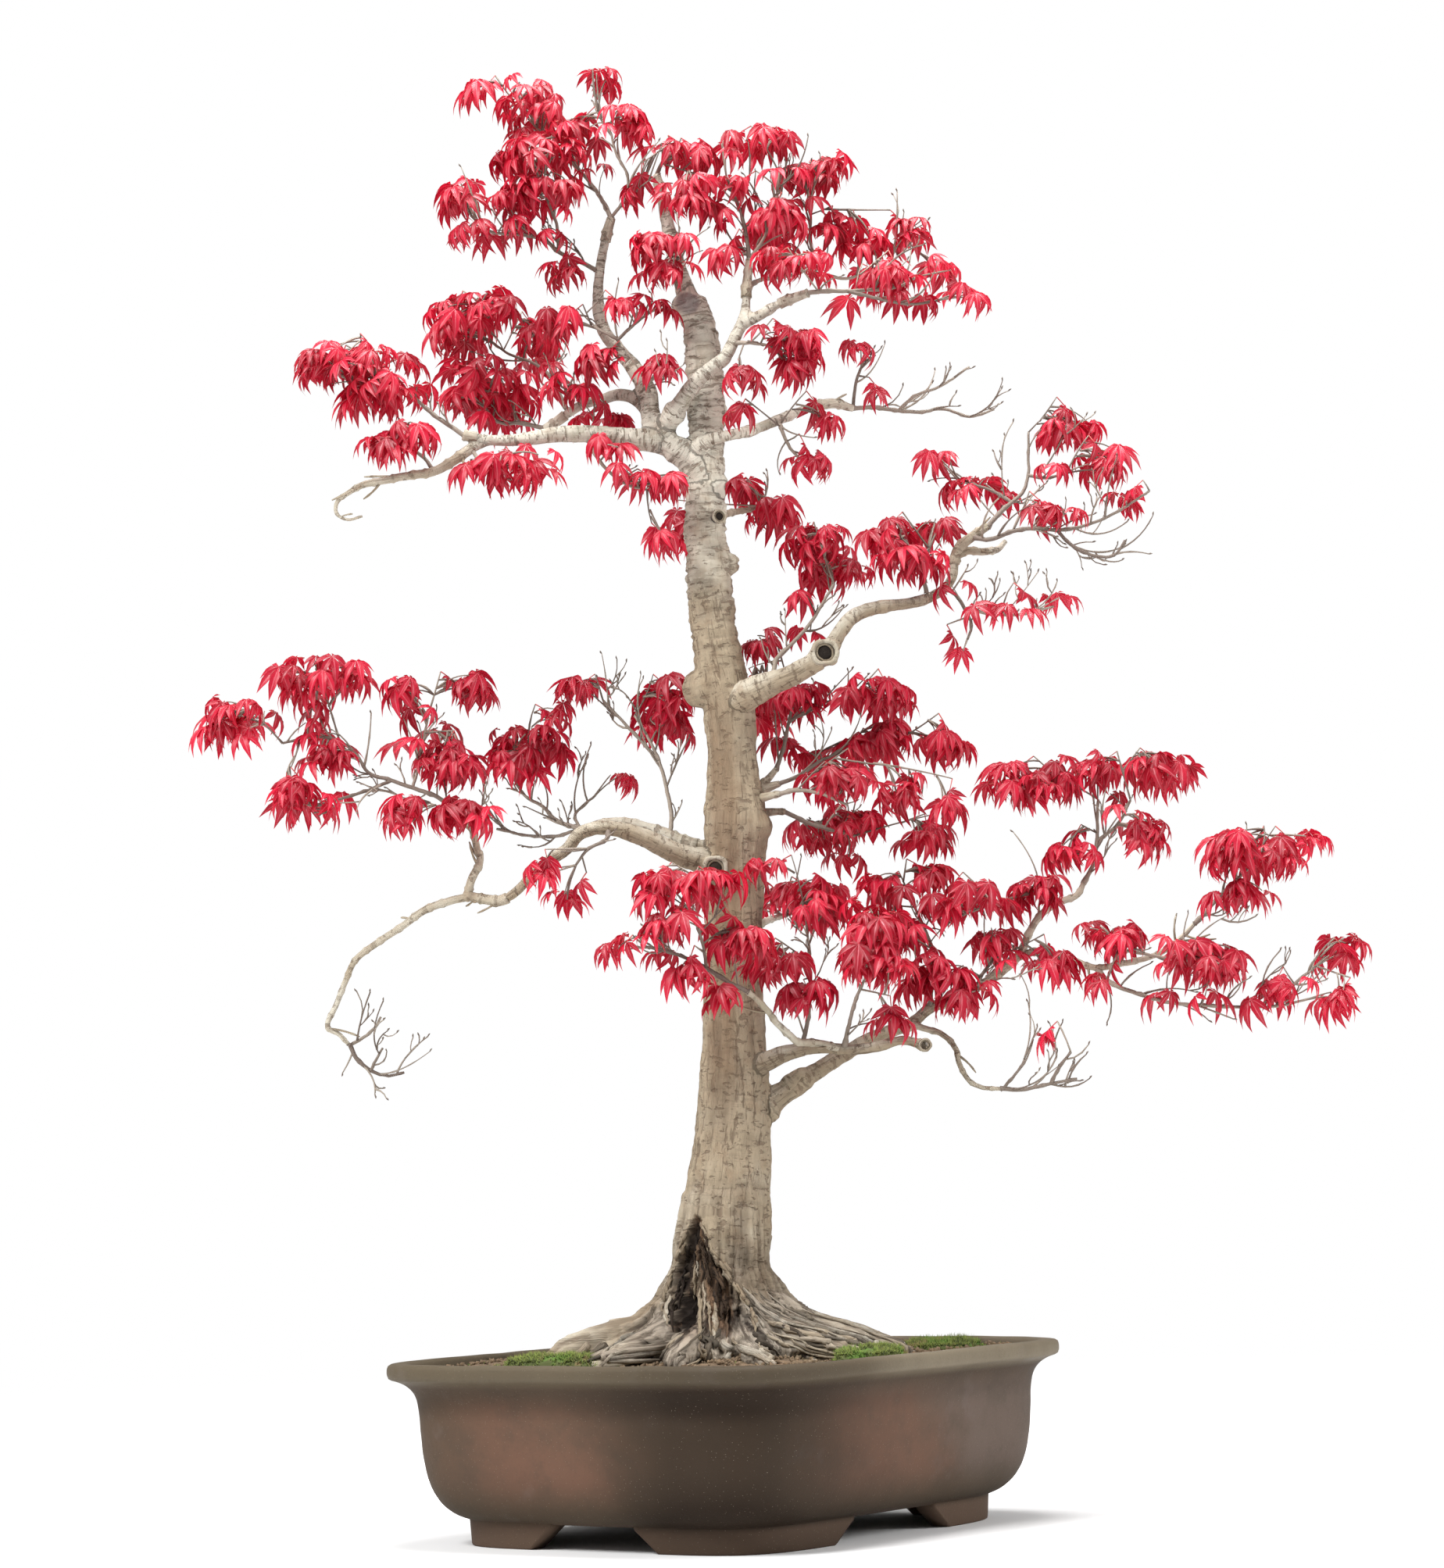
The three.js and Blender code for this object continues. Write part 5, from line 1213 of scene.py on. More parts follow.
class Growth:
    """Grows every spray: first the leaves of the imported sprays, then the finer shoots between them."""

    def __init__(self, place: Placer) -> None:
        """Args:
            place: the frames.
        """
        self.crowd = Crowd()
        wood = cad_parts["trunk_and_limbs"].data
        verts = np.zeros(len(wood.vertices) * 3)
        wood.vertices.foreach_get("co", verts)
        verts = place.back(verts.reshape(-1, 3))
        self.bark = BVHTree.FromPolygons(
            [Vector(v) for v in verts], [tuple(p.vertices) for p in wood.polygons])
        self.sprays = [self.start(k, name, plan) for k, (name, plan) in enumerate(SPRAYS.items())]

    def start(self, number: int, name: str, plan: SprayPlan) -> Spray:
        """Lays out the stems of a spray from the limb's bark.

        Args:
            number: place of the spray in the plans.
            name: its name.
            plan: its plan.

        Returns:
            The spray, still without leaves.
        """
        bends = np.array(LIMBS[plan.limb])[:, :3]
        first = np.array(plan.stems[0][1:], float)
        if plan.bend is None:
            centre, out = bends[-1], unit(bends[-1] - bends[-2])
            centre = centre - 2 * out
        else:
            centre = bends[plan.bend]
            out = unit(first[0] - centre)
        spot, normal, _, _ = self.bark.ray_cast(Vector(centre), Vector(out))
        main = np.vstack([np.array(spot) + GAP * np.array(normal), first])
        routes = [main]
        for stem in plan.stems[1:]:
            routes.append(np.vstack([main[stem[0]], np.array(stem[1:], float)]))
        for route in routes:
            for a, b in zip(route, route[1:]):
                self.crowd.add_bar(a, b, STEM_RADIUS, number)
        return Spray(name, number, plan, routes)

    def draw(self, spray: Spray, pad: Sequence[float], random: SeededDraw) -> Shoot:
        """Args:
            spray: the spray.
            pad: middle, half sizes and leaf count of the pad.
            random: the pad's numbers.

        Returns:
            A leaf somewhere in the pad, hanging away from its middle.
        """
        x, y, z, rx, ry, rz = pad[:6]
        spin = 2 * math.pi * random()
        high = 2 * random() - 1
        share = random() ** 0.4
        flat = math.sqrt(1 - high * high) * share
        middle = np.array([
            x + max(rx - 9, 2) * flat * math.cos(spin), y + max(ry - 9, 2) * flat * math.sin(spin),
            z + max(rz - 7, 2) * high * share,
        ])
        azimuth = spin + 1.6 * (random() - 0.5)
        size = 0.86 + 0.26 * random()
        dip = 0.45 + 0.75 * random()
        roll = 0.5 * (random() - 0.5)
        spread = 0.78 + 0.3 * random()
        leaf = Leaf(middle, azimuth, size, dip, roll, spread)
        along = leaf.axes()[0]
        leaf.at = middle - 0.5 * leaf.length() * along
        elbow = leaf.at + along * (-6 - 4 * random())
        bud = spray.nearest_bud(elbow)
        return Shoot(bud, spray.bud_at[bud], elbow, leaf)

    def clear(self, shoot: Shoot, own: int, bars: Array, balls: Array, wood: Array) -> bool:
        """Args:
            shoot: a drawn leaf and twig.
            own: number of its spray.
            bars: twigs near by.
            balls: leaf balls near by.
            wood: limbs near by.

        Returns:
            Whether nothing is in its way.
        """
        back, front = shoot.elbow - shoot.start, shoot.leaf.at - shoot.elbow
        size = np.linalg.norm(back)
        if size < 3 or back @ front < -0.35 * size * np.linalg.norm(front):
            return False
        places, radii = shoot.leaf.balls()
        if places[:, 2].min() < LEAF_FLOOR:
            return False
        route = shoot.start + back * np.array([0.25, 0.5, 0.75, 1])[:, None]
        places = np.vstack([route, places])
        radii = np.concatenate([np.full(4, TWIG_RADIUS), radii])
        if (bar_distance(places, wood) <= wood[:, 6] + radii[:, None] + 0.6).any():
            return False
        if len(balls):
            margin = np.where(balls[:, 4] == own, 0.1, 0.8)
            gap = np.linalg.norm(places[:, None] - balls[None, :, :3], axis=-1)
            if (gap <= balls[:, 3] + radii[:, None] + margin).any():
                return False
        margin = np.where(bars[:, 7] == own, 0.1, 0.8)
        hit = bar_distance(places, bars) <= bars[:, 6] + radii[:, None] + margin
        hit[:4, bars[:, 7] == own] = False
        return not hit.any()

    def grow_packed(self) -> None:
        """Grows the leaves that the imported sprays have, in the same places."""
        for spray in self.sprays:
            for number, pad in enumerate(spray.plan.pads):
                random = SeededDraw(1000 * (spray.number + 1) + number)
                reach = max(pad[3:6]) + 170
                wood = WOOD_BARS[bar_distance(np.array([pad[:3]], float), WOOD_BARS)[0] < reach]
                near_bars, near_balls = self.crowd.near(np.array(pad[:3], float), reach)
                bars, balls = self.crowd.bars[near_bars], self.crowd.balls[near_balls]
                made = tries = 0
                while made < pad[6] and tries < TRIES and spray.bud_at:
                    tries += 1
                    shoot = self.draw(spray, pad, random)
                    if not self.clear(shoot, spray.number, bars, balls, wood):
                        continue
                    made += 1
                    past = len(self.crowd.bars), len(self.crowd.balls)
                    self.accept(spray, shoot)
                    bars = np.vstack([bars, self.crowd.bars[past[0]:]])
                    balls = np.vstack([balls, self.crowd.balls[past[1]:]])

    def accept(self, spray: Spray, shoot: Shoot) -> None:
        """Args:
            spray: the spray.
            shoot: the leaf and twig that join it.
        """
        del spray.bud_at[shoot.bud], spray.bud_along[shoot.bud]
        reach = shoot.elbow - shoot.start
        length = np.linalg.norm(reach)
        if length > 16:
            spray.bud_at.append(shoot.start + 0.6 * reach)
            spray.bud_along.append(reach / length)
        self.crowd.add_bar(shoot.start, shoot.elbow, TWIG_RADIUS, spray.number)
        self.crowd.add_bar(shoot.elbow, shoot.leaf.at, PETIOLE_RADIUS, spray.number)
        self.crowd.add_leaf(shoot.leaf, spray.number)
        radii = np.array([TWIG_RADIUS, PETIOLE_RADIUS])
        spray.twigs.append(Twig(np.array([shoot.start, shoot.elbow]), radii))
        spray.petioles.append(np.array([shoot.start, shoot.elbow, shoot.leaf.at]))
        spray.leaves.append(shoot.leaf)


@dataclass
class FineShoots:
    """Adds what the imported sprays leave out: pairs of leaves on fine twigs, and bare twigs with buds."""

    growth: Growth
    shoots_per_area: float = 1 / 150
    stem_spacing: float = 15.0
    bare_spacing: float = 18.0
    shell: float = 0.25
    wood_gap: float = 1.2
    leaf_gap: float = 8.2

    def grow(self) -> None:
        """Grows the finer shoots of every spray."""
        packed = sum(len(spray.leaves) for spray in self.growth.sprays)
        self.middles = np.array([leaf.middle() for spray in self.growth.sprays for leaf in spray.leaves])
        for spray in self.growth.sprays:
            rng = np.random.default_rng(7000 + spray.number)
            self.open_leaves(spray, rng)
            hosts = self.hosts(spray)
            for pad in spray.plan.pads:
                self.fill(spray, pad, hosts, rng)
            if spray.name not in SPARSE:
                self.along_stems(spray, rng)
            self.bare(spray, rng)
        total = sum(len(spray.leaves) for spray in self.growth.sprays)
        log.info("leaves: %d packed, %d in all", packed, total)

    def open_leaves(self, spray: Spray, rng: Rng) -> None:
        """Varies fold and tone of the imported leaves."""
        for leaf in spray.leaves:
            leaf.fold, leaf.tone = rng.uniform(0.2, 0.7), rng.random()
            leaf.bend, leaf.shrink = rng.uniform(0.75, 1.25), rng.uniform(0.74, 0.95)

    def hosts(self, spray: Spray) -> tuple[Array, Array]:
        """Args:
            spray: a spray with its packed twigs.

        Returns:
            Places and directions that finer twigs may leave from.
        """
        at, along = list(spray.bud_at), list(spray.bud_along)
        for route in spray.routes:
            for a, b in zip(route, route[1:]):
                length = np.linalg.norm(b - a)
                for t in np.arange(3, length, 5):
                    at.append(a + (b - a) * t / length)
                    along.append((b - a) / length)
        for twig in spray.twigs:
            a, b = twig.route[0], twig.route[-1]
            if np.linalg.norm(b - a) > 8:
                for t in (0.45, 0.8):
                    at.append(a + (b - a) * t)
                    along.append(unit(b - a))
        return np.array(at), np.array(along)

    def fill(self, spray: Spray, pad: Sequence[float], hosts: tuple[Array, Array], rng: Rng) -> None:
        """Fills a pad with pairs of leaves.

        Args:
            spray: the spray.
            pad: its pad.
            hosts: places that twigs may leave from.
            rng: numbers.
        """
        x, y, z, rx, ry, rz, _ = pad
        area = (rx * ry + rx * rz + ry * rz) * 4 / 3
        wanted = max(1, int(round(area * self.shoots_per_area)))
        half = np.maximum(np.array([rx, ry, rz]) - np.array([5, 5, 3]), 3)
        bounds = np.array([x, y, z]), np.array([rx, ry, rz]) + 7
        made = 0
        for _ in range(wanted * 12):
            if made >= wanted:
                break
            direction = unit(rng.normal(size=3))
            target = np.array([x, y, z + 2]) + half * direction * rng.uniform(self.shell, 1)
            reach = target - hosts[0]
            distance = np.linalg.norm(reach, axis=1)
            turn = (reach * hosts[1]).sum(1) / np.maximum(distance, 1e-6)
            cost = distance * (1.3 - 0.4 * turn) + rng.uniform(0, 5, len(distance))
            pick = int(np.argmin(cost))
            if distance[pick] < 5 or distance[pick] > 42:
                continue
            made += self.place_pair(spray, hosts[0][pick], hosts[1][pick], target, bounds, rng)

    def along_stems(self, spray: Spray, rng: Rng) -> None:
        """Hangs pairs of leaves on short twigs along the outer part of the stems."""
        for route in spray.routes:
            course = smooth_route(route, 3.0)
            step = max(2, int(self.stem_spacing / 3))
            for k in range(int(len(course) * 0.3) + 1, len(course) - 1, step):
                if rng.random() < 0.3:
                    continue
                along = unit(course[k + 1] - course[k - 1])
                out = unit(along * 0.6 + unit(rng.normal(size=3) * [1, 1, 0.3]) + [0, 0, 0.5])
                target = course[k] + out * rng.uniform(9, 22)
                self.place_pair(spray, course[k], along, target, (target, np.full(3, 40.0)), rng)

    def place_pair(
        self, spray: Spray, start: Array, heading: Array, tip: Array, bounds: tuple[Array, Array],
        rng: Rng,
    ) -> int:
        """Args:
            spray: the spray.
            start: where the twig leaves.
            heading: direction of its parent.
            tip: where the pair of leaves hangs.
            bounds: middle and half sizes of the pad.
            rng: numbers.

        Returns:
            1 if leaves were placed, else 0.
        """
        reach = tip - start
        length = np.linalg.norm(reach)
        bend = start + reach * 0.5 + unit(heading) * length * 0.14 + np.array([0, 0, 0.08 * length])
        t = np.linspace(0, 1, max(4, int(length / 5) + 2))[:, None]
        route = (1 - t) ** 2 * start + 2 * t * (1 - t) * bend + t**2 * tip
        if (bar_distance(route[2:], WOOD_BARS) < WOOD_BARS[:, 6] + 0.5).any():
            return 0
        ahead = math.atan2(*(route[-1] - route[-2])[1::-1])
        base = ahead + rng.normal(0, 0.35)
        sides = [1.1 + rng.normal(0, 0.25), -1.1 + rng.normal(0, 0.25)]
        if rng.random() < 0.3:
            sides.append(rng.normal(0, 0.3))
        leaves, petioles = [], []
        for side in sides:
            leaf, stalk = self.hanging_leaf(tip, base + side, rng)
            if self.fits(leaf, bounds):
                self.middles = np.vstack([self.middles, leaf.middle()])
                leaves.append(leaf)
                petioles.append(np.array([tip, tip + stalk * 0.55 + np.array([0, 0, 0.8]), leaf.at]))
        if not leaves:
            return 0
        radii = np.linspace(0.65 if length < 25 else 0.8, 0.42, len(route))
        spray.twigs.append(Twig(route, radii))
        spray.leaves += leaves
        spray.petioles += petioles
        return 1

    def hanging_leaf(self, tip: Array, azimuth: float, rng: Rng) -> tuple[Leaf, Array]:
        """Args:
            tip: end of the twig.
            azimuth: direction of the petiole.
            rng: numbers.

        Returns:
            A leaf with a look of its own, and the way along its petiole.
        """
        lift = rng.uniform(-0.2, 0.5)
        length = rng.uniform(6, 13)
        flat = math.cos(lift)
        stalk = np.array([math.cos(azimuth) * flat, math.sin(azimuth) * flat, math.sin(lift)]) * length
        leaf = Leaf(
            tip + stalk, azimuth + rng.normal(0, 0.25), rng.uniform(0.6, 0.98), rng.uniform(0.1, 0.95),
            rng.normal(0, 0.25), rng.uniform(0.8, 1.1), rng.uniform(0.05, 0.5), rng.uniform(1.0, 1.75), 1.0,
            rng.random())
        return leaf, stalk

    def fits(self, leaf: Leaf, bounds: tuple[Array, Array]) -> bool:
        """Args:
            leaf: a leaf.
            bounds: middle and half sizes of its pad.

        Returns:
            Whether it lies in the pad, off the wood and the soil and away from other leaves.
        """
        places, radii = leaf.balls()
        if (np.abs(places - bounds[0]) > bounds[1] + 6).any() or places[:, 2].min() < LEAF_FLOOR - 6:
            return False
        if (bar_distance(places, WOOD_BARS) < WOOD_BARS[:, 6] + radii[:, None] + self.wood_gap).any():
            return False
        return np.linalg.norm(self.middles - leaf.middle(), axis=1).min() >= self.leaf_gap

    def bare(self, spray: Spray, rng: Rng) -> None:
        """Adds short bare twigs along the stems."""
        many = 0.85 if spray.name in SPARSE else 1.0
        for route in spray.routes:
            course = smooth_route(route, 6.0)
            steps = max(1, int(self.bare_spacing * many / 6))
            for k in range(1, len(course) - 1, steps):
                if rng.random() < 0.2:
                    continue
                along = unit(course[k + 1] - course[k - 1])
                self.bare_twig(spray, course[k], along, rng.uniform(14, 44), 0.75, 2, rng)

    def bare_twig(
        self, spray: Spray, start: Array, along: Array, length: float, radius: float, forks: int,
        rng: Rng,
    ) -> None:
        """Adds a bare twig and its own side twigs.

        Args:
            spray: the spray.
            start: where it leaves its parent.
            along: the parent's direction.
            length: its length in mm.
            radius: its radius at the start.
            forks: how many times its side twigs may fork again.
            rng: numbers.
        """
        side = unit(np.cross(along, unit(rng.normal(size=3))))
        out = unit(along * rng.uniform(0.6, 1.2) + side * 0.8 + np.array([0, 0, 0.35]))
        curl = unit(np.cross(out, rng.normal(size=3))) * length * 0.12
        t = np.linspace(0, 1, max(4, int(length / 4)))[:, None]
        twig = start + out * length * t + curl * (4 * t * (1 - t)) + np.array([0, 0, 0.14 * length]) * t**2
        if (bar_distance(twig[2:], WOOD_BARS) < WOOD_BARS[:, 6] + 0.6).any():
            return
        spray.twigs.append(Twig(twig, np.linspace(radius, 0.4, len(twig)), bare=True))
        if forks and length > 12:
            for _ in range(rng.integers(0, 3)):
                k = rng.integers(1, len(twig) - 1)
                ahead, shorter = unit(twig[k + 1] - twig[k]), length * rng.uniform(0.35, 0.65)
                self.bare_twig(spray, twig[k], ahead, shorter, radius * 0.8, forks - 1, rng)


# Sprays that stay nearly bare of leaves
SPARSE = (
    "right_bough_tip", "bare_left_side", "bare_left_under", "bare_drop_tip", "slim_left_tip",
    "slim_left_rise", "far_right_side", "bare_right_tip", "left_bough_hanger",
)

# Lobes of a fine leaf: angle in degrees and share of the middle lobe's length
FINE_LOBES = ((0, 1.0), (41, 0.88), (-41, 0.88), (80, 0.62), (-80, 0.62), (128, 0.26), (-128, 0.26))
LOBE_STATIONS = np.array([0.0, 0.2, 0.36, 0.48, 0.62, 0.78, 1.0])
SMALL_LOBE_STATIONS = np.array([0.0, 0.3, 0.6, 1.0])


class LeafPattern:
    """The flat pattern of a leaf: toothed, long-pointed lobes, each folded along its midrib."""

    def __init__(self, width: float = 0.143, teeth: float = 0.13, fold: float = 0.6) -> None:
        """Args:
            width: greatest half width of a lobe over its leaf's length.
            teeth: depth of the teeth over the half width.
            fold: rise of a lobe's edge over its half width.
        """
        polar, faces, rib, reach = [], [], [], []
        angles = sorted(angle for angle, _ in FINE_LOBES)
        for angle, share in FINE_LOBES:
            spot = angles.index(angle)
            gaps = [(angles[spot] - angles[spot - 1]) / 2 if spot else 24,
                    (angles[spot + 1] - angles[spot]) / 2 if spot + 1 < len(angles) else 24]
            start = sum(len(part) for part in polar)
            t = LOBE_STATIONS if share > 0.4 else SMALL_LOBE_STATIONS
            swell = 3.2 * t**0.75 * (1 - t) ** 1.05 * width * (0.55 + 0.45 * share)
            tooth = np.where(np.arange(len(t)) % 2 == 1, 1 - teeth, 1.0)
            rows = []
            for sign, gap in ((-1, gaps[0]), (1, gaps[1])):
                body = share * t * math.tan(math.radians(min(gap, 60)))
                rows.append(sign * np.minimum(body, swell * tooth))
            left, right = rows
            along = share * t
            for side, rise in ((left, fold), (0 * t, 0.0), (right, fold)):
                polar.append(np.stack([np.full(len(t), angle), along, side, rise * np.abs(side)], -1))
                rib.append(np.full(len(t), 0.0 if rise == 0 else 1.0))
                reach.append(t)
            n = len(t)
            k = np.arange(n - 1)
            for a, b in ((start, start + n), (start + n, start + 2 * n)):
                faces.append(np.stack([a + k, b + k, b + k + 1, a + k + 1], -1))
        self.polar = np.vstack(polar)
        self.faces = np.vstack(faces)
        self.rib = np.concatenate(rib)
        self.reach = np.concatenate(reach)

    def lay(self, leaf: Leaf, rng: Rng) -> Array:
        """Args:
            leaf: the leaf.
            rng: numbers for small differences between lobes.

        Returns:
            The pattern's points on the leaf, in tree millimetres.
        """
        angle, along, side, rise = self.polar.T
        length = leaf.length() * leaf.shrink
        jitter = {a: rng.normal(0, 3.5) for a, _ in FINE_LOBES}
        lean = {a: rng.normal(0, 0.07) for a, _ in FINE_LOBES}
        turned = np.radians((angle + np.vectorize(jitter.get)(angle)) * leaf.spread)
        curl = np.vectorize(lean.get)(angle)
        u = along * np.cos(turned) - side * np.sin(turned)
        v = along * np.sin(turned) + side * np.cos(turned)
        d = np.sqrt(u * u + v * v)
        curve = leaf.bend + curl * 3
        arc = curve * np.maximum(d, 1e-4)
        shorter = np.sin(arc) / arc
        side_way = np.abs(np.sin(turned)) * d
        drop = (1 - np.cos(arc)) / curve + math.sin(leaf.fold) * side_way * 0.8
        keep = shorter * (1 - (1 - math.cos(leaf.fold)) * np.abs(np.sin(turned)))
        flat = np.stack([u * shorter, v * keep, rise - drop], -1) * length
        return leaf.at + flat @ leaf.axes()


class SprayBuilder:
    """Turns a grown spray into one Blender piece."""

    def __init__(self, place: Placer, finishes: "Finishes") -> None:
        """Args:
            place: the frames.
            finishes: the materials.
        """
        self.place, self.finishes = place, finishes
        self.pattern = LeafPattern()

    def build(self, spray: Spray) -> bpy.types.Object:
        """Args:
            spray: a grown spray.

        Returns:
            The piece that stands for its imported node.
        """
        rng = np.random.default_rng(9000 + spray.number)
        shape = Shape()
        for number, route in enumerate(spray.routes):
            self.stem(shape, route, number, rng)
        for twig in spray.twigs:
            self.twig(shape, twig, rng)
        for route in spray.petioles:
            course = smooth_route(route[1:], 4.0)
            shape.tube(course, np.linspace(0.48, 0.34, len(course)), 4, 1, tone=rng.random(), reach=0.0)
        for leaf in spray.leaves:
            points, flat = self.pattern.lay(leaf, rng), self.pattern
            shape.add(points, flat.faces, 2, tone=leaf.tone, rib=flat.rib, reach=flat.reach)
        piece = shape.mesh(
            f"fine_{spray.name}", self.place.tree,
            [self.finishes.twig, self.finishes.petiole, self.finishes.leaf])
        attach(piece, "root")
        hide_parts(f"spray_{spray.name}")
        return piece

    def stem(self, shape: Shape, route: Array, number: int, rng: Rng) -> None:
        """Adds a stem with the rings of its old buds."""
        base = STEM_RADIUS if number == 0 else TWIG_RADIUS * 1.5
        radii = np.linspace(base, TWIG_RADIUS, len(route))
        course = smooth_route(np.hstack([route, radii[:, None]]), 3.0)
        start = course[0, :3] - unit(course[1, :3] - course[0, :3]) * (1.2 if number == 0 else 0.4)
        course = np.vstack([[*start, course[0, 3] * (1.25 if number == 0 else 1)], course])
        points = course[:, :3] + rng.normal(0, 0.12, (len(course), 3))
        knots = 1 + 0.3 * (rng.random(len(course)) < 0.16)
        shape.tube(points, course[:, 3] * knots, 6, 0, tone=rng.random(), reach=0.0)

    def twig(self, shape: Shape, twig: Twig, rng: Rng) -> None:
        """Adds a twig; a bare one ends in a pair of buds."""
        route, radii = twig.route, twig.radii
        if len(route) == 2:
            length = np.linalg.norm(route[1] - route[0])
            t = np.linspace(0, 1, max(3, int(length / 5)))[:, None]
            sag = unit(np.cross(route[1] - route[0], [0.3, 0.2, 1])) * length * rng.normal(0, 0.04)
            radii = np.linspace(radii[0] * 0.9, radii[1] * 0.75, len(t))
            route = route[0] + (route[1] - route[0]) * t + sag * 4 * t * (1 - t)
        bumps = 1 + 0.35 * (rng.random(len(route)) < 0.22)
        shape.tube(route, radii * bumps, 4, 0, tone=rng.random(), reach=0.0)
        if twig.bare:
            along = unit(route[-1] - route[-2])
            for sign in (-1, 1):
                side = unit(np.cross(along, [0.2, sign, 0.5]))
                tip = route[-1] + along * 2.4 + side * 0.8 * sign
                middle = (route[-1] + tip) / 2 + side * 0.25 * sign
                bud = np.array([route[-1] - along * 0.3, middle, tip])
                shape.tube(bud, np.array([0.4, 0.62, 0.12]), 4, 0, tone=0.1, reach=0.0)


# Pot, soil and moss


def pot_ring(inset: Array | float, height: Array | float, turns: Array, share: float = 1.0) -> Array:
    """Args:
        inset: how far inside the lip's outline, in mm.
        height: height in mm.
        turns: angles around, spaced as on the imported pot.
        share: scale about the middle.

    Returns:
        (n, 3) points of the rounded rectangle.
    """
    angle = turns + 0.11 * np.sin(4 * turns)
    cos, sin = np.cos(angle), np.sin(angle)
    power = np.abs(cos) ** POT_SQUARENESS + np.abs(sin) ** POT_SQUARENESS
    reach = share / power ** (1 / POT_SQUARENESS)
    x, y = (POT_HALF[0] - inset) * reach * cos, (POT_HALF[1] - inset) * reach * sin
    return np.stack([x, y, np.broadcast_to(height, x.shape)], -1)


def grid_faces(rows: int, cols: int, wrap: bool = True) -> Array:
    """Quads over a grid of points, outward for rings that go up and turn left."""
    last = cols if wrap else cols - 1
    i, j = np.meshgrid(np.arange(rows - 1), np.arange(last), indexing="ij")
    a, b = i * cols + j, i * cols + (j + 1) % cols
    return np.stack([a, b, b + cols, a + cols], -1).reshape(-1, 4)


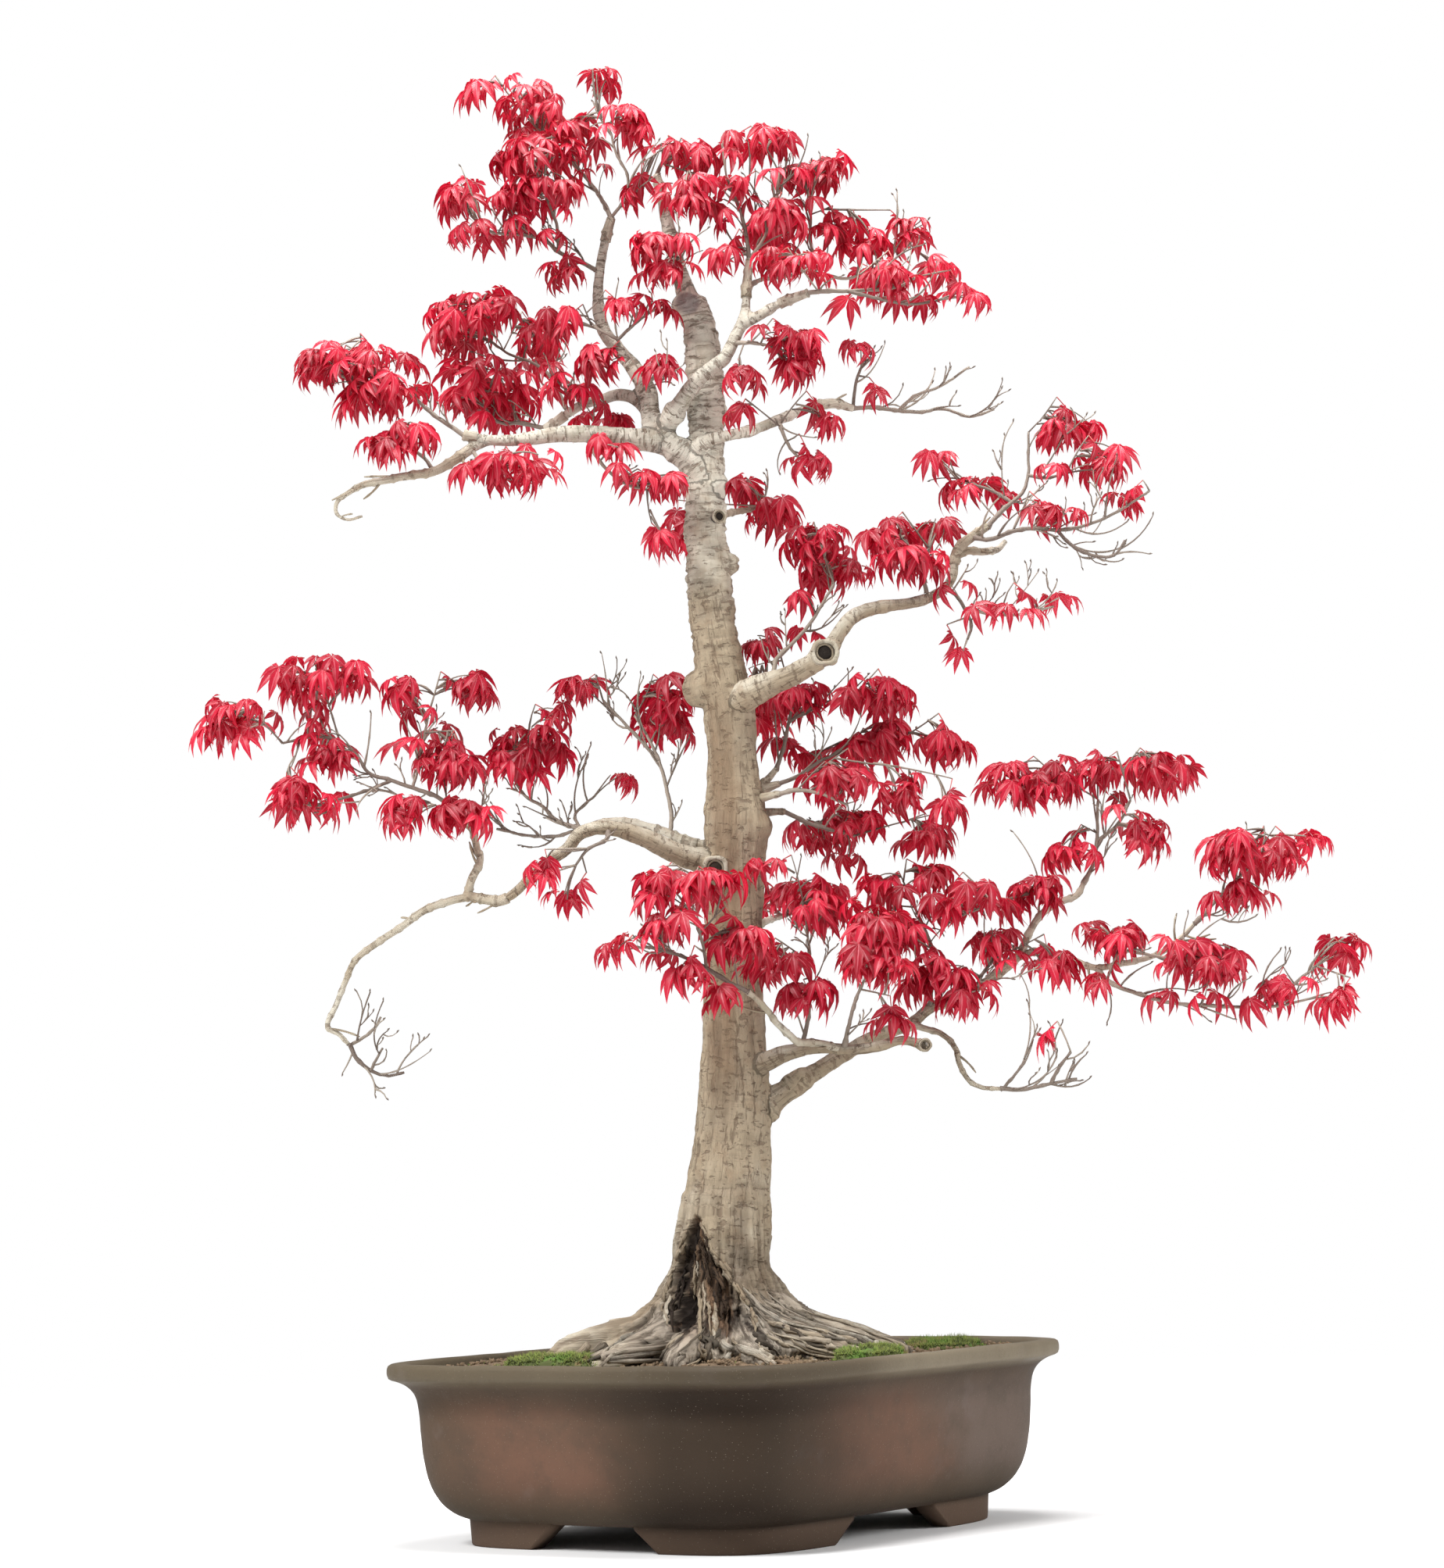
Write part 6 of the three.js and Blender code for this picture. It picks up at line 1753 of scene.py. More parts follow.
@dataclass
class Pot:
    """The stoneware pot: bowl with a wide lip over a cove, and four bracket feet."""

    around: int = 256
    outside: tuple = (
        (74, 16), (60, 15.9), (50, 16), (44, 16.9), (39.5, 18.6), (35.4, 20.8), (31, 24.5), (27.5, 28.6),
        (25.2, 32.6), (23.2, 36.8), (21.3, 42.5), (19.8, 48.8), (18.9, 55), (18, 63), (17.5, 71),
        (17.1, 79), (16.9, 86), (16.3, 92.5), (15.2, 98.5), (13.4, 102.8), (10.8, 106.2), (7.5, 108.8),
        (4.4, 110.4), (2, 111.3), (0.6, 112.3), (0, 114.2), (0, 119), (0.5, 120.6), (2, 121.7),
        (4.2, 122.1), (8.8, 122.1), (11.2, 121.6), (12.6, 120), (13.6, 117), (15, 113),
    )
    inside: tuple = ((20, 106), (28, 96), (30.5, 70), (33, 46), (41, 35), (54, 29.2))
    foot_inset: float = 42.0
    foot_thickness: float = 16.0
    gap_long: tuple = (48.0, 70.0)
    gap_short: tuple = (33.0, 52.0)
    floor_under: float = 16.0
    floor_top: float = 29.2
    drain_radius: float = 15.0
    drain_offset: float = 85.0

    def build(self, place: Placer, finishes: "Finishes") -> bpy.types.Object:
        """Args:
            place: the frames.
            finishes: the materials.

        Returns:
            The pot.
        """
        shape = Shape()
        self.bowl(shape)
        for sx in (-1, 1):
            for sy in (-1, 1):
                self.foot(shape, sx, sy)
        piece = shape.mesh("stoneware_pot", place.pot, [finishes.stoneware])
        self.drill(piece, place)
        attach(piece, "root")
        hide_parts("pot")
        return piece

    def bowl(self, shape: Shape) -> None:
        """Adds the turned-over wall, closed at the floor inside and out."""
        turns = np.linspace(0, 2 * np.pi, self.around, endpoint=False)
        outside = smooth_route([(*p, 0.0) for p in self.outside], 1.6)[:, :2]
        middle_inset = 8 + POT_HALF[1] * 0.55
        profile = [(middle_inset, self.floor_under), *outside, *self.inside, (middle_inset, self.floor_top)]
        points = np.vstack([pot_ring(inset, height, turns) for inset, height in profile])
        outward = unit(points * np.array([1, 1, 0]))
        wave = layered_noise(points / 46, 3, 2) * 0.5 + layered_noise(points / 9, 4, 2) * 0.16
        low = ramp(points[:, 2], 20, 40) * ramp(points[:, 2], 122, 114)
        points = points + outward * (wave * (0.3 + 0.7 * low))[:, None]
        points[:, 2] += layered_noise(points / 38, 8, 2) * 0.5 * ramp(points[:, 2], 104, 115)
        shape.add(points, grid_faces(len(profile), self.around))
        shape.close_ends(len(profile), self.around, ((0, 0, self.floor_under), (0, 0, self.floor_top)))

    def foot_course(self, inset: float, height: float, sx: int, sy: int, count: int) -> Array:
        """Args:
            inset: inset of the foot's face.
            height: height of the ring.
            sx: side of the pot along its length, -1 or 1.
            sy: side across it.
            count: points wanted.

        Returns:
            Points around the corner, from the gap of the long side to that of the short side.
        """
        t = np.clip(1 - height / self.floor_under, 0, 1)
        x0 = self.gap_long[0] + (self.gap_long[1] - self.gap_long[0]) * t
        y0 = self.gap_short[0] + (self.gap_short[1] - self.gap_short[0]) * t
        turns = np.linspace(0, np.pi / 2, 400)
        ring = pot_ring(inset, height, turns)
        kept = ring[(ring[:, 0] >= x0) & (ring[:, 1] >= y0)][::-1]
        first, last = ring[-1].copy(), ring[0].copy()
        first[0], last[1] = x0, y0
        line = np.vstack([first, kept, last])
        step = run_along(line)
        even = np.linspace(0, step[-1], count)
        out = np.stack([np.interp(even, step, line[:, i]) for i in range(3)], -1)
        return out * np.array([sx, sy, 1])

    def foot(self, shape: Shape, sx: int, sy: int) -> None:
        """Adds one corner foot with sloped ends and softened lower edges."""
        count = 56
        levels = ((0.9, 0.0), (0.25, 0.5), (0.0, 1.6), (0.0, 6), (0.0, 11), (0.0, 15), (0.0, 18), (0.0, 23))
        outer = [self.foot_course(self.foot_inset + 1.5 * (1 - z / 24) + extra, z, sx, sy, count)
                 for extra, z in levels]
        inner = [self.foot_course(self.foot_inset + self.foot_thickness - extra, z, sx, sy, count)
                 for extra, z in levels]
        rings = [np.vstack([a, b[::-1]]) for a, b in zip(outer, inner)]
        points = np.vstack(rings)
        wave = layered_noise(points / 14, 5, 2) * 0.35 * ramp(points[:, 2], 0.2, 3)
        points = points + unit(points * np.array([1, 1, 0])) * wave[:, None]
        quads = grid_faces(len(rings), 2 * count)
        low = np.arange(count - 1)
        cap = np.stack([low, low + 1, 2 * count - 2 - low, 2 * count - 1 - low], -1)
        top = cap + (len(rings) - 1) * 2 * count
        faces = np.vstack([quads, cap[:, ::-1], top])
        if sx * sy > 0:
            faces = faces[:, ::-1]
        shape.add(points, faces)

    def drill(self, piece: bpy.types.Object, place: Placer) -> None:
        """Cuts the two drainage holes through the floor."""
        for side in (-1, 1):
            middle = place.pot(np.array([side * self.drain_offset, 0, 23.0]))
            bpy.ops.mesh.primitive_cylinder_add(
                vertices=64, radius=self.drain_radius * MM, depth=30 * MM, location=tuple(middle))
            drill = bpy.context.active_object
            cut = piece.modifiers.new("drain", "BOOLEAN")
            cut.operation, cut.object, cut.solver = "DIFFERENCE", drill, "FAST"
            bpy.context.view_layer.objects.active = piece
            bpy.ops.object.modifier_apply(modifier=cut.name)
            bpy.data.objects.remove(drill)


def crumb_shape(size: Array, turn: Array) -> tuple[Array, Array]:
    """Args:
        size: (n, 3) half sizes of n crumbs.
        turn: (n, 3, 3) their rotations.

    Returns:
        Points (n, 6, 3) and the faces of one crumb.
    """
    base = np.array([[1, 0, 0], [0, 1, 0], [-1, 0, 0], [0, -1, 0], [0, 0, 1], [0, 0, -1.0]])
    points = np.einsum("nij,nkj->nki", turn, base[None] * size[:, None])
    faces = np.array([
        [0, 1, 4], [1, 2, 4], [2, 3, 4], [3, 0, 4], [1, 0, 5], [2, 1, 5], [3, 2, 5], [0, 3, 5]])
    return points, faces


def random_turns(count: int, rng: Rng) -> Array:
    """Args:
        count: how many rotations.
        rng: numbers.

    Returns:
        (count, 3, 3) rotations.
    """
    a = unit(rng.normal(size=(count, 3)))
    b = unit(np.cross(a, unit(rng.normal(size=(count, 3)))))
    return np.stack([a, b, np.cross(a, b)], 1)


def root_reach(degrees: Array) -> Array:
    """How far the surface roots stand out at an angle around the trunk, in mm."""
    total = np.zeros_like(degrees)
    for direction, reach, half in SURFACE_ROOTS:
        off = np.abs((degrees - direction + 540) % 360 - 180)
        part = np.cos(np.minimum(off / (half * 1.5), 1) * np.pi / 2)
        total += reach * np.maximum(part, 0) ** 1.5
    return total


def crown_radius(degrees: Array, heights: Array) -> tuple[Array, Array]:
    """Args:
        degrees: angles around the trunk.
        heights: heights in mm.

    Returns:
        Middle x and radius of the root crown there.
    """
    z, x, core, share = np.array(CROWN_RINGS).T
    return (
        np.interp(heights, z, x),
        np.interp(heights, z, core) + np.interp(heights, z, share) * root_reach(degrees))


def add_sprouts(
    shape: Shape, foot: Array, lean: Array, tall: tuple[float, float], mat: int, rng: Rng,
) -> None:
    """Adds many three-sided moss sprouts.

    Args:
        shape: where they go.
        foot: (n, 3) places that they stand on.
        lean: direction that they lean in, one for all or one each.
        tall: least and greatest height in mm.
        mat: material number.
        rng: numbers.
    """
    count = len(foot)
    up = unit(unit(rng.normal(0, 0.5, (count, 3)) + [0, 0, 1]) + 0.5 * lean)
    height = rng.uniform(*tall, count) * (1 + 0.5 * layered_noise(foot / 7, 29, 2))
    wide = rng.uniform(0.25, 0.55, count)
    side = unit(np.cross(up, unit(rng.normal(size=(count, 3)))))
    across = np.cross(up, side)
    corners = [foot - up * 0.6 + (side * math.cos(a) + across * math.sin(a)) * wide[:, None]
               for a in (0, 2.094, 4.189)]
    points = np.stack([*corners, foot + up * height[:, None]], 1).reshape(-1, 3)
    base = np.array([[0, 1, 3], [1, 2, 3], [2, 0, 3], [2, 1, 0]])
    faces = (base[None] + 4 * np.arange(count)[:, None, None]).reshape(-1, 3)
    tone = rng.uniform(0.25, 0.8, (count, 1)) + [-0.25, -0.25, -0.25, 0.2]
    shape.add(points, faces, mat, tone=tone.ravel())


# Towards the viewer, in the pot's frame
FRONT_WAY = np.array([math.sin(TREE_TURN), -math.cos(TREE_TURN)])


@dataclass
class Ground:
    """The soil mound with crumbs and litter on it."""

    rows: int = 64
    cols: int = 220
    crumbs: int = 3200
    flakes: int = 1500
    wall_inset: float = 15.6
    profile: tuple = ((0, 0.5, 0.75, 0.93, 1), (122.5, 122.0, 119.4, 117.2, 115.8))
    front_dip: tuple = ((0, 0.6, 1), (0, 5.5, 4.5))
    underside: tuple = ((54.6, 29.7), (42, 35.6), (34, 46.5), (31.5, 70), (29, 96.5), (21, 107), (16, 113.4))

    def share(self, points: Array, margin: float = 0.0) -> Array:
        """Args:
            points: (n, 2) places in the pot's frame.
            margin: how far inside the wall the share is 1, in mm.

        Returns:
            Distance from the pot's middle over the wall's.
        """
        across = np.abs(points) / (np.array(POT_HALF) - self.wall_inset - margin)
        return (across**POT_SQUARENESS).sum(-1) ** (1 / POT_SQUARENESS)

    def height(self, points: Array) -> Array:
        """Args:
            points: (n, 2) places in the pot's frame.

        Returns:
            Height of the soil there, in mm.
        """
        share = self.share(points)
        near = ramp(points @ FRONT_WAY, -10, 110)
        base = np.interp(share, *self.profile) - near * np.interp(share, *self.front_dip)
        flat = np.hstack([points, np.zeros((len(points), 1))])
        return base + layered_noise(flat / 26, 11, 3) * 2.2 * ramp(share, 1.0, 0.9)

    def build(self, place: Placer, finishes: "Finishes") -> bpy.types.Object:
        """Args:
            place: the frames.
            finishes: the materials.

        Returns:
            The soil.
        """
        rng = np.random.default_rng(31)
        shape = Shape()
        turns = np.linspace(0, 2 * np.pi, self.cols, endpoint=False)
        rings = [pot_ring(54, 29.6, turns, 0.02)]
        rings += [pot_ring(inset, height, turns) for inset, height in self.underside]
        for share in np.linspace(1, 0.02, self.rows):
            ring = pot_ring(self.wall_inset, 0.0, turns, share)
            ring[:, 2] = self.height(ring[:, :2])
            rings.append(ring)
        points = np.vstack(rings)
        points[:, 2] += lattice_noise(points / 3.2, 12) * 0.7 * (points[:, 2] > 116)
        shape.add(points, grid_faces(len(rings), self.cols), tone=0.5 + 0.5 * layered_noise(points / 15, 14))
        shape.close_ends(len(rings), self.cols, (rings[0].mean(0), rings[-1].mean(0)), tone=0.5)
        self.scatter(shape, place, rng)
        self.green(shape, place, rng)
        piece = shape.mesh("soil_mound", place.pot, [finishes.soil, finishes.moss])
        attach(piece, "root")
        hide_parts("soil")
        return piece

    def clear_of_crown(self, spots: Array, place: Placer, height: float, reach: float) -> Array:
        """Args:
            spots: (n, 2) places in the pot's frame.
            place: the frames.
            height: height in mm at which the root crown is measured.
            reach: share of the crown's radius that is kept clear.

        Returns:
            The spots that the root crown doesn't cover.
        """
        tree = np.hstack([spots, np.zeros((len(spots), 1))]) @ place.turn
        degrees = np.degrees(np.arctan2(tree[:, 1], tree[:, 0]))
        radius = crown_radius(degrees, np.full(len(spots), height))[1]
        return spots[np.linalg.norm(tree[:, :2], axis=1) > radius * reach]

    def scatter(self, shape: Shape, place: Placer, rng: Rng) -> None:
        """Adds crumbs of earth and flakes of litter that lie on the soil."""
        spots = rng.uniform(-1, 1, (9000, 2)) * (np.array(POT_HALF) - self.wall_inset - 3)
        spots = self.clear_of_crown(spots[self.share(spots, 2) < 1], place, 114.0, 0.93)
        count = min(self.crumbs, len(spots))
        size = rng.uniform(0.7, 2.2, (count, 1)) ** 1.15 * rng.uniform(0.7, 1.2, (count, 3))
        self.lay(shape, spots[:count], size, rng, 0.35, 0.75)
        rest = spots[count : count + self.flakes]
        thin = [rng.uniform(low, high, len(rest)) for low, high in ((2, 5.5), (0.5, 1.8), (0.15, 0.4))]
        self.lay(shape, rest, np.stack(thin, -1), rng, 0.2, 1.0)

    def green(self, shape: Shape, place: Placer, rng: Rng) -> None:
        """Adds small patches of moss sprouts along the walls and between the roots."""
        spots = rng.uniform(-1, 1, (26000, 2)) * (np.array(POT_HALF) - self.wall_inset - 4)
        patchy = layered_noise(np.hstack([spots, np.zeros((len(spots), 1))]) / 21, 71, 3)
        kept = (self.share(spots, 3) < 1) & (patchy > 0.2 + rng.uniform(0, 0.25, len(spots)))
        spots = self.clear_of_crown(spots[kept], place, 115.0, 0.97)
        foot = np.hstack([spots, self.height(spots)[:, None]])
        add_sprouts(shape, foot, np.array([0, 0, 1.0]), (1.0, 3.0), 1, rng)

    def lay(
        self, shape: Shape, spots: Array, size: Array, rng: Rng, low: float, high: float,
    ) -> None:
        """Adds many crumbs at once.

        Args:
            shape: the soil.
            spots: (n, 2) places in the pot's frame.
            size: (n, 3) half sizes; thin ones lie flat.
            rng: numbers.
            low: least tone.
            high: greatest tone.
        """
        if not len(spots):
            return
        turn = random_turns(len(spots), rng)
        if size[:, 2].max() < 0.5:
            tilt = rng.normal(0, 0.22, (len(spots), 2))
            spin = rng.uniform(0, 2 * np.pi, len(spots))
            long = unit(np.stack([np.cos(spin), np.sin(spin), tilt[:, 0]], -1))
            up = unit(np.stack([tilt[:, 1], tilt[:, 0], np.ones(len(spots))], -1))
            wide = unit(np.cross(up, long))
            turn = np.stack([long, wide, np.cross(long, wide)], 2)
        points, faces = crumb_shape(size, turn)
        lift = self.height(spots) + size[:, 2] * 0.45
        points += np.hstack([spots, lift[:, None]])[:, None]
        all_faces = (faces[None] + 6 * np.arange(len(spots))[:, None, None]).reshape(-1, 3)
        tone = np.repeat(rng.uniform(low, high, len(spots)), 6)
        shape.add(points.reshape(-1, 3), all_faces, 0, tone=tone)


@dataclass(frozen=True)
class Cushion:
    """A moss cushion: middle, half sizes, turn in degrees and top, in the tree's frame."""

    name: str
    x: float
    y: float
    long: float
    wide: float
    turn: float
    top: float


CUSHIONS = (
    Cushion("moss_front_left", -112, -72, 46, 23, 145, 117),
    Cushion("moss_front_right", 92, -78, 34, 20, 55, 117.5),
    Cushion("moss_right", 146, 34, 40, 24, 50, 116.5),
    Cushion("moss_back", -46, 122, 44, 24, -35, 117),
)


@dataclass
class Moss:
    """Fine tufts over a low dome, for one cushion."""

    cushion: Cushion
    tufts: int = 4300
    rings: int = 18
    around: int = 64

    def outline(self, around: Array) -> Array:
        """Scale of the cushion's edge at an angle."""
        c = self.cushion
        return 1 + 0.1 * np.sin(3 * around + c.x) + 0.06 * np.sin(5 * around + c.y)

    def at(self, share: Array, around: Array) -> Array:
        """Args:
            share: distance from the middle over the edge's.
            around: angle.

        Returns:
            Points of the dome in the tree's frame.
        """
        c = self.cushion
        wave = self.outline(around) * share
        u, v = c.long * wave * np.cos(around), c.wide * wave * np.sin(around)
        turn = math.radians(c.turn)
        x = c.x + u * math.cos(turn) - v * math.sin(turn)
        y = c.y + u * math.sin(turn) + v * math.cos(turn)
        flat = np.stack([x, y, np.zeros_like(x)], -1)
        rise = np.interp(share, [0, 0.5, 0.88, 1.0], [c.top - 0.6, c.top - 1.4, c.top - 4.2, 103.5])
        lumps = layered_noise(flat / 8, 21, 3) * 2.0 + layered_noise(flat / 22, 23, 2) * 1.6
        flat[:, 2] = rise + lumps * ramp(share, 1.0, 0.7)
        return flat

    def build(self, place: Placer, finishes: "Finishes") -> bpy.types.Object:
        """Args:
            place: the frames.
            finishes: the materials.

        Returns:
            The cushion.
        """
        rng = np.random.default_rng(int(400 + self.cushion.x))
        shape = Shape()
        around = np.linspace(0, 2 * np.pi, self.around, endpoint=False)
        shares = np.concatenate([[0.9], np.linspace(1, 0.04, self.rings)])
        rows = [self.at(np.full(self.around, share), around) for share in shares]
        rows[0][:, 2] = 101.0
        points = np.vstack(rows)
        shape.add(points, grid_faces(len(rows), self.around), tone=0.35)
        shape.close_ends(len(rows), self.around, (rows[0].mean(0), rows[-1].mean(0)), tone=0.35)
        spin, share = rng.uniform(0, 2 * np.pi, self.tufts), np.sqrt(rng.uniform(0, 1.06, self.tufts))
        foot = self.at(share, spin)
        out = self.at(np.minimum(share + 0.05, 1.1), spin) - foot
        patchy = layered_noise(foot / 13, 27, 3) + rng.uniform(-0.2, 0.2, self.tufts) > -0.3
        lean = unit(out * np.array([1, 1, 0])) * share[:, None]
        add_sprouts(shape, foot[patchy], lean[patchy], (1.6, 4.6), 0, rng)
        piece = shape.mesh(f"fine_{self.cushion.name}", place.tree, [finishes.moss])
        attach(piece, "root")
        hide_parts(self.cushion.name)
        return piece


# Wood


@dataclass(frozen=True)
class Wound:
    """A round scar on the bark: place, outward direction, radius, depth of the cut and how strongly painted
    shade darkens its hollow.
    """

    at: tuple
    out: tuple
    radius: float
    depth: float
    dark: float


WOUNDS = (
    Wound((79, -36, 588), (0.05, -1, 0.1), 8.2, 2.4, 1.0),
    Wound((0, -22, 443), (-0.1, -1, 0), 7.5, 2.0, 0.8),
    Wound((9, -16, 688), (0.3, -1, 0), 4.6, 2.2, 1.0),
    Wound((-9, -9, 841), (-0.35, -0.8, 0.45), 8.5, 0.4, 0.0),
    Wound((138, -47, 317), (0.4, -1, 0.2), 4.2, 1.2, 0.4),
)


# Lines down the front of the root crown: heights in mm, then x or half width in mm at each
HOLLOW_MIDDLE = ((118, 144, 160, 183, 205), (-16, -18, -20, -21, -21))
HOLLOW_HALF = ((118, 132, 144, 160, 183, 205), (15, 25, 25, 19, 8, 3.5))
CRACK_MIDDLE = ((118, 144, 160, 183, 197, 207), (-35, -34, -35, -26, -23, -22))
CRACK_HALF = ((118, 144, 160, 183, 203), (4, 9, 7, 5, 3))
SECOND_MIDDLE = ((125, 139, 160, 184), (8, 3, -7, -16.5))
SECOND_HALF = ((125, 139, 160, 186), (6, 9, 9, 4))
TONGUE_HALF = ((124, 144, 160, 183, 205), (22, 23, 17, 7, 2))
LEFT_LIP = ((128, 144, 160, 183, 197, 207), (-41, -44, -42, -31, -27, -24))
RIGHT_LIP = ((130, 147, 165, 183, 197, 207), (18, 12, 3, -9, -15, -19))
# The brown band up the trunk's front, and how far forward its front starts
BAND_MIDDLE = ((250, 330, 430, 560), (2, 4, 12, 8))
FRONT_LIMIT = -8
# Point attributes that the bark's colours use
BARK_LOOKS = ("pale", "dead", "dark", "cut", "band", "hollow", "rotten")


@dataclass
class Wood:
    """Roots, trunk and limbs as one grown skin, with ridges, wrinkles, the hollow and old scars."""

    voxel: float = 1.5
    kept: int = 192000
    thin: float = 3.4
    roots: tuple = (
        ((-56, 2, 128, 12), (-78, 0, 126, 11), (-98, -4, 121, 9.5), (-112, -8, 116, 8.5),
         (-122, -10, 110, 6.5)),
        ((-46, -40, 126, 12), (-64, -62, 119, 10), (-74, -84, 114, 8), (-90, -100, 108, 5)),
        ((-22, -48, 124, 13), (-28, -76, 117, 11), (-36, -98, 112, 7.5), (-34, -116, 107, 5)),
        ((12, -48, 124, 13), (20, -72, 117, 10), (16, -94, 112, 8), (26, -112, 107, 5)),
        ((38, -40, 125, 12), (58, -58, 119, 10), (78, -70, 113, 7.5), (96, -84, 108, 5)),
        ((60, -18, 126, 11), (84, -26, 120, 9), (104, -26, 114, 7), (122, -30, 108, 4.5)),
    )
    bulges: tuple = (
        (-9, -1, 839, 11), (79, -29, 588, 9.5), (0, -12, 443, 12), (30, -8, 472, 11.5), (15, 0, 657, 8),
        (-6, 2, 570, 15), (138, -44, 317, 5),
    )

    def build(self, place: Placer, finishes: "Finishes") -> bpy.types.Object:
        """Args:
            place: the frames.
            finishes: the materials.

        Returns:
            The wood.
        """
        thick = self.thick_parts()
        points, faces = self.fuse(thick)
        coords = self.bark_coordinates(points)
        points, looks = self.carve(points, coords)
        shape = Shape()
        shape.add(points, faces, bark=coords[0], **looks)
        strips = Deadwood(self, shape, points)
        strips.flakes()
        strips.rot()
        self.thin_roots(shape, place)
        self.thin_parts(shape)
        self.scars(shape)
        piece = shape.mesh("bark_wood", place.tree, [finishes.bark])
        self.lighten(piece)
        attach(piece, "root")
        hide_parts("trunk_and_limbs")
        log.info("wood: %d points", len(points))
        return piece

    def thick_parts(self) -> Shape:
        """Returns:
            Overlapping closed lumps of the crown, trunk and thick limbs.
        """
        shape = Shape()
        degrees = np.linspace(-180, 180, 144, endpoint=False)
        around = np.radians(degrees)
        rings = []
        for height in np.arange(84, 224, 2.5):
            x, radius = crown_radius(degrees, np.full(len(degrees), height))
            ring = [x + radius * np.cos(around), radius * np.sin(around), np.full(len(x), height)]
            rings.append(np.stack(ring, -1))
        shape.add(np.vstack(rings), grid_faces(len(rings), len(degrees)))
        shape.close_ends(len(rings), len(degrees), (rings[0].mean(0), rings[-1].mean(0)))
        for number, bends in enumerate((TRUNK, *LIMBS.values())):
            course = smooth_route(bends, 2.5)
            course = course[course[:, 3] >= self.thin]
            if len(course) < 4:
                continue
            radii = course[:, 3].copy()
            if number:
                radii *= 0.9 + 0.28 * np.exp(-run_along(course[:, :3]) / (2.0 * radii[0]))
            else:
                radii *= 0.96
            shape.tube(course[:, :3], radii, 24 if number else 40)
        for bends in self.roots:
            root = smooth_route(bends, 3.0)
            shape.tube(root[:, :3], root[:, 3], 24)
        for x, y, z, radius in self.bulges:
            heights = np.linspace(-1, 1, 13)[1:-1]
            axis = np.array([x, y, z]) + np.stack([0 * heights, 0 * heights, heights * radius], -1)
            shape.tube(axis, radius * np.sqrt(1 - heights**2) * 0.98, 16)
        return shape

    def fuse(self, shape: Shape) -> tuple[Array, Array]:
        """Args:
            shape: overlapping lumps.

        Returns:
            Points and quads of one even skin over them.
        """
        lump = shape.mesh("wood_lumps", lambda p: p, [])
        skin = lump.modifiers.new("skin", "REMESH")
        skin.mode, skin.voxel_size = "VOXEL", self.voxel
        smooth = lump.modifiers.new("soften", "SMOOTH")
        smooth.factor, smooth.iterations = 0.5, 4
        graph = bpy.context.evaluated_depsgraph_get()
        done = lump.evaluated_get(graph).to_mesh()
        points = np.zeros(len(done.vertices) * 3)
        done.vertices.foreach_get("co", points)
        faces = np.zeros(len(done.loops), np.int32)
        done.loops.foreach_get("vertex_index", faces)
        points, faces = points.reshape(-1, 3), faces.reshape(-1, 4).astype(np.int64)
        bpy.data.objects.remove(lump)
        return points, faces

    def bark_coordinates(self, points: Array) -> tuple[Array, Array, Array, Array]:
        """Args:
            points: (n, 3) places on the skin.

        Returns:
            Vectors around and along the bark, radius of the limb there, number of the limb,
            and direction out of it.
        """
        segments, owners, lengths = [], [], []
        for number, bends in enumerate((TRUNK, *LIMBS.values())):
            run = 0.0
            first = ((0, 0, 60, 34), *bends) if number == 0 else bends
            for a, b in zip(first, first[1:]):
                segments.append([*a, *b])
                lengths.append(run)
                run += math.dist(a[:3], b[:3])
                owners.append(number)
        segments, lengths, owners = np.array(segments), np.array(lengths), np.array(owners)
        a, ab = segments[:, :3], segments[:, 4:7] - segments[:, :3]
        size = np.linalg.norm(ab, axis=1)
        best = np.full(len(points), np.inf)
        pick, share = np.zeros(len(points), int), np.zeros(len(points))
        for k, _ in enumerate(segments):
            rel = points - a[k]
            t = np.clip((rel @ ab[k]) / size[k] ** 2, 0, 1)
            radius = segments[k, 3] + (segments[k, 7] - segments[k, 3]) * t
            gap = np.linalg.norm(rel - t[:, None] * ab[k], axis=1) - radius
            closer = gap < best
            best[closer], pick[closer], share[closer] = gap[closer], k, t[closer]
        middle = a[pick] + ab[pick] * share[:, None]
        out = points - middle
        along = ab[pick] / size[pick][:, None]
        out = unit(out - along * (out * along).sum(1)[:, None])
        side = unit(np.cross(along, np.array([0.31, 0.22, 0.93])))
        upright = np.abs(along[:, 2]) > 0.7
        side[upright] = unit(np.array([1.0, 0, 0]) - along[upright] * along[upright][:, :1])
        across = np.cross(along, side)
        radius = segments[pick, 3] + (segments[pick, 7] - segments[pick, 3]) * share
        local = np.stack([
            (out * side).sum(1) * radius, (out * across).sum(1) * radius,
            lengths[pick] + size[pick] * share + 97 * owners[pick]], -1)
        return local, radius, owners[pick], out

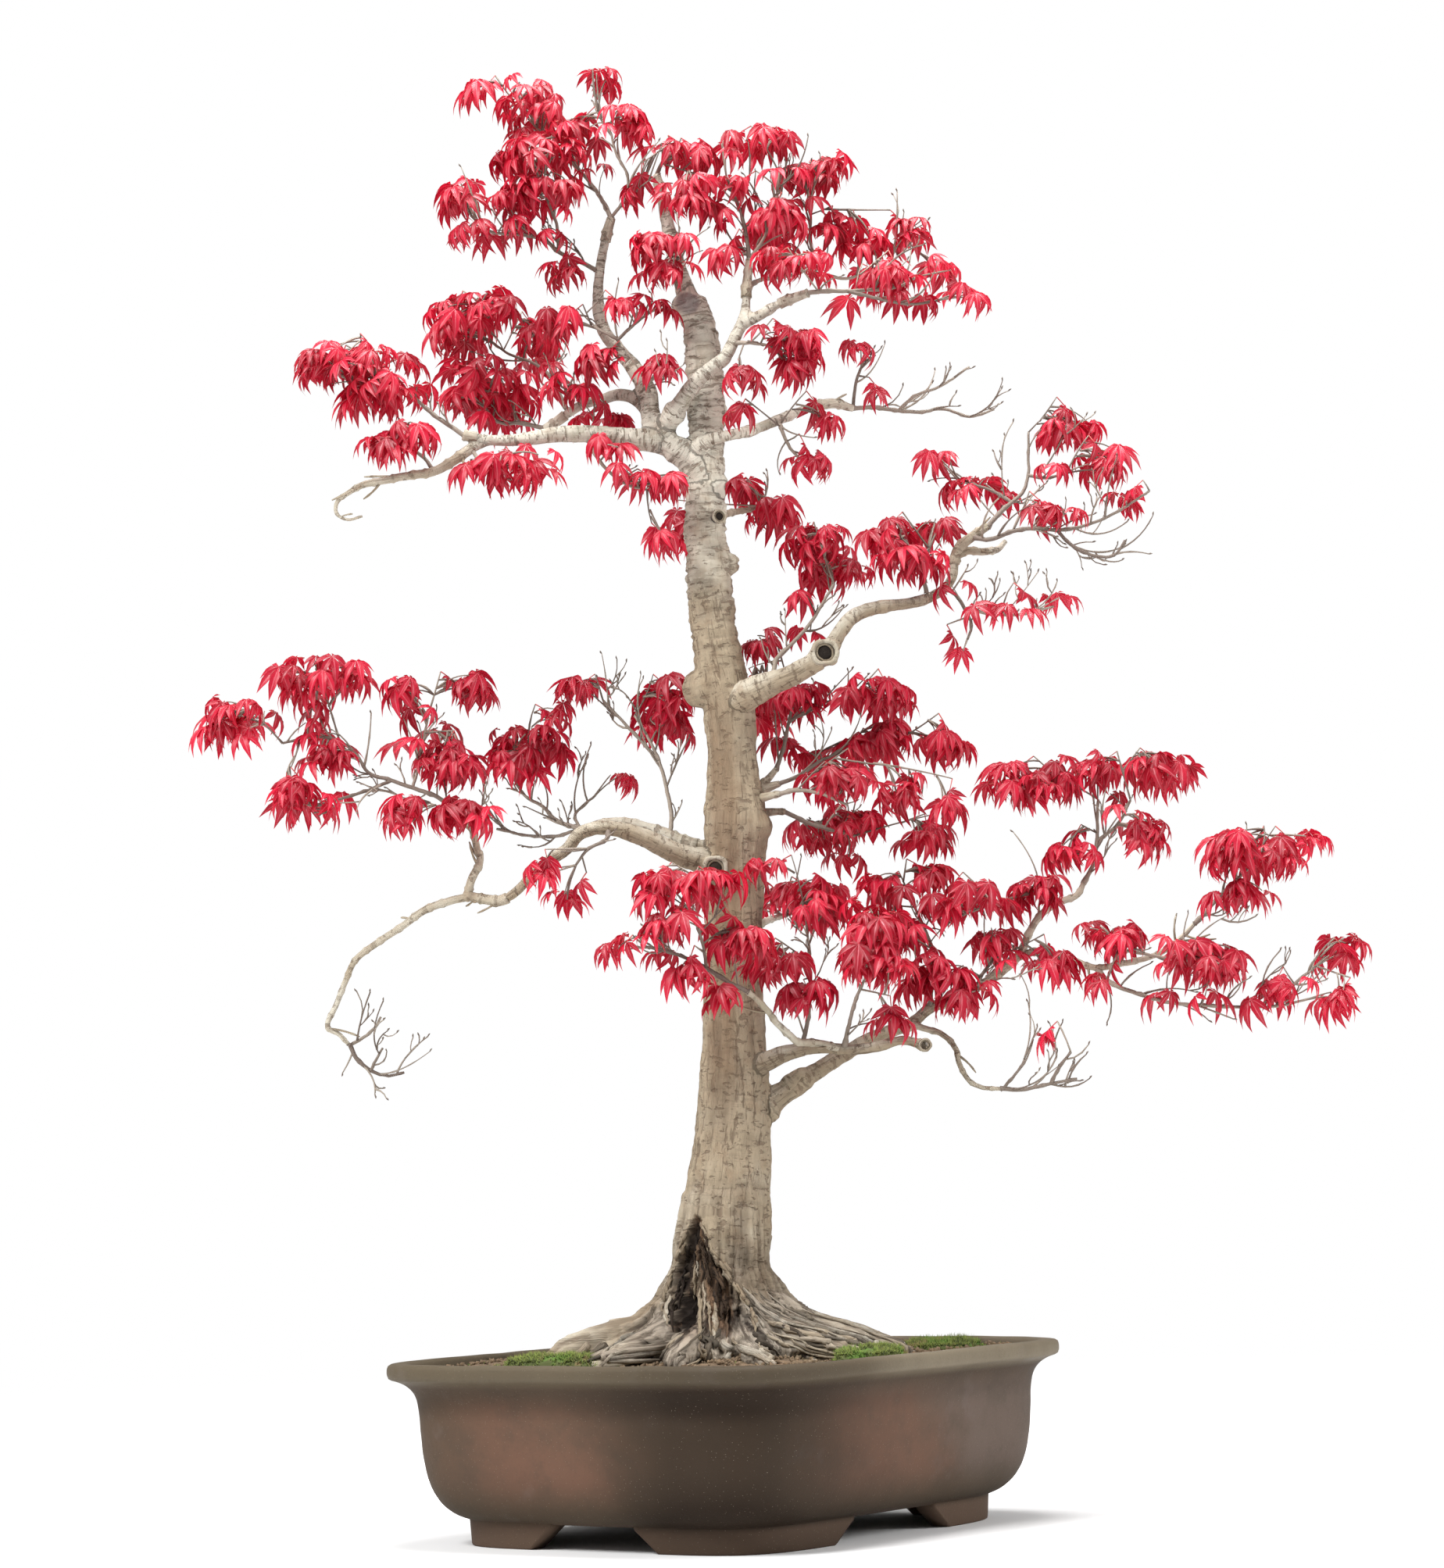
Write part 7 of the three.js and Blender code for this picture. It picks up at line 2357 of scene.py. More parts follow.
    def carve(self, points: Array, coords: tuple) -> tuple[Array, dict[str, Array]]:
        """Args:
            points: places on the even skin.
            coords: result of bark_coordinates.

        Returns:
            The carved places and the point attributes that the bark's colours use.
        """
        _, _, owner, out = coords
        x, z = points[:, 0], points[:, 2]
        trunk, front = owner == 0, points[:, 1] < FRONT_LIMIT
        crown = ramp(z, 250, 150) * trunk
        lift = self.crown_relief(points, crown, ramp(z, 175, 128) * trunk)
        self.add_bark_relief(lift, points, coords)
        looks = self.open_hollow(lift, points, front)
        looks["cut"] = np.zeros(len(points))
        for wound in WOUNDS:
            self.add_wound(wound, lift, looks, points, out)
        moved = points + out * lift[:, None]
        moved[:, 2] = np.where(z < 92, z, moved[:, 2])
        # The limbs' upward faces are made paler: partly lichen-pale bark, partly painted light from above.
        pale = np.clip(0.15 + 0.75 * ramp(z, 560, 760) + (~trunk) * 0.35 * ramp(out[:, 2], -0.5, 0.6), 0, 1)
        looks["pale"] = np.clip(pale + crown * 0.25, 0, 1)
        looks["band"] = ramp(np.abs(x - np.interp(z, *BAND_MIDDLE) + 3), 13, 5) \
            * ramp(z, 240, 330) * ramp(z, 600, 520) * front * trunk
        # Painted shade: where the skin sinks into creases and dents, hollow darkens the bark towards the
        # shade colour.
        looks["hollow"] = np.clip((0.2 - lift) / 3, 0, 1)
        return moved, looks

    def crown_relief(self, points: Array, crown: Array, base: Array) -> Array:
        """Args:
            points: places on the even skin.
            crown: share of the root crown's ridges at each.
            base: share of the rough foot at each.

        Returns:
            How far the ridges and strands of the root crown stand out, in mm.
        """
        z = points[:, 2]
        degrees = np.radians(np.degrees(np.arctan2(points[:, 1], points[:, 0])))
        ring = np.stack([np.cos(degrees), np.sin(degrees)], -1)
        swirl = layered_noise(points / 30, 39, 2) * 0.35
        ridged = np.hstack([ring * 4.6, z[:, None] / 70 + swirl[:, None]])
        ridge = 1 - np.abs(layered_noise(ridged, 41, 3)) * 2.6
        fine = np.hstack([ring * 14, z[:, None] / 30 + swirl[:, None]])
        strand = 1 - np.abs(layered_noise(fine, 43, 3)) * 2.6
        lift = crown * (ridge * 3.2 - 1.8) + crown * (strand - 0.4) * 1.5 + base * (strand - 0.3) * 1.6
        lumps = layered_noise(points / 8, 45, 3) * 2.4 + layered_noise(points / 17, 46, 2) * 2.6
        return lift + (base * lumps - crown * ramp(z, 205, 165) * ramp(z, 122, 136) * 3.0)

    def add_bark_relief(self, lift: Array, points: Array, coords: tuple) -> None:
        """Adds wrinkles, flutes and knots of trunk and limbs.

        Args:
            lift: how far the skin is moved out, which is changed.
            points: places on the even skin.
            coords: result of bark_coordinates.
        """
        local, radius, owner, _ = coords
        z, trunk = points[:, 2], owner == 0
        thick = np.clip(radius / 14, 0.25, 1)
        wrinkle = np.hstack([local[:, :2] / 22, local[:, 2:] / 4.6])
        upper = ramp(z, 540, 640) * trunk + 0.25 * (~trunk)
        lift += upper * thick * (1 - np.abs(layered_noise(wrinkle, 47, 3)) * 2.4 - 0.45) * 1.5
        flutes = np.hstack([local[:, :2] / 7, local[:, 2:] / 55])
        middle = ramp(z, 200, 280) * ramp(z, 640, 560) * trunk
        lift += middle * layered_noise(flutes, 51, 3) * 1.6
        uneven = layered_noise(points / 17, 53, 3) * 1.5 + layered_noise(points / 4.5, 57, 2) * 0.5
        lift += thick * uneven - 0.25
        knotty = layered_noise(np.stack([local[:, 2] / 13, owner * 3.3, owner * 1.7], -1), 59, 2)
        lift += (~trunk) * (np.maximum(knotty - 0.2, 0) * 3.0 - 0.25) * np.clip(radius / 6, 0.4, 1)

    def open_hollow(self, lift: Array, points: Array, front: Array) -> dict[str, Array]:
        """Cuts the hollow with its two clefts and its hole, and flakes the dead wood below it.

        Args:
            lift: how far the skin is moved out, which is changed.
            points: places on the even skin.
            front: whether each place is on the front.

        Returns:
            The attributes dead, rotten and dark.
        """
        x, y, z = points.T
        rag = layered_noise(points / np.array([4.0, 6, 10]), 65, 3)
        off = np.abs(x - np.interp(z, *HOLLOW_MIDDLE)) / np.interp(z, *HOLLOW_HALF)
        hollow = front * ramp(off + rag * 0.5, 0.98, 0.84) * ramp(z + rag * 9, 207, 200) * ramp(z, 122, 132)
        crack = np.abs(x - np.interp(z, *CRACK_MIDDLE)) / np.interp(z, *CRACK_HALF)
        crack = front * ramp(crack + rag * 0.35, 1.05, 0.55) * ramp(z + rag * 5, 206, 196) * ramp(z, 121, 132)
        second = np.abs(x - np.interp(z, *SECOND_MIDDLE)) / np.interp(z, *SECOND_HALF)
        second = front * ramp(second + rag * 0.4, 1.0, 0.6) * ramp(z, 190, 178) * ramp(z, 126, 136)
        hole = front * ramp(np.hypot(x + 31, (z - 142) * 0.7), 9.0, 5.0)
        fibre = layered_noise(np.stack([x / 2.4, y / 6, z / 22], -1), 67, 3)
        lift -= hollow * (3.0 + fibre * 3.0) + crack * 4.6 + second * 3.2 + hole * 7.0
        lips = ramp(np.abs(off + rag * 0.5 - 1.05), 0.16, 0.04)
        lift += front * lips * ramp(z, 206, 198) * ramp(z, 128, 140) * 1.6
        swing = np.interp(x, [-90, -30, 0, 70], [14, 6, -20, -34]) * ramp(z, 170, 115)
        dead = front * ramp(np.abs(x - 2), 92, 44) * ramp(z + rag * 12, 158, 136)
        around = np.degrees(np.arctan2(x, -y)) + swing
        rough = 1 + 0.6 * layered_noise(points / 22, 62, 2)
        flake = 1 - np.abs(layered_noise(np.stack([around / 5.6 * rough, z / 26, x / 60], -1), 61, 4)) * 2.8
        lift += dead * (flake * 3.0 - 2.0)
        # Painted shade: the clefts, the hole and the troughs between the dead wood's flakes are darkened
        # towards black; patches of fibre in the hollow are darkened too.
        dark = np.clip(crack * (0.95 - 0.45 * ramp(fibre, 0.1, 0.5)) + hole * 1.3, 0, 1)
        for part in (
            second * (0.75 - 0.6 * ramp(fibre, -0.1, 0.35)), hollow * 0.8 * ramp(fibre, -0.12, -0.45),
            dead * ramp(flake, 0.3, -0.3) * 0.9,
        ):
            dark = np.maximum(dark, part)
        rotten = hollow * (1 - 0.6 * ramp(np.abs(x + 22), 8, 4) * ramp(z, 186, 176))
        return {"dead": dead, "rotten": rotten, "dark": dark}

    def add_wound(
        self, wound: Wound, lift: Array, looks: dict[str, Array], points: Array, out: Array,
    ) -> None:
        """Cuts a round scar with a raised lip.

        Args:
            wound: the scar.
            lift: how far the skin is moved out, which is changed.
            looks: point attributes, of which cut and dark are changed.
            points: places on the even skin.
            out: directions out of it.
        """
        rel = points - np.array(wound.at)
        axis = unit(np.array(wound.out))
        deep = rel @ axis
        off = np.linalg.norm(rel - deep[:, None] * axis, axis=1) / wound.radius
        near = (np.abs(deep) < wound.radius * 1.6) & (off < 2) & ((out * axis).sum(1) > 0.1)
        ragged = off * (1 + 0.12 * layered_noise(points / 4, 63, 2))
        lift += near * (np.exp(-(((ragged - 1.12) / 0.28) ** 2)) * wound.radius * 0.16
                        - ramp(ragged, 1.05, 0.75) * wound.depth)
        inside = near * ramp(ragged, 1.0, 0.82)
        looks["cut"] = np.maximum(looks["cut"], inside)
        # Painted shade: the cut darkens towards its middle, where the wound is hollow.
        looks["dark"] = np.maximum(looks["dark"], inside * wound.dark * ramp(ragged, 1.0, 0.3) ** 0.5)

    def bar(
        self, shape: Shape, points: Array, radii: Array, sides: int, shift: float, **looks: float,
    ) -> None:
        """Adds a thin bar with bark coordinates of its own.

        Args:
            shape: the wood.
            points: places along its middle.
            radii: radius at each place.
            sides: sides of its section.
            shift: start of its coordinate along the bark.
            **looks: the point attributes of the bark.
        """
        length = run_along(points) * 0.45 + shift
        turns = np.linspace(0, 2 * np.pi, sides, endpoint=False)
        ring = np.stack([np.cos(turns), np.sin(turns), 0 * turns], -1)
        bark = ring[None] * radii[:, None, None] + length[:, None, None] * [0, 0, 1]
        ends = [[0, 0, length[0]], [0, 0, length[-1]]]
        shape.tube(points, radii, sides, **{**dict.fromkeys(BARK_LOOKS, 0.0), **looks})
        shape.attrs["bark"].append(np.vstack([bark.reshape(-1, 3), ends]))

    def lighten(self, piece: bpy.types.Object) -> None:
        """Takes triangles away where the skin is smooth."""
        faces = sum(len(face.vertices) - 2 for face in piece.data.polygons)
        fewer = piece.modifiers.new("fewer", "DECIMATE")
        fewer.ratio = min(1.0, self.kept / faces)
        bpy.context.view_layer.objects.active = piece
        bpy.ops.object.modifier_apply(modifier=fewer.name)

    def thin_roots(self, shape: Shape, place: Placer) -> None:
        """Adds thin roots that run out over the soil.

        Args:
            shape: the wood.
            place: the frames.
        """
        rng = np.random.default_rng(89)
        ground = Ground()
        for start, near, length in (
            (178, 112, 40), (186, 106, 46), (195, 96, 44), (205, 84, 40), (217, 78, 34), (232, 64, 30),
            (252, 60, 26), (285, 62, 24), (318, 80, 30), (334, 92, 34), (350, 106, 30), (2, 110, 30),
            (22, 92, 26), (60, 78, 28), (100, 72, 30), (140, 80, 32),
        ):
            for _ in range(2):
                t = np.linspace(0, 1, 14)
                bend = np.cumsum(rng.normal(0, 1.6, len(t))) + rng.normal(0, 5)
                reach = near - 8 + length * rng.uniform(0.6, 1.1) * t
                angle = np.radians(start + bend)
                flat = np.stack([reach * np.cos(angle), reach * np.sin(angle), 0 * t], -1)
                radii = np.linspace(rng.uniform(1.6, 3.2), 0.6, len(t))
                height = ground.height((flat @ place.turn.T)[:, :2]) - TREE_LIFT
                flat[:, 2] = height + radii * 0.45 + np.maximum(0, 6 - 24 * t) + rng.normal(0, 0.25, len(t))
                self.bar(shape, flat, radii, 7, rng.uniform(0, 900), pale=0.1, dead=rng.uniform(0.3, 0.8),
                         dark=rng.uniform(0.1, 0.5))

    def thin_parts(self, shape: Shape) -> None:
        """Adds the thin ends of the limbs as finer bars with the rings of old buds."""
        rng = np.random.default_rng(77)
        for number, bends in enumerate(LIMBS.values(), 1):
            course = smooth_route(bends, 1.6)
            thin = np.flatnonzero(course[:, 3] < self.thin + 0.35)
            if len(thin) < 3:
                continue
            course = course[max(thin[0] - 4, 0):]
            points, radii = course[:, :3], course[:, 3].copy()
            length = run_along(points)
            for spot in np.arange(rng.uniform(4, 10), length[-1], 13):
                radii *= 1 + 0.26 * np.exp(-(((length - spot - rng.uniform(-3, 3)) / 1.3) ** 2))
            points = points + lattice_noise(points / 6, 5)[:, None] * 0.35
            # hollow=0.1 gives the thin limb ends a little of the painted crease shade all over.
            self.bar(shape, points, radii, 12, 97.0 * number, pale=0.55, hollow=0.1)
            self.spurs(shape, points, radii, rng)

    def spurs(self, shape: Shape, points: Array, radii: Array, rng: Rng) -> None:
        """Adds short bare side twigs to a thin limb."""
        for k in range(4, len(points) - 3):
            if rng.random() > 0.055 or points[k, 2] < 150:
                continue
            along = unit(points[k + 1] - points[k - 1])
            away = unit(np.cross(along, rng.normal(size=3)))
            length = rng.uniform(5, 24)
            t = np.linspace(0, 1, 6)[:, None]
            way = unit(along * rng.uniform(0.2, 1.0) + away)
            course = points[k] + way * length * t + (along - away * 0.4) * length * 0.3 * t * t
            thick = np.linspace(min(radii[k] * 0.55, 1.1), 0.45, 6)
            thick[-2] *= 1.5
            self.bar(shape, course, thick, 6, rng.uniform(0, 900), pale=0.3, dark=0.1)

    def scars(self, shape: Shape) -> None:
        """Adds the raised lips of old wounds and black plugs inside them; the plugs and the darker inner lips
        are painted shade in the wounds' hollows.
        """
        for number, wound in enumerate(WOUNDS):
            if not wound.dark:
                continue
            axis = unit(np.array(wound.out, float))
            side = unit(np.cross(axis, [0, 0, 1.0]))
            across = np.cross(side, axis)
            middle = np.array(wound.at) + axis * wound.radius * 0.2
            for lap, (reach, out, thick) in enumerate(((1.0, 0.12, 0.2), (0.72, 0.05, 0.13))):
                turns = np.linspace(0, 2 * np.pi, 29)
                spots = [np.cos(turns) * 1.6, np.sin(turns) * 1.6, 0 * turns + number + 9 * lap]
                wobble = 1 + 0.09 * lattice_noise(np.stack(spots, -1), 91)
                ring = (side * np.cos(turns)[:, None] + across * np.sin(turns)[:, None]) * (
                    wound.radius * reach * wobble)[:, None]
                radii = wound.radius * thick * wobble**2
                self.bar(shape, middle + ring + axis * wound.radius * out, radii, 8, 50.0 * number,
                         pale=0.5 - 0.3 * lap, dark=0.15 + 0.35 * lap)
            plug = middle + axis * wound.radius * np.linspace(-0.35, 0.06, 4)[:, None]
            self.bar(shape, plug, wound.radius * np.array([0.4, 0.66, 0.66, 0.5]), 18, 0.0,
                     dark=0.7 + 0.3 * wound.dark)


@dataclass
class Deadwood:
    """Strips of dead wood that lie on the skin of the root crown."""

    wood: Wood
    shape: Shape
    skin: Array
    flaking: int = 170
    fibres: int = 70
    lowest: float = 100.0
    highest: float = 212.0
    half_width: float = 80.0
    cell: float = 2.0
    steepest: float = 6.0

    def __post_init__(self) -> None:
        """Makes tables of the skin over height: its radius by angle, and its foremost y by x."""
        low = self.skin[(self.skin[:, 2] > self.lowest) & (self.skin[:, 2] < self.highest)]
        x, y, z = low.T
        levels = int((self.highest - self.lowest) / self.cell) + 1
        self.table = np.zeros((int(360 / self.cell) + 1, levels))
        np.maximum.at(self.table, self.cells(np.degrees(np.arctan2(y, x)) + 180, z), np.hypot(x, y))
        self.face = np.zeros((int(2 * self.half_width / self.cell), levels))
        np.minimum.at(self.face, self.cells(self.across(x), z), y)
        self.rng = np.random.default_rng(83)

    def across(self, x: Array) -> Array:
        """Distance from the front table's left end, kept inside the table."""
        return np.clip(x + self.half_width, 0, 2 * self.half_width - self.cell)

    def cells(self, first: Array, heights: Array) -> tuple[Array, Array]:
        """Args:
            first: degrees or mm from the start of a table.
            heights: heights in mm.

        Returns:
            The cell of each in that table.
        """
        return (first / self.cell).astype(int), ((heights - self.lowest) / self.cell).astype(int)

    @staticmethod
    def softened(values: Array) -> Array:
        """A row of values, each mixed with its neighbours."""
        return np.convolve(np.pad(values, 1, mode="edge"), [0.25, 0.5, 0.25], "valid")

    def lay(self, degrees: Array, heights: Array, thick: Array, sink: float, **looks: float) -> None:
        """Adds a strip on the skin.

        Args:
            degrees: angle around the trunk at each of its places.
            heights: height of each.
            thick: its radius at each.
            sink: how far it stands out, in radii.
            **looks: the point attributes of the bark.
        """
        turn, level = self.cells(degrees + 180, heights)
        reach = self.softened(self.table[turn % len(self.table), level]) + thick * sink
        around = np.radians(degrees)
        points = np.stack([reach * np.cos(around), reach * np.sin(around), heights], -1)
        self.wood.bar(self.shape, points, np.maximum(thick, 0.25), 5, self.rng.uniform(0, 900), **looks)

    def flakes(self) -> None:
        """Lays flaking strips down the front of the crown; they fan out to the right."""
        rng = self.rng
        for _ in range(self.flaking):
            start = rng.uniform(-168, -4)
            top = rng.uniform(117, np.interp(start, [-168, -120, -60, -4], [136, 158, 160, 140]))
            low = max(108, top - rng.uniform(7, 30))
            fan = np.interp(start, [-168, -120, -95, -60, -4], [-14, -16, 8, 52, 10]) * rng.uniform(0.4, 1.3)
            t = np.linspace(0, 1, 12)
            heights = top + (low - top) * t
            wave = lattice_noise(np.stack([t * 4, 0 * t + start, 0 * t], -1), 85)
            degrees = start + fan * t * (top - low) / 45 + 3 * wave
            thick = rng.uniform(0.75, 1.8) ** 1.7 * (1 - (2 * t - 1) ** 4 * 0.8)
            thick *= 1 + 0.4 * lattice_noise(np.stack([t * 7, 0 * t + start, 0 * t + 3], -1), 87)
            x = 42 * np.cos(np.radians(start))
            if top > 133 and abs(x + 17) < 27:
                continue
            shade = rng.uniform(0.5, 0.9) if rng.random() < 0.35 else rng.uniform(0, 0.2)
            self.lay(degrees, heights, thick, rng.uniform(-0.2, 0.55), pale=rng.uniform(0, 0.7),
                     dead=rng.uniform(0.1, 1.0), dark=shade)

    def rot(self) -> None:
        """Lays brown fibres in the hollow and broken lips of bark along its edges."""
        rng = self.rng
        for _ in range(self.fibres):
            top = rng.uniform(136, 200)
            low = max(124, top - rng.uniform(8, 30))
            t = np.linspace(0, 1, 10)
            heights = top + (low - top) * t
            x = -19 + np.interp(heights, *TONGUE_HALF) * rng.uniform(-1, 1) + rng.normal(0, 0.5, 10)
            in_crack = abs(x.mean() - np.interp(heights.mean(), *CRACK_MIDDLE)) < 6.5
            in_second = abs(x.mean() - np.interp(heights.mean(), *SECOND_MIDDLE)) < 7
            # Painted shade: fibres in the main cleft are nearly black, and those in the second cleft are
            # darker, as the clefts' shade.
            shade = rng.uniform(*((0.9, 1) if in_crack else (0.45, 0.85) if in_second else (0, 0.12)))
            thick = rng.uniform(0.6, 1.2 if in_crack else 1.7) * (1 - (2 * t - 1) ** 4 * 0.7)
            self.along(x, heights, thick, 0.1 if in_crack else rng.uniform(0, 0.7),
                       rotten=1.0 if in_crack or in_second else rng.uniform(0, 0.3), dark=shade,
                       pale=rng.uniform(0.2, 0.7))
        for lip in (LEFT_LIP, RIGHT_LIP):
            for _ in range(16):
                top = rng.uniform(136, 206)
                t = np.linspace(0, 1, 8)
                heights = top - rng.uniform(5, 14) * t
                x = np.interp(heights, *lip) + rng.normal(0, 1.4) + rng.normal(0, 0.4, 8)
                thick = rng.uniform(0.8, 2.0) * (1 - (2 * t - 1) ** 4 * 0.75)
                self.along(x, heights, thick, 0.5, pale=rng.uniform(0, 0.4), dark=rng.uniform(0, 0.3),
                           rotten=rng.uniform(0, 0.35))

    def along(self, x: Array, heights: Array, thick: Array, sink: float, **looks: float) -> None:
        """Adds a strip through given x places on the front of the skin."""
        depth = self.softened(self.face[self.cells(self.across(x), heights)]) - thick * sink
        if np.abs(np.diff(depth)).max() > self.steepest:
            return
        points = np.stack([x, depth, heights], -1)
        self.wood.bar(self.shape, points, np.maximum(thick, 0.25), 5, self.rng.uniform(0, 900), **looks)


# Finishes


@dataclass(frozen=True)
class Stoneware:
    """Unglazed brown stoneware: worn olive-grey lip, red-brown body and feet, fine pits and specks, with
    painted shade at the near corner, in the cove under the lip and on the lower band.
    """

    body: Colour = (0.066, 0.045, 0.029)
    grey: Colour = (0.095, 0.077, 0.049)
    red: Colour = (0.125, 0.064, 0.042)
    pale: Colour = (0.25, 0.21, 0.16)
    mauve: Colour = (0.115, 0.085, 0.07)
    smoke: Colour = (0.05, 0.039, 0.028)
    worn: Colour = (0.17, 0.142, 0.1)
    foot: Colour = (0.115, 0.072, 0.05)
    bloom: Colour = (0.19, 0.165, 0.165)
    # Colour of the painted shade
    painted_shade: Colour = (0.016, 0.009, 0.0045)
    speck: Colour = (0.035, 0.025, 0.02)

    def make(self) -> bpy.types.Material:
        """Returns:
            The material.
        """
        s = Shader("stoneware")
        where = s.place()
        height = s.node("ShaderNodeSeparateXYZ", "Z", [where])
        cloud = s.noise(where, 6, 3, 0.5)
        streak = s.noise(where.stretched(1, 1, 0.25), 38, 4, 0.6)
        across = [where, (-math.cos(TREE_TURN), -math.sin(TREE_TURN), 0.0)]
        sideways = s.node("ShaderNodeVectorMath", "Value", across, operation="DOT_PRODUCT")
        sideways = sideways + (cloud - 0.5) * 0.09
        rim = height.step(0.105, 0.112)
        middle = height.step(0.012, 0.05) * height.step(0.108, 0.09)
        left = sideways.step(0.07, 0.14) * sideways.step(0.26, 0.18) * middle
        colour = s.mix(left * cloud.step(0.2, 0.55) * 0.85, self.body, self.red)
        near = sideways.step(-0.11, -0.075) * sideways.step(0.01, -0.04) * middle
        colour = s.mix(near * (0.35 + 0.8 * cloud), colour, self.red)
        far = sideways.step(-0.08, -0.11) * middle
        colour = s.mix(far * (0.3 + 0.7 * cloud), colour, self.mauve)
        colour = s.mix(s.noise(where, 26, 5, 0.7).step(0.4, 0.75) * 0.5, colour, self.smoke)
        foot_band = height.step(0.05, 0.02) * height.step(0.012, 0.02)
        colour = s.mix((rim * 0.85 + foot_band * 0.35) * (0.6 + 0.5 * streak), colour, self.grey)
        colour = s.mix(rim * sideways.step(-0.03, -0.1) * (0.3 + 0.7 * streak), colour, self.worn)
        feet = height.step(0.02, 0.015)
        colour = s.mix(feet * 0.55, colour, self.foot)
        faint = s.noise(where, 22, 4, 0.65).step(0.56, 0.72)
        colour = s.mix(faint * 0.1 * (1 - feet), colour, self.bloom)
        # Painted shade: the near corner, where both faces turn away from the light, the cove under the lip
        # and the lower band are darkened towards the shade colour.
        corner = sideways.step(0.155, 0.065) * sideways.step(-0.09, 0.025)
        low = height.step(0.06, 0.018) * height.step(0.013, 0.018)
        cove = height.step(0.082, 0.095) * (1 - rim)
        shade = corner * (0.78 - 0.3 * rim - 0.25 * feet) + low * 0.32 + cove * 0.25
        colour = s.mix(shade * (0.85 + 0.3 * cloud), colour, self.painted_shade)
        specks = s.cells(where, 620).step(0.2, 0.08)
        colour = s.mix(specks * 0.5, colour, self.speck)
        grains = s.cells(where.moved(s.node("ShaderNodeCombineXYZ", "Vector", [0.31, 0.17, 0.05])), 430)
        colour = s.mix(grains.step(0.13, 0.05) * 0.5, colour, self.pale)
        relief = s.noise(where, 420, 4, 0.65) * 0.55 + streak * 0.5 - specks * 0.4
        rough = 0.62 + 0.2 * cloud - 0.1 * rim
        normal = s.bump(relief, 0.0006, 0.7)
        return s.finish(Base_Color=colour, Roughness=rough, Specular_IOR_Level=0.15, Normal=normal)


@dataclass(frozen=True)
class Earth:
    """Dry brown soil and litter; each crumb has a tone of its own."""

    dark: Colour = (0.035, 0.022, 0.013)
    light: Colour = (0.28, 0.19, 0.11)
    dusty: Colour = (0.2, 0.17, 0.11)
    green: Colour = (0.1, 0.13, 0.03)

    def make(self) -> bpy.types.Material:
        """Returns:
            The material.
        """
        s = Shader("soil")
        where = s.place()
        tone = s.attribute("tone")
        fine = s.noise(where, 520, 5, 0.7)
        colour = s.mix(tone * 0.75 + fine * 0.45 - 0.12, self.dark, self.light)
        patch = s.noise(where, 30, 3).step(0.5, 0.68)
        colour = s.mix(patch * 0.3, colour, self.dusty)
        green = s.noise(where, 17, 3).step(0.6, 0.72)
        colour = s.mix(green * fine * 0.6, colour, self.green)
        return s.finish(Base_Color=colour, Roughness=0.95, Normal=s.bump(fine, 0.0008, 0.8))


@dataclass(frozen=True)
class Turf:
    """Moss: dark between the tufts, yellow-green at the tips."""

    deep: Colour = (0.03, 0.035, 0.01)
    tips: Colour = (0.2, 0.25, 0.04)
    fresh: Colour = (0.1, 0.23, 0.02)
    dry: Colour = (0.2, 0.135, 0.055)
    glow: Colour = (0.14, 0.22, 0.03)

    def make(self) -> bpy.types.Material:
        """Returns:
            The material.
        """
        s = Shader("moss")
        tone = s.attribute("tone")
        patch = s.noise(s.place(), 60, 3)
        colour = s.mix(tone.step(0.1, 0.95), self.deep, self.tips)
        colour = s.mix(patch.step(0.5, 0.66) * 0.6, colour, self.fresh)
        dry = s.noise(s.place(), 95, 3).step(0.54, 0.64)
        colour = s.mix(dry * 0.7, colour, self.dry)
        return s.finish(glow=self.glow, share=0.1, Base_Color=colour, Roughness=0.8)


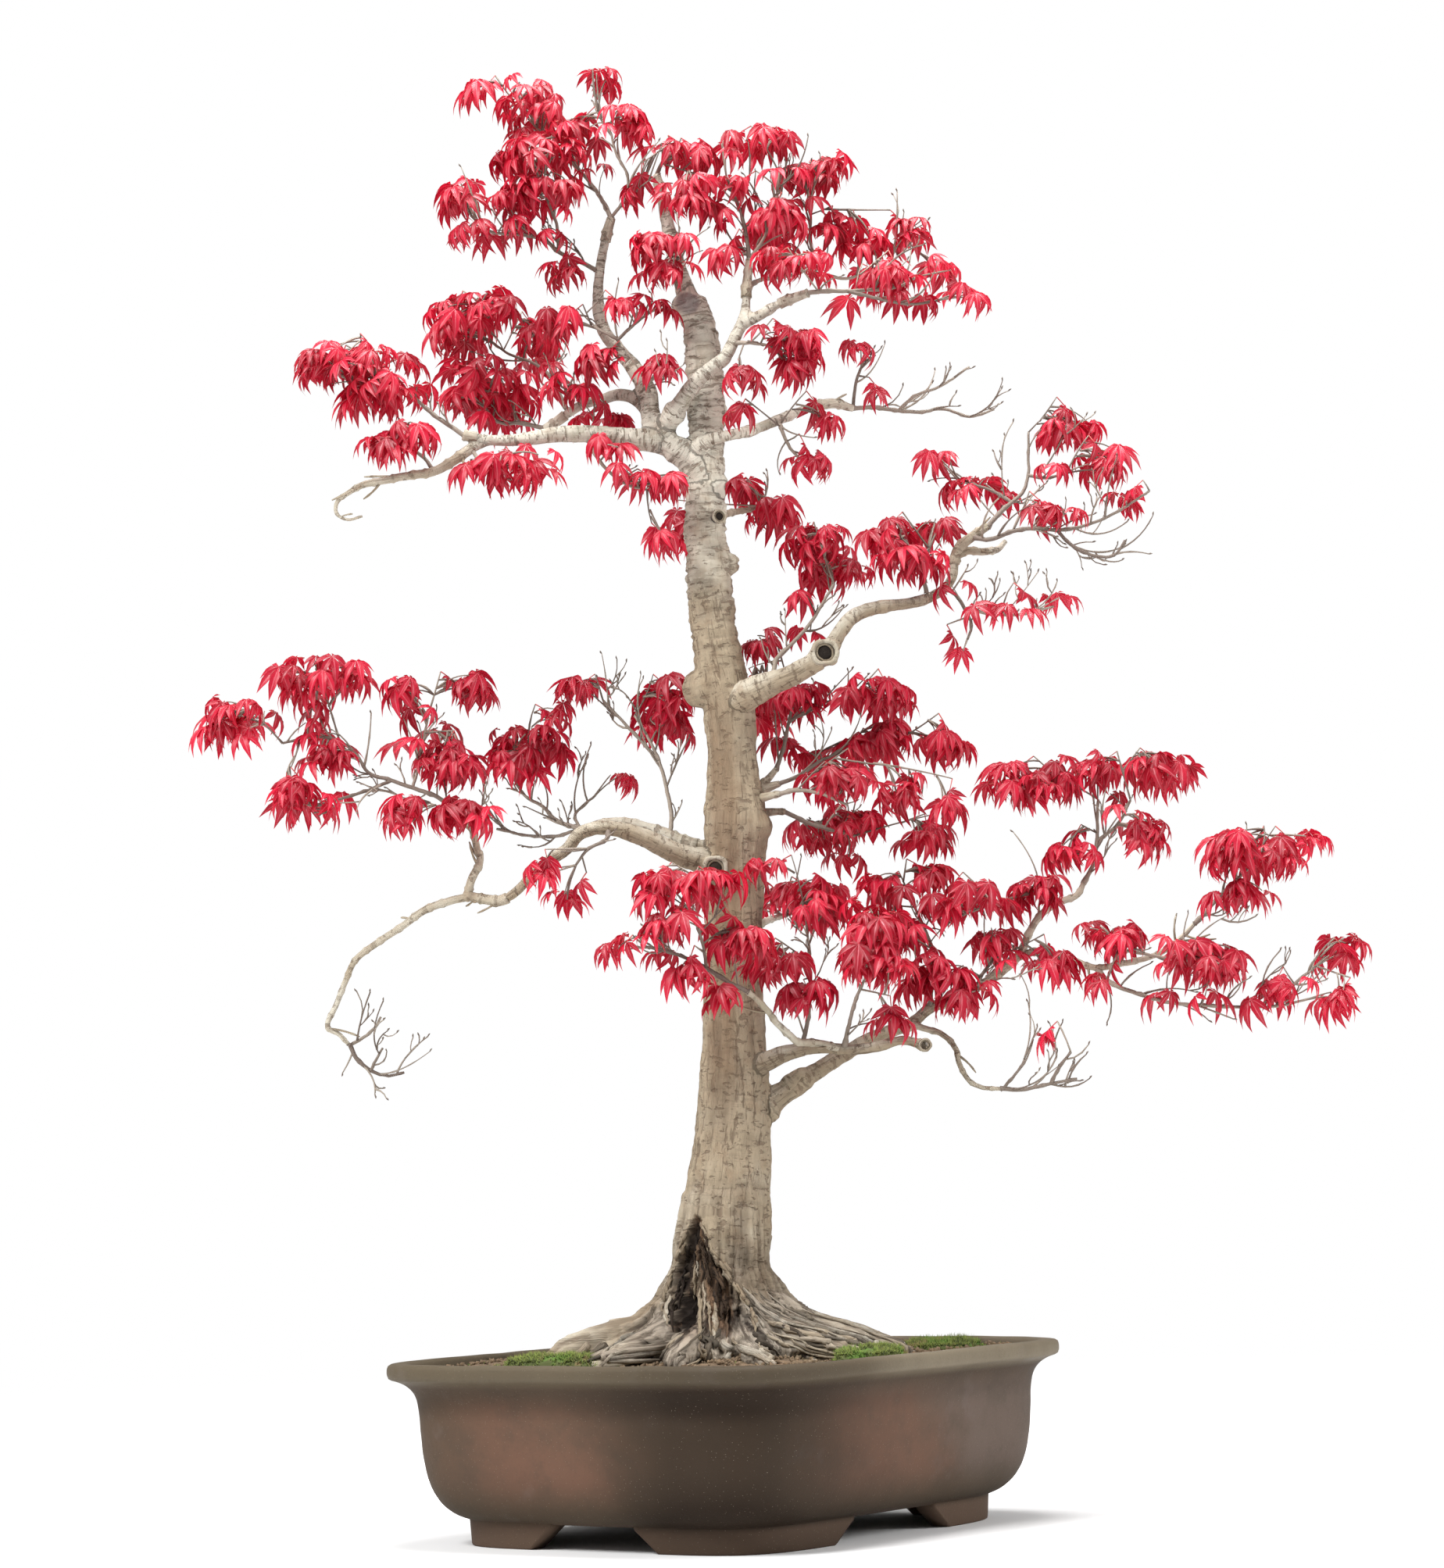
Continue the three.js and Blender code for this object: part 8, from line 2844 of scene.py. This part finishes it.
@dataclass(frozen=True)
class Bark:
    """Maple bark: pale grey above, tan to brown below, cracked, with cut scars; painted shade darkens its
    creases and paints its clefts, hole and wound hollows black, and painted light makes the limbs' upper
    sides paler.
    """

    tan: Colour = (0.34, 0.275, 0.19)
    grey: Colour = (0.62, 0.59, 0.5)
    brown: Colour = (0.19, 0.125, 0.075)
    black: Colour = (0.016, 0.011, 0.008)
    fleck: Colour = (0.25, 0.165, 0.1)
    line: Colour = (0.15, 0.115, 0.08)
    crack: Colour = (0.1, 0.068, 0.045)
    lichen: Colour = (0.3, 0.29, 0.2)
    dash: Colour = (0.16, 0.11, 0.075)
    shade: Colour = (0.1, 0.07, 0.048)
    ash: tuple[Colour, Colour] = ((0.07, 0.055, 0.043), (0.36, 0.31, 0.25))
    rot: tuple[Colour, Colour] = ((0.04, 0.022, 0.013), (0.19, 0.11, 0.062))
    cut: Colour = (0.27, 0.245, 0.235)
    pit: Colour = (0.07, 0.05, 0.035)

    def make(self) -> bpy.types.Material:
        """Returns:
            The material.
        """
        s = Shader("bark")
        where = s.place()
        bark = s.attribute("bark", "Vector").stretched(0.001, 0.001, 0.001)
        pale, dead = s.attribute("pale"), s.attribute("dead")
        dark, cut, band = s.attribute("dark"), s.attribute("cut"), s.attribute("band")
        hollow = s.attribute("hollow")
        cloud = s.noise(where, 24, 4, 0.6)
        share = pale * 0.85 + (cloud - 0.5) * 1.1
        colour = s.mix(share.step(0.1, 0.9), self.tan, self.grey)
        colour = s.mix(s.noise(where, 75, 3).step(0.52, 0.7) * 0.35, colour, self.fleck)
        crosswise = s.noise(bark.stretched(1, 1, 6), 46, 5, 0.68, 0.6)
        lengthwise = s.noise(bark.stretched(7, 7, 1), 38, 5, 0.72, 0.5)
        lines = crosswise.step(0.46, 0.39) * (0.2 + 0.8 * pale)
        cracks = lengthwise.step(0.46, 0.38) * (1 - pale * 0.7)
        colour = s.mix(lines * 0.75, colour, self.line)
        colour = s.mix(cracks * 0.75, colour, self.crack)
        moss = s.noise(where, 33, 4, 0.7).step(0.56, 0.7) * pale
        colour = s.mix(moss * 0.5, colour, self.lichen)
        dashes = s.noise(bark.stretched(1, 1, 2.6), 120, 3, 0.6).step(0.57, 0.64) * (1 - dead)
        colour = s.mix(dashes * 0.6, colour, self.dash)
        colour = s.mix(band * (0.45 + 0.5 * lengthwise), colour, self.brown)
        # Painted shade in the creases and dents.
        colour = s.mix(hollow * 0.6, colour, self.shade)
        ash = s.mix(lengthwise.step(0.4, 0.56), *self.ash)
        colour = s.mix(dead * 0.85, colour, ash)
        rot = s.mix(lengthwise.step(0.42, 0.58), *self.rot)
        colour = s.mix(s.attribute("rotten") * 0.92, colour, rot)
        colour = s.mix(cut * 0.75, colour, self.cut)
        # Black from dark: painted shade in the clefts, the hole and the wound hollows, and the darker tone of
        # some strips.
        colour = s.mix(dark, colour, self.black)
        pits = s.cells(where, 900).step(0.25, 0.1) * s.noise(where, 50, 2).step(0.5, 0.65)
        colour = s.mix(pits * 0.5, colour, self.pit)
        relief = crosswise * 0.9 * pale + lengthwise * (1 - pale * 0.6) - dashes * 0.35
        normal = s.bump(relief, 0.0028, 0.9)
        return s.finish(Base_Color=colour, Roughness=0.86, Specular_IOR_Level=0.2, Normal=normal)


@dataclass(frozen=True)
class Shootwood:
    """Thin grey-brown twigs, some of them paler."""

    grey: Colour = (0.33, 0.28, 0.225)
    brown: Colour = (0.1, 0.07, 0.056)

    def make(self) -> bpy.types.Material:
        """Returns:
            The material.
        """
        s = Shader("twig")
        tone = s.attribute("tone")
        fine = s.noise(s.place(), 700, 3)
        colour = s.mix(tone * 0.7 + fine * 0.5 - 0.1, self.brown, self.grey)
        return s.finish(Base_Color=colour, Roughness=0.75)


@dataclass(frozen=True)
class Stalk:
    """Red petioles."""

    dark: Colour = (0.36, 0.03, 0.035)
    light: Colour = (0.5, 0.09, 0.075)

    def make(self) -> bpy.types.Material:
        """Returns:
            The material.
        """
        s = Shader("petiole")
        colour = s.mix(s.attribute("tone"), self.dark, self.light)
        return s.finish(Base_Color=colour, Roughness=0.5)


@dataclass(frozen=True)
class SpringLeaf:
    """Fresh crimson leaves with paler midribs, lightened further as a painted highlight, and a soft sheen."""

    deep: Colour = (0.22, 0.002, 0.011)
    bright: Colour = (0.62, 0.014, 0.048)
    rib: Colour = (0.82, 0.24, 0.29)
    glow: Colour = (0.66, 0.009, 0.033)

    def make(self) -> bpy.types.Material:
        """Returns:
            The material.
        """
        s = Shader("leaf")
        tone, rib, reach = s.attribute("tone"), s.attribute("rib"), s.attribute("reach")
        blotch = s.noise(s.place(), 90, 3)
        colour = s.mix(tone * 0.8 + blotch * 0.4 - 0.1, self.deep, self.bright)
        # Midribs are paler pink, most near the leaf's base: partly the leaf's paler veins, partly a painted
        # highlight along the lobes' folds.
        colour = s.mix(rib.step(0.22, 0.0) * (1 - reach * 0.6) * 0.75, colour, self.rib)
        colour = s.mix(rib.step(0.85, 1.0) * 0.35, colour, self.deep)
        fine = s.noise(s.place(), 1500, 2)
        return s.finish(
            glow=self.glow, share=0.3, Base_Color=colour, Roughness=0.38,
            Specular_IOR_Level=0.42, Normal=s.bump(fine, 0.0003, 0.4))


@dataclass(frozen=True)
class ScreenPlastic:
    """Dark plastic of the drain screens."""

    dark: Colour = (0.012, 0.013, 0.012)
    light: Colour = (0.03, 0.032, 0.03)

    def make(self) -> bpy.types.Material:
        """Returns:
            The material.
        """
        s = Shader("drain_plastic")
        fine = s.noise(s.place(), 300, 3)
        colour = s.mix(fine, self.dark, self.light)
        return s.finish(Base_Color=colour, Roughness=0.55)


@dataclass(frozen=True)
class Backdrop:
    """Pale matt floor that grows as bright as the air far away."""

    matt: Colour = (0.86, 0.86, 0.86)
    air: Colour = (1.0, 1.0, 1.0)
    clear: float = 0.35
    lost: float = 2.6

    def make(self) -> bpy.types.Material:
        """Returns:
            The material.
        """
        s = Shader("pale_floor")
        where = s.place()
        far = s.node("ShaderNodeVectorMath", "Value", [where], operation="LENGTH").step(self.clear, self.lost)
        made = s.node("ShaderNodeBsdfPrincipled", "BSDF", {"Base Color": self.matt, "Roughness": 0.9})
        glow = s.node("ShaderNodeEmission", "Emission", {"Color": self.air, "Strength": 1.0})
        mixed = s.node("ShaderNodeMixShader", "Shader", [far, made, glow])
        end = s.tree.nodes.new("ShaderNodeOutputMaterial")
        s.tree.links.new(mixed.socket, end.inputs["Surface"])
        return s.material


class Finishes:
    """Every material of the plant, made once."""

    def __init__(self) -> None:
        """Makes the materials."""
        self.stoneware = Stoneware().make()
        self.soil = Earth().make()
        self.moss = Turf().make()
        self.bark = Bark().make()
        self.twig = Shootwood().make()
        self.petiole = Stalk().make()
        self.leaf = SpringLeaf().make()
        self.plastic = ScreenPlastic().make()
        self.floor = Backdrop().make()


# Studio


class Lamp(Enum):
    """Soft area lights: place in the tree's frame in metres, size in metres, power in watts."""

    KEY = ((-2.0, -1.7, 2.8), 1.5, 150.0)
    FILL = ((2.8, -1.0, 1.5), 1.6, 62.0)
    TOP = ((0.2, -0.1, 3.0), 1.4, 110.0)


@dataclass
class Studio:
    """Floor, air, lights and camera."""

    place: Placer
    camera_at: tuple = (6.0, -2858.0, 238.0)
    pitch: float = 5.3
    roll: float = -1.61
    lens: float = 95.03
    air: float = 0.42
    seen_air: float = 1.0

    def build(self, finishes: Finishes) -> None:
        """Args:
            finishes: the materials.
        """
        bpy.ops.mesh.primitive_plane_add(size=60, location=(0, 0, 0))
        floor = bpy.context.active_object
        floor.name = "floor"
        floor.data.materials.append(finishes.floor)
        for lamp in Lamp:
            self.light(lamp)
        self.sky()
        self.camera()
        bpy.context.scene.view_settings.view_transform = "Standard"

    def light(self, lamp: Lamp) -> None:
        """Adds one area light that points at the middle of the tree."""
        at, size, power = lamp.value
        data = bpy.data.lights.new(lamp.name.lower(), "AREA")
        data.shape, data.size, data.energy = "DISK", size, power
        thing = bpy.data.objects.new(data.name, data)
        bpy.context.scene.collection.objects.link(thing)
        spot = Vector(self.place.tree(np.array([at]) / MM)[0])
        aim = Vector(self.place.tree(np.array([[0, 0, 500.0]]))[0])
        thing.location = spot
        thing.rotation_euler = (aim - spot).to_track_quat("-Z", "Y").to_euler()

    def sky(self) -> None:
        """Sets even, nearly white air."""
        world = bpy.data.worlds.new("air")
        bpy.context.scene.world = world
        world.use_nodes = True
        tree = world.node_tree
        back = tree.nodes["Background"]
        back.inputs["Color"].default_value = (1.0, 1.0, 1.0, 1.0)
        ray = tree.nodes.new("ShaderNodeLightPath")
        strength = tree.nodes.new("ShaderNodeMapRange")
        strength.inputs["To Min"].default_value = self.air
        strength.inputs["To Max"].default_value = self.seen_air
        tree.links.new(ray.outputs["Is Camera Ray"], strength.inputs["Value"])
        tree.links.new(strength.outputs["Result"], back.inputs["Strength"])

    def camera(self) -> None:
        """Sets the camera in front of the tree's best side."""
        pitch, roll = math.radians(self.pitch), math.radians(self.roll)
        ahead = Vector((0, math.cos(pitch), math.sin(pitch)))
        up = Vector((0, -math.sin(pitch), math.cos(pitch)))
        right = Vector((1, 0, 0))
        across = right * math.cos(roll) + up * math.sin(roll)
        above = up * math.cos(roll) - right * math.sin(roll)
        rows = [self.place.turn @ np.array(v) for v in (across, above, -ahead)]
        matrix = Matrix([list(column) for column in zip(*rows)]).to_4x4()
        matrix.translation = Vector(self.place.tree(np.array([self.camera_at]))[0])
        data = bpy.data.cameras.new("camera")
        data.lens, data.clip_end = self.lens, 200
        thing = bpy.data.objects.new("camera", data)
        bpy.context.scene.collection.objects.link(thing)
        thing.matrix_world = matrix
        bpy.context.scene.camera = thing


def report(piece: bpy.types.Object) -> None:
    """Logs a piece's name and size."""
    sizes = " x ".join(f"{side / MM:.0f}" for side in piece.dimensions)
    log.info("%s: %d faces, %s mm", piece.name, len(piece.data.polygons), sizes)


def main() -> None:
    """Builds every sub-assembly in order and logs each piece's size."""
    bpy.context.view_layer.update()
    place, finishes = Placer(), Finishes()
    report(Pot().build(place, finishes))
    report(Ground().build(place, finishes))
    for cushion in CUSHIONS:
        report(Moss(cushion).build(place, finishes))
    for side in ("left", "right"):
        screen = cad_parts[f"drain_screen_{side}"]
        screen.data.materials.clear()
        screen.data.materials.append(finishes.plastic)
    report(Wood().build(place, finishes))
    growth = Growth(place)
    growth.grow_packed()
    FineShoots(growth).grow()
    builder = SprayBuilder(place, finishes)
    for spray in growth.sprays:
        report(builder.build(spray))
    Studio(place).build(finishes)
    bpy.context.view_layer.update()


if __name__ == "__main__":
    main()
